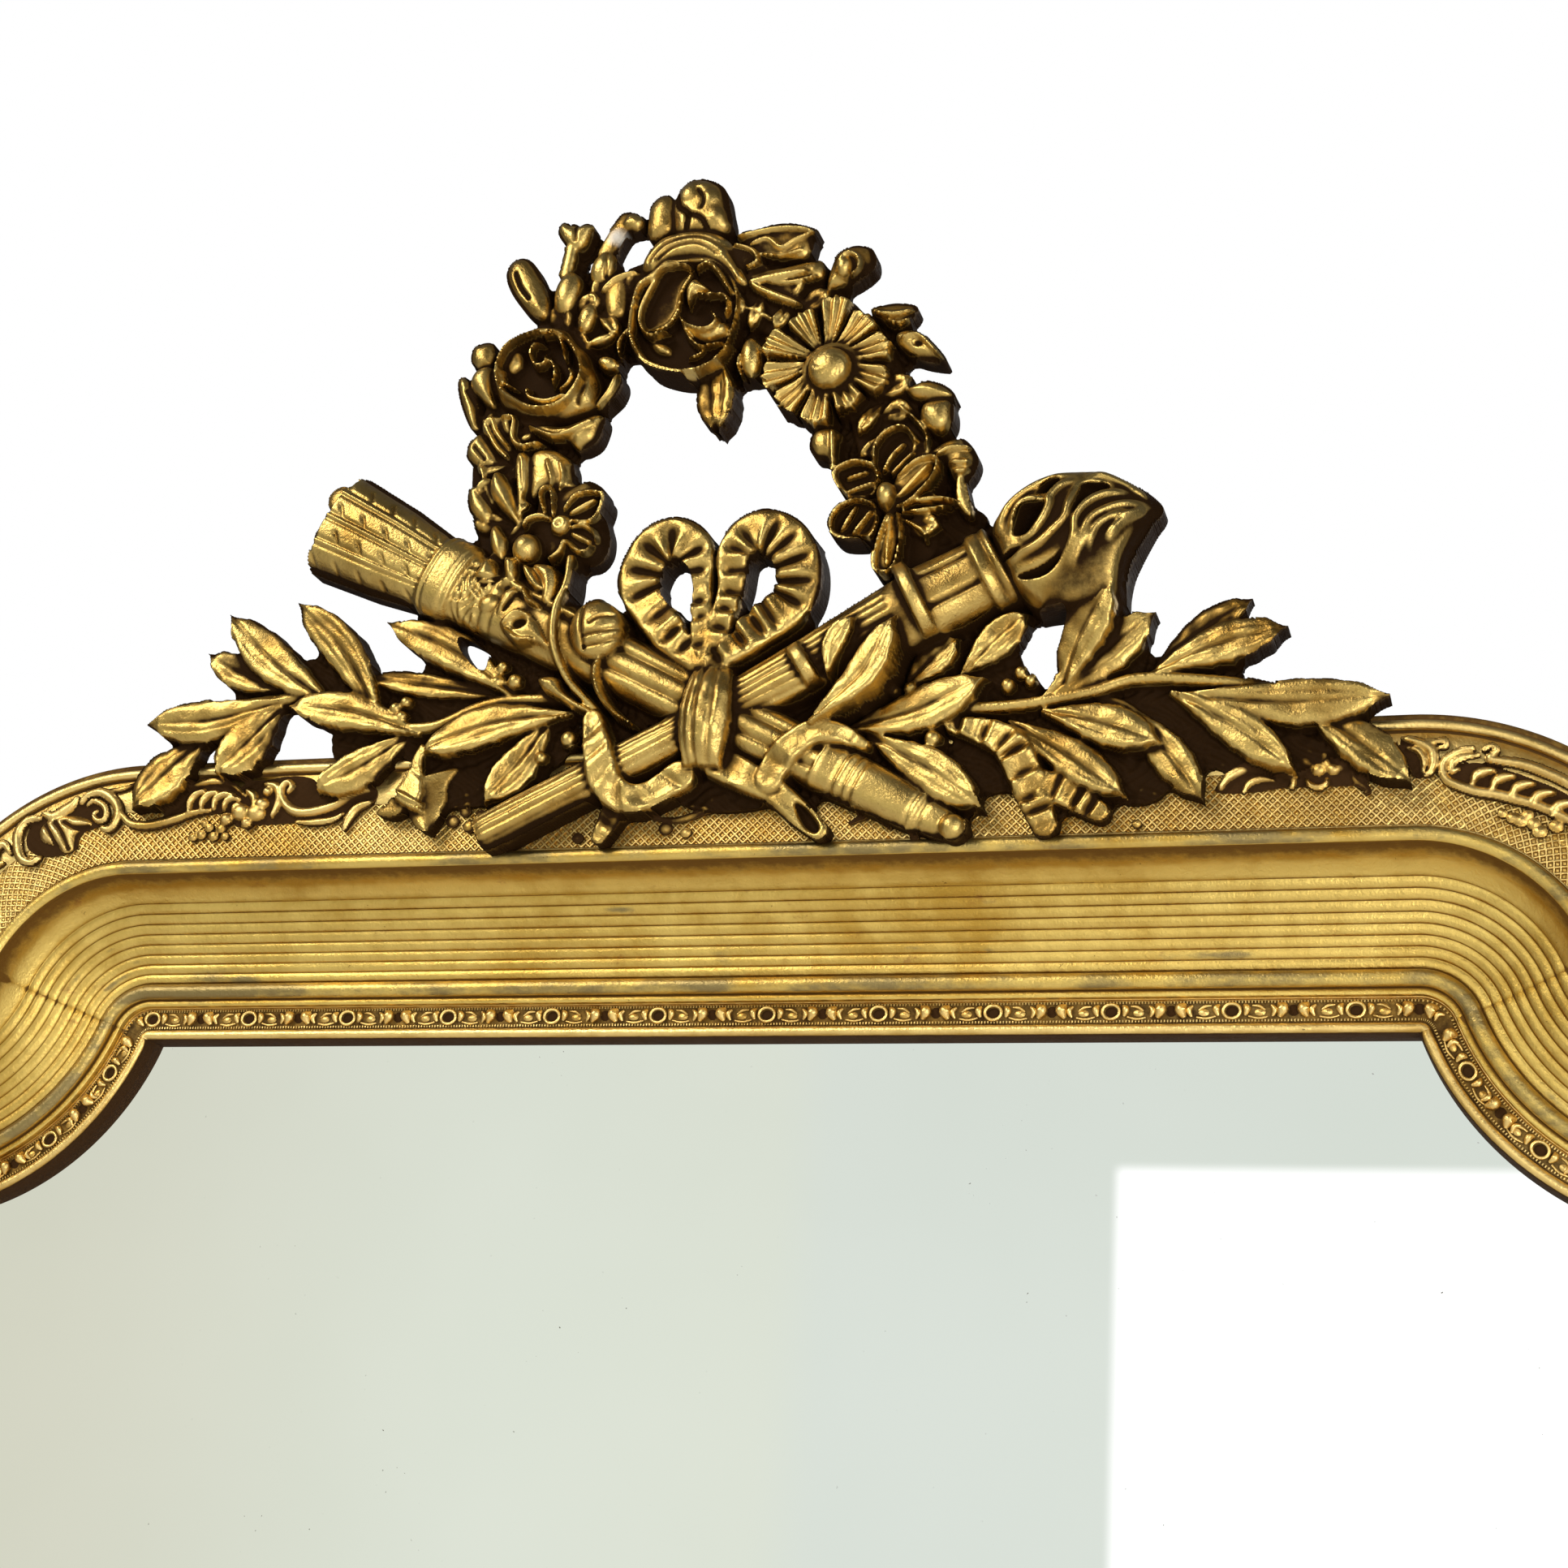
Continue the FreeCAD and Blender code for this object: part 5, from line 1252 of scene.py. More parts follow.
def draw_torch():
    own = "crest_torch"
    line = [(*p, TORCH_RISE) for p in TORCH]
    relief.stroke(own, line, by_table(TORCH_WIDTHS), torch_height, flat=True, count=90)
    for a, b, rise in (((5.6, 6.9), (7.9, 3.2), 27), ((14.2, 13.4), (17.3, 7.1), 32)):
        mid = ((a[0] + b[0]) / 2, (a[1] + b[1]) / 2)

        def band(u, v, w):
            arch = np.sqrt(np.maximum(1 - (2 * u - 1) ** 2 * 0.96, 0))
            return 14 + (rise - 13) * arch + 1.2 * (1 - v**4)

        relief.stroke(own, [(*a, 20), (*mid, 26), (*b, 20)], even(0.62), band, "over", flat=True)
    draw_flame(own)


FLAME_RISE = 33


def strand(owner, points):
    """A raised lick of flame over its mass, fading at both ends."""
    def height(u, v, w):
        return 3.4 * (1 - v**2) * np.clip(4 * u, 0, 1) * np.clip(5 - 5 * u, 0.2, 1)

    line = [(x, z, FLAME_RISE) for x, z in points]
    relief.stroke(owner, line, even(0.48), height, "add", count=60)


def draw_flame(own):
    flame = [
        (21.5, 15.9), (22.0, 17.7), (23.1, 19.3), (24.7, 20.5), (26.9, 21.1), (28.9, 21.2),
        (30.7, 21.2), (32.5, 20.2), (34.0, 19.3), (35.2, 18.1), (35.3, 17.3), (34.5, 16.0),
        (33.6, 14.2), (32.9, 12.5), (32.6, 10.9), (32.4, 8.8), (31.0, 8.7), (29.0, 8.6),
        (26.5, 8.5), (25.1, 9.5), (23.9, 10.6), (23.1, 11.8),
    ]
    cx, cz = place(28.0, 14.6, 26)

    def mass(f, x, z):
        round_back = np.sqrt(np.maximum(1 - ((x - cx) / 47) ** 2 - ((z - cz) / 43) ** 2, 0.06))
        return 11 + 25 * (1 - np.exp(-f / 1.5)) * round_back

    def pit(f, x, z):
        return -10.0 * (1 - np.exp(-f / 1.4))

    relief.region(own, flame, mass, 26, laid_shade_and_grime=0.32)
    for line in (
        [(21.9, 15.8), (22.5, 17.4), (23.4, 18.7), (25.1, 19.9), (26.9, 20.6), (28.7, 20.9)],
        [(23.7, 15.4), (23.6, 16.6), (24.0, 18.0), (24.9, 18.4), (26.2, 18.1)],
        [(24.0, 14.9), (25.1, 15.1), (26.0, 16.2), (26.5, 17.5), (26.6, 18.5), (27.4, 19.6), (28.7, 20.4)],
        [(22.8, 13.1), (24.3, 13.6), (25.8, 14.2), (27.0, 15.3), (27.9, 16.3), (28.2, 17.7), (28.8, 19.4)],
        [(27.9, 12.3), (28.7, 14.6), (28.8, 16.3), (29.7, 17.7), (31.2, 18.6), (33.0, 18.9)],
        [(28.3, 12.0), (29.1, 13.7), (29.9, 16.0), (31.3, 17.1), (32.8, 17.7), (34.6, 17.8)],
        [(29.6, 13.1), (30.4, 15.3), (31.7, 16.4), (33.5, 17.2)],
        [(31.1, 14.2), (32.2, 15.8), (33.5, 16.9), (34.5, 17.5)],
        [(29.2, 20.2), (30.4, 20.8), (32.5, 19.9), (34.7, 18.3)],
    ):
        strand(own, line)
    # Pits darkened strongly: painted shade
    for hollow in (
        [(23.7, 15.4), (23.6, 16.3), (24.0, 17.8), (24.8, 18.2), (26.2, 17.9), (25.7, 16.5), (24.8, 15.3)],
        [(25.4, 19.1), (26.1, 20.1), (27.1, 20.3), (26.7, 19.4), (26.2, 19.0)],
        [(28.5, 16.6), (28.8, 18.9), (29.2, 19.8), (30.8, 19.8), (31.2, 19.2), (30.5, 19.0), (29.5, 18.1),
            (28.9, 17.2)],
        [(24.0, 12.0), (25.6, 12.4), (26.9, 13.0), (27.7, 13.6), (27.4, 12.7), (26.4, 11.8), (24.9, 11.6)],
        [(22.5, 13.7), (23.5, 14.3), (24.3, 14.1), (23.4, 13.5)],
    ):
        relief.region(own, hollow, pit, FLAME_RISE, "add", 80, 0.8)


def draw_bow():
    own = "crest_bow"
    left = [(-2.2, 5.8, 15), (-5.4, 8.9, 14), (-7.7, 12.4, 12), (-6.9, 15.6, 13), (-4.9, 16.7, 14),
        (-3.0, 15.4, 14), (-2.3, 12.0, 13), (-2.0, 8.5, 14), (-1.8, 5.8, 15)]
    right = [(-1.0, 5.4, 15), (2.6, 8.2, 15), (5.6, 10.4, 13), (6.0, 13.4, 13), (4.6, 16.0, 14),
        (2.2, 16.8, 14), (0.4, 15.2, 14), (0.3, 12.0, 13), (-0.4, 8.6, 14), (-1.2, 5.4, 15)]
    pleated(own, left, (1.3, 1.7, 1.75, 1.95, 2.05, 1.7, 1.05, 1.0, 1.0), 6, 12, 3.0, inner=-1)
    pleated(own, right, (1.3, 1.8, 1.95, 1.95, 2.0, 2.05, 1.6, 1.2, 1.1, 1.0), 6, 16, 3.2, inner=1)
    for hole in (
        [(-6.0, 12.2), (-5.5, 14.0), (-4.6, 14.7), (-3.7, 14.1), (-3.05, 12.4), (-3.2, 10.7), (-3.9, 10.1),
            (-5.0, 10.8)],
        [(1.65, 12.4), (2.0, 14.0), (2.8, 14.65), (3.7, 14.0), (4.0, 12.5), (3.4, 11.2), (2.5, 10.6),
            (1.8, 11.2)],
    ):
        relief.hole(hole, 16)
    knot = [(-1.75, -2.9, 26), (-1.85, -0.3, 30), (-1.65, 2.6, 30), (-1.3, 5.6, 26)]

    def height(u, v, w):
        lines = 1.5 * mound(v, 0.28, 0.10) + 1.3 * mound(v, -0.38, 0.09) + 0.9 * mound(v, 0.68, 0.08)
        swell = np.sin(PI * np.clip(u, 0.03, 0.97)) ** 0.4
        return 16 + 15 * swell * np.sqrt(np.maximum(1 - 0.7 * v**2, 0)) - lines + ripple(u, v, 2, 0.5)

    def half(u):
        return 1.6 + 0.65 * np.sin(PI * np.clip(u, 0, 1))

    relief.stroke(own, knot, half, height, "over", flat=True, count=48, laid_shade_and_grime=0.2)


def draw_ribbons():
    mid = "crest_ribbon_middle"
    pleated(mid, [(-10.9, 0.9, 15), (-10.4, -1.4, 20), (-9.9, -3.2, 20), (-8.7, -5.2, 15),
        (-6.3, -6.0, 12), (-3.0, -4.2, 12)], (1.0, 1.3, 1.4, 1.35, 1.2, 1.4), 4, 6, 1.3, lean=0.05)
    pleated(mid, [(-8.0, -5.6, 8), (-8.6, -7.4, 8), (-9.4, -9.2, 7)], (1.2, 1.0, 0.7), 4, 2, 1.4)
    pleated(mid, [(0.3, -3.2, 12), (2.8, -4.5, 13), (5.2, -5.8, 12), (7.4, -7.8, 10), (9.0, -9.2, 8)],
        (1.5, 1.35, 1.15, 1.1, 0.8), 4, 3, 0.9)
    dish(mid, [(6.9, -6.9), (7.9, -7.3), (8.9, -8.7), (8.6, -9.3), (7.6, -8.7)], 6, 11, 1.2, 0.45)
    pleated(mid, [(4.6, -4.6, 14), (5.6, -2.6, 18), (7.8, -0.9, 19), (10.2, -1.0, 18), (12.4, -2.2, 13)],
        (1.3, 1.25, 1.15, 0.95, 0.5), 4, 3, 1.1)
    left = "crest_ribbon_left"
    # This fold, turned away from the light, is darkened as painted shade
    pane(left, [(-25.8, -3.7), (-24.3, -2.8), (-22.8, -2.5), (-23.5, -4.1), (-23.6, -5.8), (-24.8, -8.2),
        (-25.7, -6.1)], 9, (-0.35, 0.0), 0.3)
    pane(left, [(-28.2, -5.0), (-27.0, -5.8), (-27.4, -6.5), (-28.5, -6.8), (-29.8, -6.4), (-29.1, -5.7)],
        9, (0.15, 0.0), mode="over")
    pane(left, [(-27.0, -5.9), (-25.7, -6.0), (-25.2, -7.2), (-24.8, -8.2), (-25.9, -7.8), (-26.7, -6.8)],
        10, (0.2, 0.0), mode="over")
    pane(left, [(-26.3, -0.3), (-25.8, -0.9), (-26.0, -2.0), (-25.8, -3.4), (-26.8, -2.8), (-27.2, -2.2),
        (-26.9, -1.2)], 12, (0.1, 0.0), mode="over")
    pane(left, [(-27.2, -2.4), (-26.5, -3.0), (-25.8, -3.7), (-25.8, -5.4), (-27.1, -5.0), (-28.3, -4.6),
        (-27.7, -3.5)], 13, (0.1, -0.1), mode="over")
    ridge(left, 0.55, 15.5, [(-28.2, -4.5), (-26.9, -5.2), (-25.8, -5.7)])
    ridge(left, 0.5, 14.5, [(-28.3, -4.9), (-27.0, -5.7), (-25.7, -6.2)])
    right = "crest_ribbon_right"
    pleated(right, [(19.4, -0.8, 9), (22.0, -1.4, 11), (24.0, -2.6, 11), (25.4, -5.2, 9), (27.0, -9.2, 6)],
        (0.7, 1.25, 1.5, 1.5, 1.1), 4, 7, 2.8)
    pleated(right, [(25.8, -5.6, 8), (28.4, -6.6, 8), (31.2, -8.3, 6)], (1.3, 1.25, 0.9), 4, 4, 2.6)


def draw_sunflower(own):
    """An open flower of grooved petals round a button."""
    cx, cz, petals, turn = 7.05, 32.3, 10, 0.2
    inner, reach, wide, rise, cup = 1.5, 5.6, 1.5, 17, 4.0
    button, button_rise = 1.85, 29

    def half(u):
        blunt = np.minimum(1, np.sqrt(np.maximum(1 - u, 0) * 9 + 0.02))
        return wide * (0.3 + 0.7 * np.clip(u, 0, 1)) * blunt

    def petal(u, v, w):
        hollow = cup * np.sin(PI * (0.2 + 0.6 * u)) * 0.7
        return rise - cup * (1 - u) * 0.6 + hollow + 1.9 * (np.abs(v) ** 2 - 0.5) + 0.9 * np.cos(v * PI * 3.0)

    def middle(p, a):
        return button_rise - button * 4 + button * 4 * np.sqrt(1 - p**2) + 0.4 * np.sin(a * 9 + p * 20) * p

    for k in range(petals):
        a = turn + 2 * PI * k / petals
        way = (math.cos(a), math.sin(a))
        long = reach * (1 + 0.07 * math.sin(3.7 * k + turn))
        steps = ((inner, rise - 2), ((inner + long) / 2, rise), (long, rise - 2))
        line = [(cx + way[0] * out, cz + way[1] * out, at) for out, at in steps]
        relief.stroke(own, line, half, petal, count=36)
    relief.disc(own, cx, cz, button, button, button_rise, middle, mode="over")


def draw_top_rose():
    own = "crest_wreath"
    lobe(own, [(-13.9, 41.2), (-12.7, 42.5), (-10.8, 43.0), (-10.9, 41.2), (-11.0, 38.8), (-11.9, 37.9),
        (-13.2, 38.2)], 8, 14)
    ridge(own, 0.6, 15.5, [(-13.9, 41.2), (-12.7, 42.3), (-10.9, 42.8)])
    ridge(own, 0.5, 15, [(-11.2, 37.2), (-11.9, 35.8), (-11.6, 34.4)])
    lobe(own, [
        (-10.5, 43.0), (-10.0, 44.8), (-8.3, 46.2), (-5.1, 46.4), (-2.6, 45.2), (-1.1, 42.5),
        (-0.4, 40.6), (-1.6, 40.4), (-2.8, 41.7), (-4.9, 42.6), (-7.2, 42.6), (-9.1, 41.5),
    ], 11, 21, 4.0, 0.15)
    score(own, 0.55, 18, 1.3, [(-9.6, 43.5), (-8.0, 45.1), (-5.3, 45.5), (-2.9, 44.3), (-1.5, 42.4)], 0.2)
    score(own, 0.5, 18, 1.2, [(-8.8, 43.6), (-7.3, 44.6), (-5.1, 44.8), (-3.2, 43.6)], 0.2)
    lobe(own, [(-2.2, 44.4), (-0.3, 43.8), (0.2, 42.7), (-0.8, 41.9), (-1.9, 42.6)], 12, 15, 2.0, 0.5)
    ridge(own, 0.5, 18, [(-2.0, 44.6), (-0.3, 43.8), (0.2, 42.7), (-0.8, 42.3)])
    cup = [
        (-8.0, 43.3), (-9.2, 42.3), (-10.5, 41.3), (-10.9, 39.4), (-11.0, 37.5), (-10.6, 35.8),
        (-9.3, 34.0), (-7.5, 33.1), (-5.6, 32.7), (-3.9, 33.0), (-2.7, 33.9), (-2.0, 35.5),
        (-1.5, 37.8), (-1.5, 39.9), (-2.2, 41.5), (-3.4, 42.9), (-4.9, 43.3), (-6.6, 43.3),
    ]
    grown = [(-6.2 + (x + 6.2) * 1.08, 38.0 + (z - 38.0) * 1.08) for x, z in cup]
    lobe(own, grown, 9, 22, 3.0, 0.1)
    dish(own, cup, 11.5, 21, 1.6, 0.75)
    ridge(own, 0.5, 25, [(-6.0, 43.0)] + cup[:12])
    lobe(own, [
        (-9.2, 41.3), (-8.3, 42.5), (-6.0, 42.8), (-5.5, 41.9), (-6.2, 40.4),
        (-6.5, 38.3), (-7.5, 36.9), (-9.2, 36.6), (-10.0, 37.8), (-10.0, 39.4),
    ], 19, 15.5, 2.0, 0.25)
    ridge(own, 0.55, 22.5, [(-7.6, 36.8), (-9.2, 36.5), (-10.1, 37.8), (-10.0, 39.4), (-9.2, 41.3),
        (-8.3, 42.7), (-6.2, 42.9)])
    ridge(own, 0.5, 23, [(-5.4, 42.6), (-4.3, 43.0), (-3.4, 42.2), (-2.7, 41.1), (-2.1, 40.1)])
    lobe(own, [(-6.6, 38.3), (-5.5, 36.9), (-4.0, 36.4), (-2.3, 37.0), (-2.0, 35.9), (-3.4, 35.2),
        (-4.8, 35.5), (-5.9, 36.6)], 15, 20, 1.6)
    lobe(own, [(-5.8, 38.8), (-6.1, 40.5), (-5.3, 41.5), (-4.4, 40.9), (-3.9, 40.2), (-4.9, 40.0),
        (-5.5, 39.3)], 17, 25, 1.8)
    ridge(own, 0.42, 22.5, [(-5.2, 40.1), (-3.9, 39.9), (-2.6, 39.7), (-2.2, 38.8), (-2.5, 37.9)])
    ridge(own, 0.45, 23.5, [(-6.6, 38.2), (-5.8, 37.2), (-4.3, 36.6), (-3.4, 36.9), (-3.2, 37.6),
        (-3.8, 38.4)])
    ridge(own, 0.4, 21, [(-6.2, 37.2), (-5.4, 35.8), (-4.5, 35.0), (-3.5, 35.0), (-2.6, 35.3)])
    ridge(own, 0.4, 18, [(-5.4, 33.8), (-4.6, 34.0), (-3.9, 34.4)])
    lobe(own, [(-9.0, 35.4), (-8.0, 35.7), (-6.9, 34.8), (-7.0, 34.1), (-8.2, 34.3)], 12, 16, 1.6, 0.2)


def draw_left_rose():
    own = "crest_wreath"
    lobe(own, [
        (-18.7, 38.3), (-20.3, 38.2), (-21.9, 37.5), (-23.2, 36.4), (-23.7, 34.4),
        (-23.3, 32.4), (-22.0, 30.4), (-19.6, 29.0), (-16.1, 28.8), (-13.6, 29.9),
        (-13.4, 32.0), (-14.2, 34.2), (-15.2, 35.9), (-16.8, 37.7),
    ], 10, 22, 4.0)
    score(own, 0.5, 18, 1.4, [(-14.9, 34.2), (-14.6, 32.0), (-15.0, 30.2)])
    rim = [
        (-18.7, 38.0), (-19.9, 37.9), (-21.4, 37.5), (-22.6, 36.7), (-23.2, 35.2),
        (-23.2, 33.8), (-22.6, 32.4), (-21.3, 31.4), (-19.8, 30.5), (-18.1, 30.3),
        (-16.7, 30.8), (-15.7, 32.0), (-15.2, 33.7), (-16.0, 35.7), (-17.3, 37.3),
    ]
    dish(own, rim, 11, 21, 1.5, 0.75)
    ridge(own, 0.45, 25, rim + rim[:1])
    lobe(own, [(-22.5, 34.2), (-22.2, 35.7), (-21.0, 35.9), (-20.6, 34.4), (-21.6, 33.5)], 13, 17, 1.6, 0.2)
    for wide, rise, line in (
        (0.42, 22, [(-19.1, 37.3), (-17.8, 37.2), (-17.1, 36.0), (-16.9, 34.9)]),
        (0.45, 22.5, [(-19.1, 36.6), (-19.9, 36.5), (-20.1, 35.6), (-19.5, 34.5), (-18.7, 34.7),
            (-18.7, 35.6)]),
        (0.4, 21, [(-18.7, 35.0), (-17.9, 34.5), (-17.6, 33.5), (-17.9, 32.5)]),
        (0.5, 21.5, [(-16.4, 34.0), (-16.0, 33.2), (-16.4, 32.3), (-17.1, 31.9)]),
        (0.45, 21, [(-22.6, 34.3), (-22.3, 33.0), (-21.2, 32.3)]),
        (0.6, 22, [(-20.1, 32.4), (-19.8, 31.4), (-18.1, 30.9), (-16.5, 31.4)]),
    ):
        ridge(own, wide, rise, line)
    lobe(own, [(-11.6, 33.0), (-12.2, 32.5), (-12.8, 31.2), (-13.6, 29.9), (-13.0, 29.8), (-11.8, 30.7),
        (-11.3, 32.0)], 12, 19, 1.8)
    lobe(own, [
        (-19.6, 28.7), (-18.1, 28.7), (-16.1, 28.4), (-13.6, 29.2), (-12.6, 28.9),
        (-12.7, 27.6), (-13.3, 26.4), (-14.8, 25.9), (-16.0, 27.0), (-17.4, 27.0),
    ], 10, 16.5, 3.0)
    ridge(own, 0.55, 18.5, [(-19.6, 28.6), (-17.5, 27.6), (-16.0, 27.7), (-13.8, 28.7)])
    lobe(own, [(-22.3, 29.9), (-21.1, 29.5), (-21.0, 27.7), (-21.9, 28.2)], 11, 15, 1.8)
    ridge(own, 0.6, 18, [(-22.2, 29.8), (-21.1, 29.5), (-21.0, 27.7), (-20.1, 26.8), (-18.3, 27.0)])


def draw_left_garland():
    own = "crest_wreath"
    for low, high, outline in (
        (8, 13, [(-25.4, 36.8), (-23.6, 36.8), (-23.4, 34.6), (-24.8, 34.4), (-25.7, 35.4)]),
        (11, 17, [(-25.6, 33.2), (-25.0, 34.5), (-23.5, 34.5), (-23.0, 31.7), (-23.1, 30.6),
            (-24.7, 31.8)]),
        (8, 12.5, [(-26.7, 33.4), (-25.9, 33.7), (-24.6, 31.6), (-24.2, 29.5), (-24.0, 28.7),
            (-24.9, 28.6), (-26.2, 31.2)]),
        (9, 14, [(-25.0, 27.3), (-23.9, 28.1), (-22.2, 25.9), (-22.3, 24.8), (-23.6, 24.8), (-25.0, 25.8)]),
        (12, 20, [(-22.6, 23.9), (-21.9, 24.5), (-20.7, 23.2), (-19.9, 21.3), (-19.6, 19.4), (-21.1, 20.5),
            (-22.5, 22.2)]),
        (10, 15.5, [(-24.6, 22.6), (-23.8, 23.2), (-22.1, 21.1), (-22.0, 19.8), (-22.7, 19.4),
            (-24.2, 20.7)]),
        (12, 18.5, [(-20.5, 25.4), (-19.9, 26.2), (-19.1, 25.4), (-18.9, 23.1), (-19.3, 21.3),
            (-19.3, 19.2), (-20.0, 21.7)]),
        (10, 15, [(-19.0, 25.7), (-16.9, 26.1), (-15.1, 24.7), (-14.8, 23.0), (-14.4, 22.4), (-15.8, 21.7),
            (-17.5, 22.0), (-18.7, 21.8)]),
        (12, 17, [(-22.2, 18.5), (-21.7, 19.4), (-20.7, 18.4), (-20.3, 17.3), (-20.6, 15.7),
            (-21.8, 16.8)]),
        (8, 12, [(-23.0, 30.2), (-21.9, 28.4), (-20.6, 26.8), (-21.0, 25.4), (-22.4, 26.4), (-23.8, 29.0)]),
    ):
        lobe(own, outline, low, high, 2.4)
    for wide, rise, line in (
        (0.5, 14.5, [(-23.9, 29.5), (-22.6, 27.1), (-21.3, 25.7)]),
        (0.5, 15, [(-23.2, 29.8), (-22.5, 28.2), (-21.2, 26.6)]),
        (0.6, 14, [(-23.6, 24.9), (-22.9, 23.0), (-22.1, 21.3)]),
        (0.4, 17, [(-17.6, 25.2), (-17.0, 23.6), (-16.9, 22.4)]),
        (0.4, 16.5, [(-16.3, 25.0), (-15.9, 23.6), (-16.1, 22.2)]),
    ):
        ridge(own, wide, rise, line)
    score(own, 0.4, 14, 1.5, [(-25.9, 32.6), (-25.0, 31.0), (-24.6, 29.2)])
    score(own, 0.45, 13, 1.6, [(-24.4, 26.9), (-23.3, 25.6)])
    score(own, 0.4, 16, 1.4, [(-20.0, 25.2), (-19.6, 22.6)])


def draw_small_rose():
    own = "crest_wreath"
    lobe(own, [
        (-19.1, 19.0), (-18.2, 20.1), (-17.9, 22.3), (-17.0, 22.9), (-16.2, 22.2),
        (-14.8, 22.6), (-13.4, 22.9), (-11.8, 21.7), (-11.6, 19.4), (-11.1, 17.6),
        (-11.3, 15.9), (-12.4, 14.9), (-14.8, 15.2), (-16.5, 15.6), (-17.8, 17.3),
    ], 9, 16, 3.5, 0.2)
    for wide, rise, line in (
        (0.42, 21, [(-17.4, 20.4), (-17.9, 22.1), (-17.3, 22.7), (-16.8, 22.0), (-16.5, 19.9)]),
        (0.45, 21, [(-15.6, 20.4), (-14.4, 21.8), (-12.3, 21.7), (-12.3, 20.2), (-13.1, 19.2),
            (-14.9, 19.4)]),
        (0.6, 20, [(-14.9, 19.9), (-12.7, 21.1)]),
        (0.42, 20.5, [(-14.8, 18.7), (-13.6, 18.8), (-12.6, 18.1), (-12.4, 17.3)]),
        (0.5, 19.5, [(-14.6, 18.1), (-12.9, 17.2)]),
        (0.45, 20.5, [(-15.1, 17.6), (-14.1, 16.6), (-13.2, 16.4), (-12.7, 17.0)]),
        (0.6, 21, [(-19.2, 19.1), (-18.7, 19.8), (-17.6, 20.0), (-16.7, 19.6)]),
        (0.55, 20, [(-15.3, 17.6), (-15.6, 16.5), (-16.6, 15.8)]),
    ):
        ridge(own, wide, rise, line)

    def eye(p, a):
        return 17 + 6 * np.sqrt(1 - p**2) - 2.2 * mound(p, 0, 0.4)

    relief.disc(own, -15.8, 19.1, 0.95, 0.95, 22, eye, mode="over")
    dome(own, -18.8, 17.1, 1.35, 1.5, 22, 14, 11)


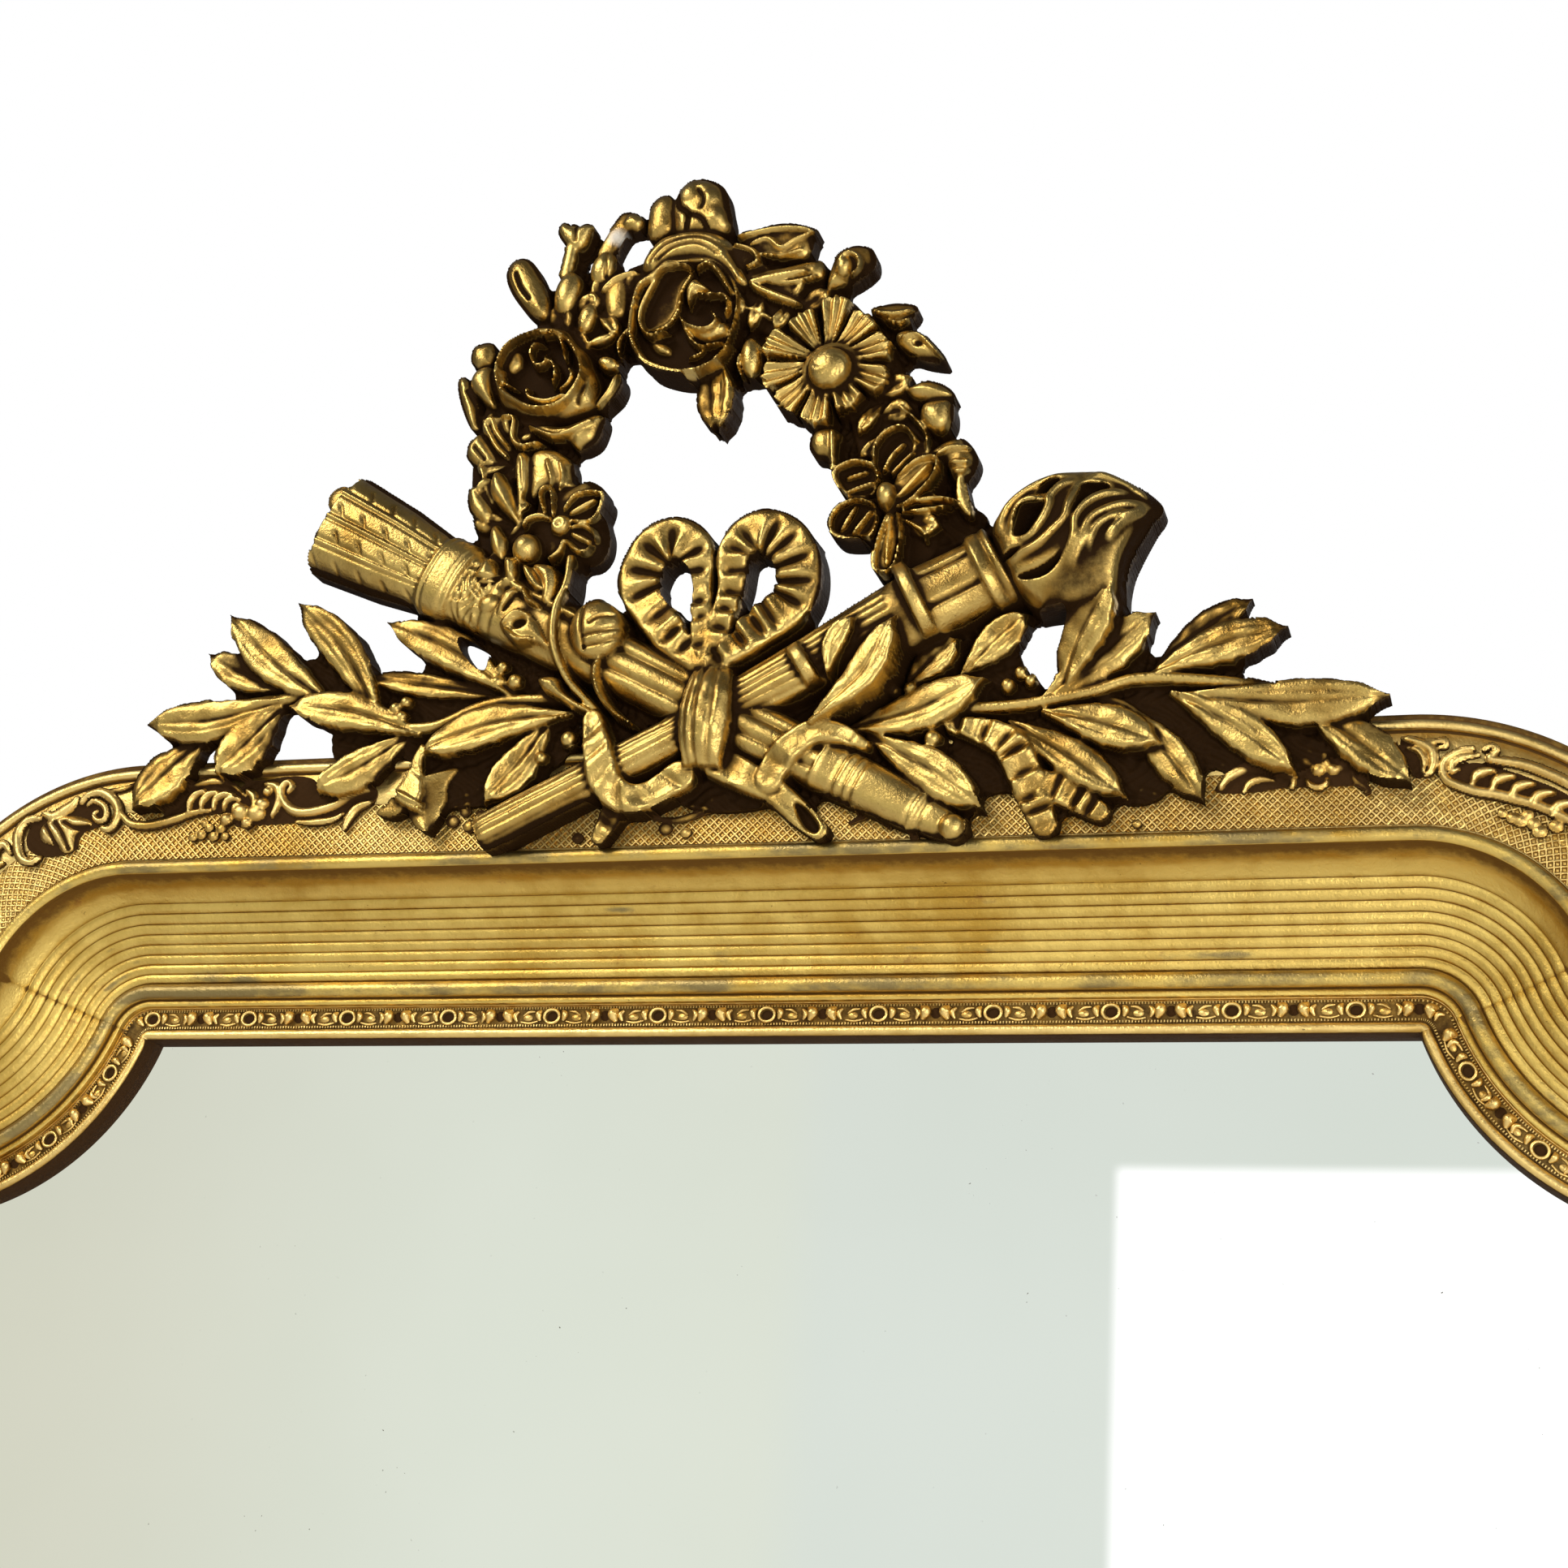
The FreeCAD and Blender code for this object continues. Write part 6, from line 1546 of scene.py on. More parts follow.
def draw_right_garland():
    own = "crest_wreath"
    for low, high, outline in (
        (10, 14.5, [(-1.9, 45.4), (0.1, 45.8), (1.9, 46.1), (3.6, 45.9), (5.5, 45.1), (5.4, 44.4),
            (4.8, 42.5), (2.9, 42.4), (0.3, 42.8), (-0.7, 43.8)]),
        (10, 14.5, [(-0.5, 41.4), (2.5, 41.8), (5.9, 42.1), (6.4, 40.4), (4.6, 39.7), (4.4, 38.0),
            (1.7, 38.8), (-0.1, 40.0)]),
        (10, 16.5, [(6.6, 39.4), (7.0, 41.9), (7.9, 43.0), (9.4, 43.2), (10.6, 42.6), (10.8, 41.0),
            (9.6, 39.9), (7.9, 39.2)]),
        (10, 14.5, [(10.6, 36.9), (12.7, 37.3), (14.6, 36.9), (14.6, 36.0), (13.4, 35.0), (11.7, 35.6)]),
        (10, 15.5, [(13.0, 34.5), (14.5, 34.7), (16.4, 33.1), (17.5, 31.4), (16.1, 31.5), (14.4, 32.2),
            (13.1, 33.4)]),
        (11, 18, [(14.1, 29.2), (15.6, 29.9), (17.4, 29.3), (18.3, 28.2), (17.1, 27.7), (15.8, 27.9),
            (14.6, 28.4)]),
        (12, 19, [(15.3, 26.9), (15.8, 27.9), (17.9, 27.9), (18.2, 26.0), (17.2, 25.0), (15.8, 25.7)]),
        (9, 15.5, [(6.0, 24.6), (6.3, 25.9), (7.4, 26.3), (8.7, 25.7), (8.6, 24.1), (8.2, 22.4),
            (7.5, 23.2), (6.6, 23.5)]),
        (9, 15.5, [(16.4, 23.1), (17.7, 24.2), (19.3, 24.2), (20.5, 22.3), (19.8, 20.5), (18.6, 20.5),
            (17.7, 22.0)]),
    ):
        lobe(own, outline, low, high, 2.6, 0.1)
    for wide, rise, line in (
        (0.6, 17, [(-1.7, 45.3), (1.9, 45.7), (4.3, 45.4), (5.2, 44.9)]),
        (0.5, 16.5, [(-0.5, 44.4), (1.0, 44.8), (2.3, 43.8), (3.5, 44.4), (4.8, 44.9)]),
        (0.4, 15.5, [(0.2, 43.4), (2.4, 43.0), (4.2, 43.4)]),
        (0.9, 18, [(-0.3, 40.7), (1.8, 41.0), (4.6, 41.3)]),
        (0.8, 18, [(-0.1, 40.4), (1.9, 39.3), (4.2, 38.2)]),
        (0.5, 16.5, [(1.4, 40.4), (3.6, 40.3), (5.6, 40.7)]),
        (0.45, 20, [(7.5, 42.0), (8.3, 42.7), (9.2, 42.2), (9.3, 41.1), (8.7, 40.6)]),
        (0.5, 16.5, [(11.0, 36.7), (12.7, 36.4), (14.3, 36.6)]),
        (0.45, 16, [(12.0, 35.8), (13.2, 35.5), (14.0, 35.8)]),
        (0.45, 17, [(13.5, 34.1), (14.8, 34.3), (16.2, 32.9), (17.1, 31.7)]),
        (0.45, 15, [(13.6, 27.7), (15.1, 26.3), (16.0, 24.9), (16.2, 23.3)]),
        (0.6, 16.5, [(7.9, 26.0), (8.1, 23.7), (8.2, 22.2)]),
        (0.5, 17.5, [(16.9, 23.0), (18.1, 23.6), (19.7, 23.5)]),
        (0.5, 17.5, [(18.0, 22.3), (19.7, 22.2)]),
        (0.5, 17, [(18.5, 21.4), (19.7, 21.5)]),
        (1.2, 14, [(19.0, 20.8), (19.3, 18.9), (20.0, 17.4)]),
        (0.45, 12, [(-1.1, 38.1), (0.3, 38.0), (1.5, 37.2), (2.5, 36.5)]),
        (0.4, 16, [(-0.8, 33.9), (-0.8, 32.7), (-0.3, 31.5)]),
        (0.4, 16, [(0.8, 34.8), (1.8, 33.2), (2.1, 32.1)]),
    ):
        ridge(own, wide, rise, line)
    dome(own, 8.0, 41.5, 0.8, 1.1, 19, 14, 6)
    dent(own, 14.9, 33.4, 0.45, 0.25, 16, -3.0, -0.4)
    dome(own, 0.2, 33.6, 1.0, 1.95, 18, 12, 7, 0.1)
    dome(own, 7.35, 31.9, 2.7, 2.6, 22, 16, 5)


def draw_half_open_rose():
    own = "crest_wreath"
    for low, high, laid_shade_and_grime, outline in (
        (16, 12, 0.45, [(11.6, 22.6), (11.7, 24.6), (13.0, 25.9), (14.7, 25.4), (15.2, 23.4),
            (13.7, 21.4)]),
        (14, 18, 0.0, [(13.5, 21.0), (15.3, 22.7), (16.9, 22.9), (16.8, 21.3), (15.4, 19.5), (13.8, 18.4)]),
        (14, 17, 0.0, [(13.0, 18.4), (13.8, 18.4), (14.2, 16.3), (13.9, 13.7), (13.1, 12.8), (12.2, 13.4),
            (12.3, 15.5)]),
        (17, 13, 0.35, [(8.2, 17.3), (8.7, 18.8), (10.3, 19.6), (11.8, 19.2), (12.4, 17.6), (11.9, 16.0),
            (10.9, 15.9), (9.0, 16.2)]),
        (17, 13, 0.35, [(8.3, 22.4), (9.9, 23.1), (11.6, 22.6), (12.2, 21.0), (11.8, 19.6), (9.7, 19.6),
            (8.7, 21.0)]),
    ):
        lobe(own, outline, low, high, 2.0, laid_shade_and_grime)
    for wide, rise, line in (
        (0.45, 20, [(11.7, 22.4), (11.7, 24.3), (12.7, 25.6), (14.1, 25.8), (15.1, 24.6)]),
        (0.45, 18, [(12.5, 21.8), (13.2, 23.2), (14.2, 24.3)]),
        (0.45, 18, [(13.2, 21.5), (15.0, 23.4)]),
        (0.45, 21.5, [(13.7, 21.3), (15.3, 22.7), (16.9, 22.8), (16.7, 21.2), (15.4, 19.6), (14.2, 18.6)]),
        (0.5, 20.5, [(13.9, 19.5), (16.3, 22.2)]),
        (0.6, 19, [(13.8, 18.6), (15.4, 19.0), (17.5, 19.1), (18.7, 18.8)]),
        (0.5, 17.5, [(14.2, 18.0), (16.7, 18.2), (18.3, 18.4)]),
        (0.45, 20.5, [(13.8, 18.3), (14.2, 16.3), (13.9, 13.7), (13.1, 12.9), (12.2, 13.4), (12.3, 15.5),
            (13.0, 18.0)]),
        (0.45, 19, [(13.3, 17.8), (13.2, 13.5)]),
        (0.4, 15.5, [(14.2, 17.5), (16.0, 16.4), (16.4, 15.4)]),
        (0.45, 20.5, [(11.9, 19.0), (10.3, 19.5), (8.7, 18.8), (8.2, 17.3), (9.0, 16.3), (10.9, 16.0)]),
        (0.45, 19, [(10.2, 16.4), (11.7, 18.4)]),
        (0.45, 18.5, [(9.2, 16.7), (10.4, 18.9)]),
        (0.45, 20.5, [(9.7, 19.8), (8.7, 21.0), (8.4, 22.3), (9.9, 23.0), (11.6, 22.5), (12.2, 21.0)]),
        (0.45, 18.5, [(9.6, 20.2), (11.8, 20.9)]),
        (0.4, 18, [(9.4, 21.4), (11.2, 21.9)]),
    ):
        ridge(own, wide, rise, line)
    dome(own, 12.75, 19.9, 0.85, 1.15, 24, 19, 7, mode="over")


def draw_buds():
    own = "crest_wreath"
    lobe(own, [(-19.0, 38.8), (-20.6, 39.4), (-22.4, 41.6), (-23.2, 43.6), (-22.7, 45.0), (-21.3, 45.1),
        (-20.0, 43.6), (-18.6, 40.2)], 9, 15, 3.0)
    score(own, 0.45, 14, 2.0, [(-22.2, 43.6), (-21.6, 42.2), (-20.7, 41.0)], 0.8)
    for x, z, rx, rz, rise, turn in (
        (-17.4, 41.6, 1.3, 2.2, 9, -0.15),
        (-14.2, 43.7, 1.25, 1.75, 9, -0.3),
        (-15.2, 38.8, 0.9, 1.5, 11, -0.2),
        (-13.6, 36.4, 1.3, 0.5, 11, 0.3),
        (-12.8, 34.1, 1.1, 0.7, 12, -0.4),
    ):
        bud(own, x, z, rx, rz, rise, turn)
    stem(own, [(-17.3, 42.8, 9), (-17.0, 45.0, 9), (-17.0, 47.2, 9)], 1.3)
    lobe(own, [(-17.7, 46.0), (-18.6, 47.4), (-18.2, 48.4), (-17.0, 47.9), (-15.8, 48.0), (-15.2, 47.5),
        (-15.8, 45.8), (-16.6, 45.4)], 9, 14, 2.0)
    score(own, 0.4, 13, 1.6, [(-16.9, 47.6), (-16.8, 46.4)])
    score(own, 0.35, 14, 1.5, [(-13.7, 44.8), (-13.5, 43.6), (-13.6, 42.4)])
    stem(own, [(-13.6, 44.6, 9), (-13.0, 46.0, 9), (-12.0, 47.6, 8)], 1.9)
    lobe(own, [(-12.6, 47.4), (-12.0, 48.6), (-11.0, 48.4), (-10.4, 47.6), (-10.8, 46.8), (-11.8, 46.8)],
        9, 14, 2.0)
    lobe(own, [(-10.2, 46.4), (-10.2, 48.8), (-9.2, 50.1), (-7.9, 49.8), (-7.3, 48.2), (-7.6, 46.2),
        (-9.4, 45.6)], 9, 15, 3.0)
    lobe(own, [(-8.0, 47.6), (-7.9, 49.8), (-6.8, 51.3), (-5.2, 51.45), (-3.4, 50.4), (-2.7, 48.4),
        (-2.5, 46.0), (-5.4, 45.2), (-7.4, 45.8)], 9, 17, 3.5)
    for x, z, r, d in (
        (-6.6, 50.0, 0.9, 1.6), (-4.4, 49.4, 0.9, 1.4), (-3.6, 47.6, 0.8, 1.2), (-5.2, 50.6, 0.7, 1.0),
    ):
        dent(own, x, z, r, r, 16, d)
    score(own, 0.6, 16, 2.6, [(-7.6, 50.0), (-7.3, 48.8), (-6.4, 47.9), (-6.5, 46.6)], 0.6)
    score(own, 0.5, 16, 2.0, [(-6.4, 47.9), (-5.2, 47.4), (-4.6, 46.4)], 0.6)
    score(own, 0.4, 16, 1.4, [(-5.6, 50.2), (-5.0, 49.2), (-5.2, 48.4)], 0.4)
    leaf(own, (-3.6, 33.4), (-2.6, 26.6), 2.6, 10, 13, 0.04)
    leaf(own, (-2.2, 33.2), (-2.0, 26.4), 2.0, 12, 15, 0.05)
    break_x, break_z = place(-12.9, 46.3, 12)
    bare = np.exp(-(((relief.x - break_x) / 6.5) ** 2 + ((relief.z - break_z) / 6.0) ** 2))
    relief.chalk += np.clip(bare * 1.5 - 0.5, 0, 1) * 0.85


def draw_spray():
    """Small leaves and buds that hang from the wreath over the quiver."""
    own = "crest_wreath"
    for low, high, outline in (
        (18, 27, [(-23.2, 14.5), (-22.6, 15.8), (-21.8, 16.4), (-21.0, 15.3), (-20.9, 13.9),
            (-22.2, 13.3)]),
        (20, 26, [(-20.6, 16.3), (-19.4, 16.0), (-19.3, 14.1), (-20.3, 14.4)]),
        (18, 24, [(-17.9, 15.4), (-15.9, 15.2), (-15.3, 13.3), (-15.8, 11.5), (-16.8, 11.7),
            (-17.0, 13.4)]),
        (22, 27, [(-18.9, 15.5), (-18.1, 15.3), (-16.8, 13.4), (-17.4, 13.1), (-18.4, 14.1)]),
        (20, 26, [(-20.7, 10.8), (-20.5, 12.8), (-19.5, 13.5), (-18.8, 13.0), (-19.2, 11.9)]),
        (19, 25, [(-20.4, 10.2), (-19.1, 11.5), (-17.8, 11.3), (-16.4, 9.8), (-15.6, 7.7), (-17.0, 8.1),
            (-18.1, 8.0), (-19.3, 8.8)]),
        (15, 21, [(-16.4, 5.1), (-14.6, 5.1), (-13.6, 3.6), (-10.3, 1.4), (-12.5, 2.0), (-14.4, 3.1),
            (-16.0, 4.1)]),
        (17, 23, [(-11.8, 6.0), (-11.2, 7.2), (-9.3, 8.1), (-9.1, 7.5), (-10.4, 6.2), (-10.6, 4.8),
            (-9.7, 2.6), (-7.6, 0.7), (-9.6, 1.5), (-11.4, 3.8)]),
    ):
        lobe(own, outline, low, high, 2.2)
    for wide, rise, line in (
        (0.5, 27.5, [(-18.7, 13.5), (-18.1, 12.4), (-17.2, 11.8)]),
        (0.55, 27, [(-20.2, 10.2), (-19.1, 11.2), (-17.9, 10.9)]),
        (0.55, 27, [(-20.0, 9.8), (-18.8, 8.8), (-17.4, 8.7)]),
        (0.5, 25, [(-11.1, 6.7), (-11.4, 5.5), (-10.9, 3.7), (-9.4, 1.8)]),
    ):
        ridge(own, wide, rise, line, 4.0)
    stem(own, [(-14.3, 15.6, 17), (-14.5, 13.3, 20), (-15.2, 11.4, 22), (-15.3, 9.2, 22), (-14.8, 7.1, 20),
        (-13.3, 4.4, 16), (-10.6, 1.7, 12)], 0.8)
    score(own, 0.5, 26, 2.2, [(-23.0, 14.5), (-21.0, 14.5)])
    score(own, 0.45, 25, 2.0, [(-22.7, 13.9), (-21.0, 13.9)])
    score(own, 0.4, 25, 1.8, [(-20.2, 11.4), (-19.3, 12.9)])
    dent(own, -18.6, 10.1, 0.8, 0.5, 25, -4.5, 0.2)
    dome(own, -11.8, 9.4, 2.4, 2.7, 27, 20, 10, 0.2)
    for line in (
        [(-12.0, 9.7), (-11.2, 10.2), (-10.2, 10.4)], [(-12.5, 8.6), (-11.0, 8.9), (-9.5, 9.4)],
        [(-12.6, 7.7), (-11.2, 7.9), (-9.7, 8.5)], [(-12.9, 11.3), (-12.8, 9.4), (-12.6, 7.6)],
    ):
        score(own, 0.38, 28, 1.7, line, 0.3)
    bud(own, -21.6, 12.2, 1.1, 0.9, 19, 0.3)


def draw_wreath():
    own = "crest_wreath"
    ring = [(-13.6, 7.5, 6), (-18.5, 14, 6), (-21, 22, 6), (-20.6, 30, 6), (-17.6, 36, 6), (-12, 39.6, 6),
        (-5, 40.6, 6), (2, 38.6, 6), (8, 34, 6), (12, 28, 6), (14.2, 20, 6), (15.2, 15, 6)]
    half = (1.6, 2.6, 2.9, 3.2, 3.0, 2.7, 3.4, 3.0, 3.4, 3.0, 3.0, 2.4)
    # The ring under the leaves is darkened: painted shade
    relief.stroke(own, ring, by_steps(half), lambda u, v, w: 6 + 2 * round_off(v), count=160, laid_shade_and_grime=0.55)
    spine = smooth_line([point[:2] for point in ring], 62)
    for k in range(2, 60):
        ahead = spine[k + 1] - spine[k - 1]
        ahead = ahead / np.hypot(*ahead)
        side = np.array([-ahead[1], ahead[0]]) * (1 if k % 2 else -1)
        lean = 0.9 * math.sin(k * 2.3)
        tip = spine[k] + side * (2.9 + 0.5 * math.sin(k * 1.7)) + ahead * (0.9 + lean)
        wide, high = 1.8 + 0.4 * math.sin(k * 3.1), 11 + 1.5 * math.sin(k * 1.3)
        leaf(own, tuple(spine[k] - side * 0.4), tuple(tip), wide, 8, high, 0.08 * math.sin(k), laid_shade_and_grime=0.3)
    draw_buds()
    draw_left_garland()
    draw_small_rose()
    draw_right_garland()
    draw_sunflower(own)
    draw_half_open_rose()
    draw_left_rose()
    draw_top_rose()
    draw_spray()


# Scrolls on the frieze, at their true places
def scroll(owner, points, wide, rise):
    """A raised line that curls and thins to its ends."""
    def half(u):
        return wide / 2 * (0.45 + 0.55 * np.sin(PI * np.clip(u, 0, 1)))

    line = [(x, z, READ_RISE) for x, z in points]
    relief.stroke(owner, line, half, lambda u, v, w: 0.4 + rise * round_off(v))


def ground(owner, outline):
    """Sunk dark ground behind a group of scrolls."""
    def height(f, x, z):
        return 0.7 + 0.35 * np.sin(x * 1.1) * np.sin(z * 1.3)

    relief.region(owner, outline, height, READ_RISE, laid_shade_and_grime=0.8)


def pearls(owner, places, low, rise, squash=0.9):
    for x, z, r in places:
        dome(owner, x, z, r, r * squash, READ_RISE, low, rise)


def shell_leaf(owner, outline, cuts):
    """A fat acanthus leaf with grooves between its fingers."""
    relief.region(owner, outline, lambda f, x, z: 0.8 + 5.0 * (1 - np.exp(-f / 2.4)), READ_RISE)
    for line in cuts:
        score(owner, 0.5, READ_RISE, 2.4, line, 0.7)


def draw_left_rocaille(own):
    ground(own, [(-51.6, -5.4), (-50.8, -3.6), (-49.2, -2.3), (-46.8, -1.9), (-44.6, -2.5), (-43.4, -3.7),
        (-43.5, -4.8), (-46.7, -5.0), (-50.1, -5.5)])
    ground(own, [(-44.1, -2.4), (-42.0, -2.1), (-39.9, -1.8), (-37.6, -2.1), (-35.6, -3.6), (-31.8, -3.0),
        (-31.6, -4.6), (-34.2, -5.6), (-38.5, -6.0), (-42.3, -6.1), (-44.6, -5.9)])
    ground(own, [(-64.6, -5.4), (-62.6, -4.2), (-60.0, -3.4), (-57.4, -3.6), (-57.0, -5.4), (-59.4, -6.4),
        (-60.0, -8.0), (-63.0, -8.4), (-64.8, -7.4)])
    for wide, rise, line in (
        (1.0, 3.6, [(-63.8, -4.9), (-65.0, -5.1), (-65.7, -6.1), (-65.6, -7.4), (-65.0, -8.6),
            (-63.9, -9.0), (-63.2, -8.6)]),
        (1.2, 3.4, [(-63.4, -4.5), (-62.4, -4.8), (-61.4, -4.3), (-60.6, -3.7), (-60.3, -3.2)]),
        (1.0, 3.8, [(-59.8, -3.6), (-59.1, -2.9), (-58.0, -2.7), (-56.8, -3.3), (-56.0, -4.3),
            (-56.0, -5.5), (-56.6, -6.2), (-57.3, -6.0)]),
        (0.65, 3.4, [(-59.2, -3.8), (-58.6, -3.5), (-57.7, -3.8), (-57.2, -4.4), (-57.2, -5.2),
            (-57.9, -5.3), (-58.4, -4.8), (-58.1, -4.4)]),
        (0.45, 1.8, [(-58.6, -2.6), (-57.2, -2.6), (-55.8, -2.4), (-54.8, -2.0)]),
        (0.95, 3.4, [(-56.1, -4.1), (-55.4, -5.0), (-54.5, -5.7), (-53.1, -5.9), (-51.5, -5.7),
            (-49.9, -5.3), (-48.6, -4.9), (-47.0, -4.7)]),
        (0.6, 3.0, [(-50.4, -3.9), (-49.2, -2.6), (-47.1, -2.1), (-45.1, -2.5), (-43.7, -3.5)]),
        (0.85, 4.2, [(-48.9, -4.9), (-49.0, -4.0), (-48.6, -3.3), (-47.7, -2.9)]),
        (0.85, 4.2, [(-47.7, -4.6), (-47.8, -4.0), (-47.3, -3.3), (-46.4, -3.1)]),
        (0.8, 4.2, [(-46.6, -4.6), (-46.5, -3.7), (-45.7, -3.3), (-44.8, -3.4)]),
        (0.7, 4.0, [(-45.6, -4.8), (-45.5, -4.0), (-44.9, -3.7), (-44.2, -3.8)]),
        (0.6, 3.6, [(-44.7, -4.9), (-44.6, -4.4), (-44.0, -4.2)]),
        (0.9, 4.0, [(-43.6, -3.0), (-42.8, -3.7), (-42.7, -4.8)]),
        (0.9, 4.0, [(-41.9, -2.5), (-40.8, -2.8), (-40.4, -3.8), (-40.6, -4.8), (-40.9, -5.4)]),
        (0.95, 4.2, [(-39.6, -3.3), (-39.3, -2.8), (-39.7, -2.4), (-40.2, -2.7), (-40.2, -3.4),
            (-39.8, -4.3), (-38.9, -5.0), (-37.6, -5.2), (-35.8, -4.9), (-33.8, -4.2), (-31.8, -3.5)]),
        (0.7, 3.0, [(-38.5, -6.0), (-37.0, -6.1), (-35.1, -5.9), (-34.2, -5.4)]),
        (1.0, 3.4, [(-33.9, -6.8), (-33.6, -5.8), (-32.9, -4.9), (-31.7, -4.5)]),
        (0.9, 3.2, [(-66.2, -8.1), (-67.0, -7.2), (-67.8, -7.8), (-67.6, -9.2), (-66.8, -9.0)]),
        (1.0, 2.8, [(-68.6, -9.6), (-70.2, -8.8), (-71.6, -10.4), (-71.4, -13.2), (-70.6, -14.2)]),
        (0.6, 2.0, [(-6.6, -6.6), (-4.0, -6.9), (-1.4, -6.2), (1.6, -6.0)]),
    ):
        scroll(own, line, wide, rise)
    fingers = (
        [(-63.0, -5.6), (-62.3, -6.4), (-61.6, -7.6)],
        [(-62.0, -5.4), (-61.1, -6.4), (-60.4, -7.8)],
        [(-61.1, -5.4), (-60.0, -5.9), (-58.8, -5.8)],
    )
    shell_leaf(own, [(-63.6, -5.9), (-62.7, -5.0), (-61.0, -4.7), (-59.0, -5.1), (-58.5, -5.8),
        (-59.7, -6.3), (-59.9, -7.0), (-60.0, -8.0), (-60.8, -8.2), (-61.5, -7.7), (-62.3, -7.4),
        (-63.3, -7.0)], fingers)
    pearls(own, ((-45.2, -5.6, 0.65), (-43.9, -5.0, 0.95), (-42.5, -5.1, 1.0), (-42.0, -4.3, 0.7),
        (-41.6, -3.2, 0.5), (-43.2, -6.0, 0.6)), 1.0, 4.2, 0.85)
    pearls(own, ((-48.3, -7.1, 0.45), (-47.5, -6.9, 0.5), (-46.8, -6.3, 0.45), (-45.7, -6.4, 0.5),
        (-45.2, -7.1, 0.4), (-47.3, -5.9, 0.4), (-46.3, -7.1, 0.5)), 0.6, 2.4)
    pearls(own, ((-24.0, -6.4, 0.6), (-22.4, -6.9, 0.6), (-21.4, -6.0, 0.55), (-22.9, -5.6, 0.5),
        (-5.0, -7.6, 0.6), (-3.2, -8.0, 0.5), (-12.6, -8.2, 0.5)), 0.6, 2.2)


def draw_right_rocaille(own):
    ground(own, [(57.0, -5.4), (57.5, -4.6), (58.8, -4.3), (60.4, -4.7), (62.7, -5.6), (65.4, -7.0),
        (67.6, -9.2), (68.0, -11.0), (65.6, -8.9), (62.3, -7.2), (58.8, -6.2)])
    ground(own, [(53.4, -2.6), (55.0, -2.8), (55.6, -4.2), (54.8, -5.4), (53.6, -4.2)])
    ground(own, [(39.6, -5.9), (40.6, -4.6), (43.2, -3.7), (45.6, -4.4), (47.4, -3.4), (49.8, -4.0),
        (50.6, -5.6), (48.2, -5.8), (46.4, -5.8), (44.8, -5.8), (42.0, -6.1)])
    for wide, rise, line in (
        (0.95, 3.6, [(58.8, -3.3), (57.8, -3.4), (56.8, -4.0), (56.5, -4.8), (56.8, -5.6), (57.6, -6.1),
            (58.9, -6.6), (60.4, -6.9), (61.7, -7.3), (63.2, -7.8), (65.4, -9.0), (67.4, -10.6),
            (68.8, -12.4)]),
        (0.7, 3.0, [(59.2, -3.8), (58.0, -3.9), (57.3, -4.3), (57.2, -5.0), (57.7, -4.8)]),
        (0.95, 3.8, [(59.6, -3.4), (60.1, -3.1), (60.5, -3.5), (59.9, -4.1), (60.7, -4.3), (62.2, -4.6),
            (63.7, -5.2), (65.5, -6.2), (67.8, -8.0), (69.6, -10.2)]),
        (0.6, 2.8, [(55.4, -2.5), (56.1, -2.6), (56.7, -2.5), (56.8, -3.0), (56.3, -3.1)]),
        (0.95, 3.6, [(53.7, -2.3), (54.8, -2.6), (55.7, -3.2), (55.9, -4.1), (55.7, -4.9), (55.3, -5.2)]),
        (0.65, 3.4, [(54.0, -3.0), (54.8, -3.3), (55.2, -4.1), (55.1, -4.9)]),
        (1.1, 3.6, [(40.0, -5.7), (40.7, -4.8), (41.9, -4.2), (43.3, -4.1), (44.6, -4.6), (45.5, -5.3),
            (45.4, -5.8)]),
        (0.7, 3.2, [(41.8, -6.1), (42.2, -5.4), (43.1, -5.1), (44.1, -5.3)]),
        (0.6, 3.0, [(46.5, -5.3), (46.8, -5.7), (47.4, -5.9), (48.0, -5.6), (48.0, -5.2)]),
        (0.65, 3.2, [(49.9, -4.9), (50.2, -5.5), (50.7, -5.9), (51.1, -6.3), (50.9, -6.5)]),
        (0.6, 1.8, [(10.6, -7.6), (12.4, -7.0), (14.0, -8.2)]),
    ):
        scroll(own, line, wide, rise)
    for k in range(6):
        x, z = 58.7 + 1.4 * k, -6.0 - 0.44 * k - 0.06 * k * k
        scroll(own, [(x, z), (x + 0.3, z + 0.65), (x + 0.9, z + 0.9), (x + 1.6, z + 0.9)], 0.9, 4.2)
    pearls(own, ((61.5, -8.8, 0.5), (62.1, -9.0, 0.6), (62.6, -8.6, 0.5), (63.0, -9.3, 0.55),
        (63.4, -9.9, 0.6), (64.6, -9.5, 0.6), (60.8, -8.4, 0.4)), 0.6, 2.6)
    pearls(own, ((47.4, -4.5, 0.6), (47.9, -4.0, 0.5), (46.9, -4.0, 0.5), (48.5, -4.5, 0.55),
        (49.2, -4.3, 0.5), (50.7, -5.3, 0.5), (33.6, -8.4, 0.4), (16.0, -9.0, 0.4)), 0.6, 2.8)


def painted_shade_ground(owner, outline):
    """Sunk ground that stays on the frame between the lower leaves, darkened as painted shade."""
    def height(f, x, z):
        return 4.1 + 1.1 * np.sin(x * 0.6 + 2 * np.sin(z * 0.31)) * np.sin(z * 0.7 + 1.5 * np.sin(x * 0.23))

    relief.region(owner, outline, height, 4, laid_shade_and_grime=0.72)


ROCAILLE = ("rocaille_left", "rocaille_right")
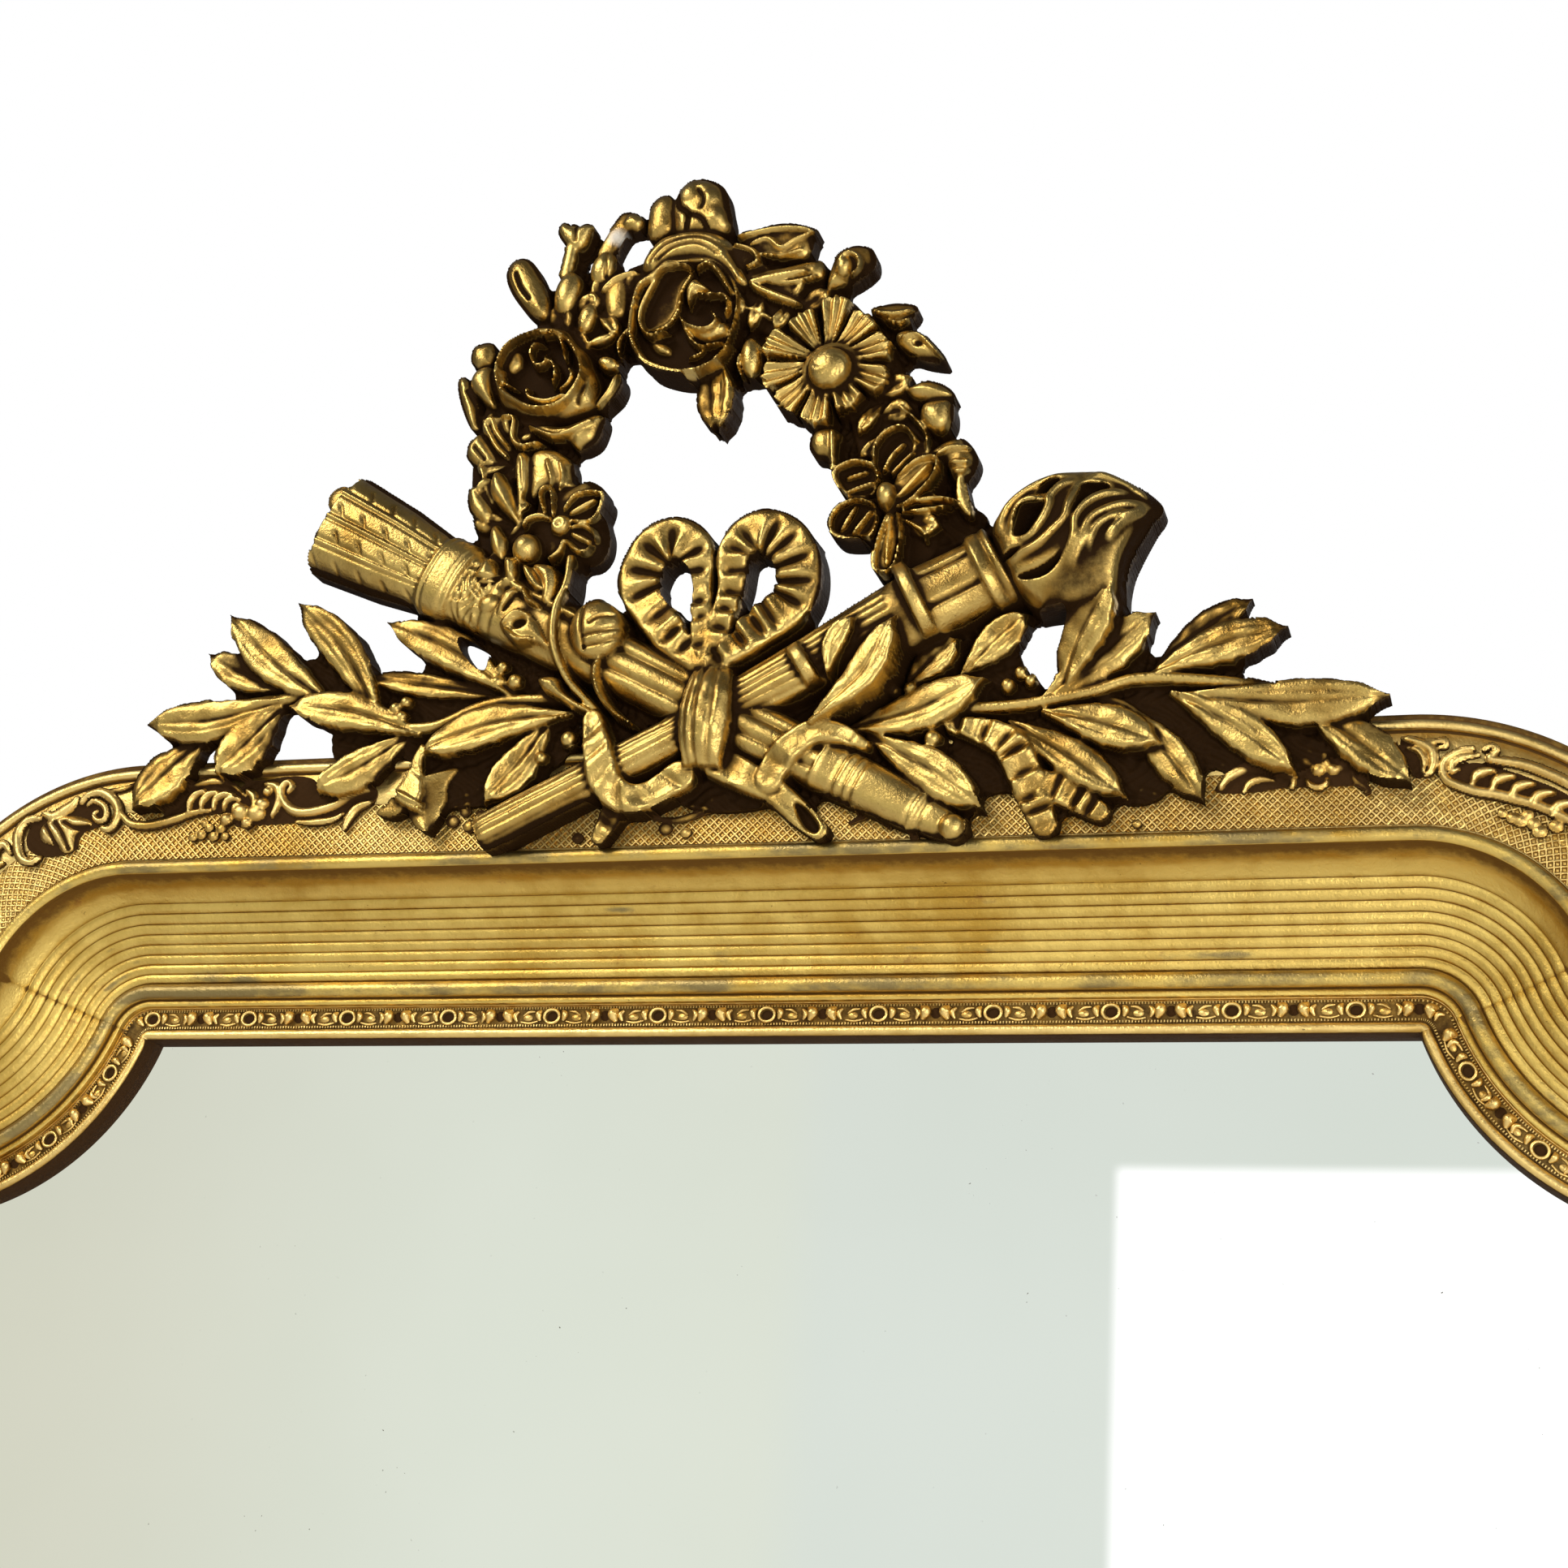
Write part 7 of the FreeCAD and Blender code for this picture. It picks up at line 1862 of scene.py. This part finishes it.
# Places of sunk ground darkened as painted shade: piece, outline
PAINTED_SHADE_GROUNDS = (
    ("crest_laurel_left", ((-26.0, 0.8), (-20.0, 1.8), (-14.0, 1.5), (-12.6, -1.5), (-16.0, -3.8),
        (-21.0, -4.0), (-25.2, -2.8))),
    ("crest_laurel_right", ((36.4, -0.6), (39.6, -1.2), (42.9, -2.5), (45.0, -4.6), (43.7, -4.7),
        (42.0, -4.7), (40.8, -5.4), (40.0, -5.0), (36.4, -3.1))),
    ("crest_laurel_right", ((43.3, -2.0), (47.3, -2.9), (48.4, -4.5), (46.8, -5.2), (45.5, -5.1))),
    ("crest_laurel_right", ((21.2, 5.6), (23.8, 6.1), (25.2, 3.3), (26.2, 1.2), (23.7, 0.0), (21.0, 1.5))),
    ("crest_laurel_right", ((32.9, 1.6), (35.7, 2.1), (38.2, 0.4), (37.0, -1.9), (33.9, -1.5))),
    ("crest_laurel_right", ((19.8, -1.2), (25.0, -1.8), (25.8, -5.4), (23.3, -6.4), (20.3, -5.9))),
    ("crest_laurel_right", ((30.8, -3.0), (35.2, -2.5), (36.8, -4.9), (35.6, -7.4), (32.5, -7.3))),
    ("crest_laurel_right", ((5.8, 2.6), (9.6, 2.5), (10.4, -0.2), (6.2, -0.8))),
    ("crest_wreath", ((16.5, 17.3), (19.0, 18.0), (20.8, 17.6), (21.5, 16.4), (19.2, 14.6), (16.4, 13.4))),
    ("crest_laurel_left", ((-27.6, 0.2), (-25.4, 0.2), (-25.4, -1.8), (-27.4, -1.8))),
    ("crest_laurel_left", ((-38.1, 6.9), (-36.8, 7.5), (-33.5, 4.2), (-33.2, 3.1), (-35.6, 3.2))),
    ("crest_laurel_left", ((-34.4, 0.9), (-32.3, 0.8), (-30.9, -0.4), (-32.0, -1.5), (-34.1, -1.5))),
    ("crest_laurel_left", ((-17.2, 5.0), (-14.6, 4.8), (-14.4, 3.2), (-17.0, 3.2))),
    ("crest_laurel_left", ((-27.4, 3.5), (-21.5, 3.6), (-20.3, 2.3), (-23.2, 0.8), (-26.9, 1.0))),
    ("crest_laurel_left", ((-25.7, -1.4), (-20.2, -1.3), (-17.0, -3.9), (-19.7, -5.9), (-24.8, -5.8))),
    ("crest_ribbon_middle", ((-3.6, -3.3), (3.3, -3.6), (5.5, -6.4), (1.5, -7.3), (-2.7, -6.5))),
)


def build_crest():
    draw_left_rocaille(ROCAILLE[0])
    draw_right_rocaille(ROCAILLE[1])
    draw_laurels()
    draw_quiver()
    draw_torch()
    draw_wreath()
    draw_ribbons()
    draw_bow()
    leaf("crest_laurel_right", (7.6, 0.2), (14.2, 9.2), 3.0, 25, 31, -0.10, "over")
    leaf("crest_laurel_right", (8.8, 4.0), (10.8, 9.2), 1.8, 27, 30, 0.10)
    for owner, outline in PAINTED_SHADE_GROUNDS:
        painted_shade_ground(owner, outline)
    relief.web(ROCAILLE, radius=4.6, rise=3.0, gap=230)
    relief.hole([(-23.4, 8.7), (-21.6, 7.9), (-20.7, 6.9), (-20.9, 5.7), (-21.8, 6.0), (-23.2, 7.6)], 8)
    relief.hole([(26.1, 7.5), (27.6, 7.8), (28.6, 7.7), (28.3, 6.0), (27.4, 3.9), (26.4, 3.6), (25.7, 4.8),
        (26.0, 6.4)], 8)
    looks = {name: (CARVING, "gilt_carving") for name in relief.names}
    for name in ROCAILLE:
        looks[name] = (ORNAMENT, "gilt_ornament")
    relief.finish(looks)


# Hidden woodwork, glass and ironwork keep their CAD solids under aged materials
def dress_nodes():
    pine = wood("old_pine", rgb(0.20, 0.115, 0.05), rgb(0.42, 0.27, 0.13), 0.72)
    boards = wood("back_boards", rgb(0.17, 0.10, 0.05), rgb(0.36, 0.24, 0.13), 0.8)
    iron = metal("hand_forged_iron", rgb(0.06, 0.055, 0.05), rgb(0.17, 0.16, 0.15), 0.42)
    steel = metal("screw_steel", rgb(0.22, 0.21, 0.2), rgb(0.42, 0.40, 0.37), 0.34)
    glass = looking_glass("silvered_glass")
    picks = (
        ("carcass", pine), ("backboard", boards), ("glazing", pine), ("mirror_glass", glass),
        ("crest_bracket", iron), ("hanger_screws", steel), ("hanger", iron), ("board_screws", steel),
        ("bracket_screws", steel),
    )
    for name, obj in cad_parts.items():
        for start, mat in picks:
            if name.startswith(start):
                obj.data.materials.clear()
                obj.data.materials.append(mat)
                break


# Studio: pale floor, soft lamps, and a pale board in front for the glass to reflect
FLOOR_COLOUR, FLOOR_GLOW, FLOOR_Z, FLOOR_HALF = rgb(0.86, 0.855, 0.84), 0.3, -0.7255, 6
ROOM_LEFT, ROOM_RIGHT, ROOM_Y, ROOM_LOW, ROOM_HIGH = -4.5, 3.5, -3.0, -0.7, 1.6


def board(name, corners, mat):
    mesh = bpy.data.meshes.new(name)
    mesh.from_pydata(corners, [], [tuple(range(len(corners)))])
    mesh.materials.append(mat)
    obj = bpy.data.objects.new(name, mesh)
    bpy.context.collection.objects.link(obj)
    return obj


def floor_paint():
    """Pale floor with a faint glow of its own, which keeps it even."""
    n = Nodes("floor")
    n.bsdf.inputs["Base Color"].default_value = FLOOR_COLOUR
    n.bsdf.inputs["Roughness"].default_value = 0.9
    n.bsdf.inputs["Emission Color"].default_value = FLOOR_COLOUR
    n.bsdf.inputs["Emission Strength"].default_value = FLOOR_GLOW
    return n.mat


def lamp(name, place_at, aim, size, power, colour):
    data = bpy.data.lights.new(name, "AREA")
    data.shape = "RECTANGLE"
    data.size, data.size_y = size
    data.energy = power
    data.color = colour
    obj = bpy.data.objects.new(name, data)
    obj.location = place_at
    obj.rotation_euler = (Vector(aim) - Vector(place_at)).to_track_quat("-Z", "Y").to_euler()
    bpy.context.collection.objects.link(obj)


def room_light():
    """Pale wall, warmer to the left and fading above, with a bright soft-edged window."""
    n = Nodes("reflected_room_light")
    axes = n.tree.nodes.new("ShaderNodeSeparateXYZ")
    n.link(n.coord, axes.inputs[0])
    x, z = axes.outputs["X"], axes.outputs["Z"]
    wall = n.mix(n.ranged(x, -2.4, -1.3), rgb(0.72, 0.715, 0.60), rgb(0.79, 0.825, 0.735))
    wall = n.mix(n.ranged(x, -0.93, -0.80), wall, rgb(0.765, 0.812, 0.757))
    wall = n.mix(n.ranged(z, 0.7, 1.25, 0.0, 0.12), wall, rgb(0.55, 0.58, 0.52))
    window = n.math("MULTIPLY", n.ranged(x, -0.345, -0.320), n.ranged(z, 1.085, 1.060))
    glow = n.mix(window, wall, rgb(1.2, 1.2, 1.2))
    glow = n.mix(n.ranged(z, 1.30, 1.58), glow, rgb(0.12, 0.115, 0.10))
    n.link(glow, n.bsdf.inputs["Emission Color"])
    n.bsdf.inputs["Emission Strength"].default_value = 1.0
    n.bsdf.inputs["Base Color"].default_value = BLACK
    n.bsdf.inputs["Specular IOR Level"].default_value = 0.0
    return n.mat


def pale_world():
    """White behind the object for the camera, dim light from it on the object."""
    world = bpy.data.worlds.new("studio")
    bpy.context.scene.world = world
    world.use_nodes = True
    tree = world.node_tree
    dim, white = tree.nodes["Background"], tree.nodes.new("ShaderNodeBackground")
    dim.inputs["Color"].default_value = rgb(0.80, 0.80, 0.82)
    dim.inputs["Strength"].default_value = 0.17
    white.inputs["Color"].default_value = WHITE
    white.inputs["Strength"].default_value = 1.0
    path = tree.nodes.new("ShaderNodeLightPath")
    blend = tree.nodes.new("ShaderNodeMixShader")
    tree.links.new(path.outputs["Is Camera Ray"], blend.inputs[0])
    tree.links.new(dim.outputs[0], blend.inputs[1])
    tree.links.new(white.outputs[0], blend.inputs[2])
    tree.links.new(blend.outputs[0], tree.nodes["World Output"].inputs["Surface"])


def build_studio():
    f, z = FLOOR_HALF, FLOOR_Z
    board("floor", [(-f, -f, z), (f, -f, z), (f, f, z), (-f, f, z)], floor_paint())
    sides = ((ROOM_LEFT, ROOM_LOW), (ROOM_RIGHT, ROOM_LOW), (ROOM_RIGHT, ROOM_HIGH), (ROOM_LEFT, ROOM_HIGH))
    card = board("reflected_room", [(x, ROOM_Y, z) for x, z in sides], room_light())
    card.visible_camera = False
    card.visible_shadow = False
    card.visible_diffuse = False
    lamp("key", (-1.5, -2.2, 2.3), (0, 0, 0.75), (1.3, 1.3), 52, (1.0, 0.97, 0.92))
    lamp("fill", (1.9, -1.6, 1.3), (0.1, 0, 0.6), (1.2, 1.8), 9, (0.95, 0.97, 1.0))
    lamp("low_right", (1.5, -2.2, 0.1), (0.25, 0, 0.6), (0.9, 0.9), 23, (1.0, 0.98, 0.94))
    lamp("back_fill", (0.6, 2.6, 1.4), (0, 0, 0.2), (2.0, 2.0), 30, (1.0, 1.0, 1.0))
    pale_world()
    bpy.context.scene.view_settings.view_transform = "Standard"


add_camera()
build_mouldings()
build_crest()
dress_nodes()
build_studio()
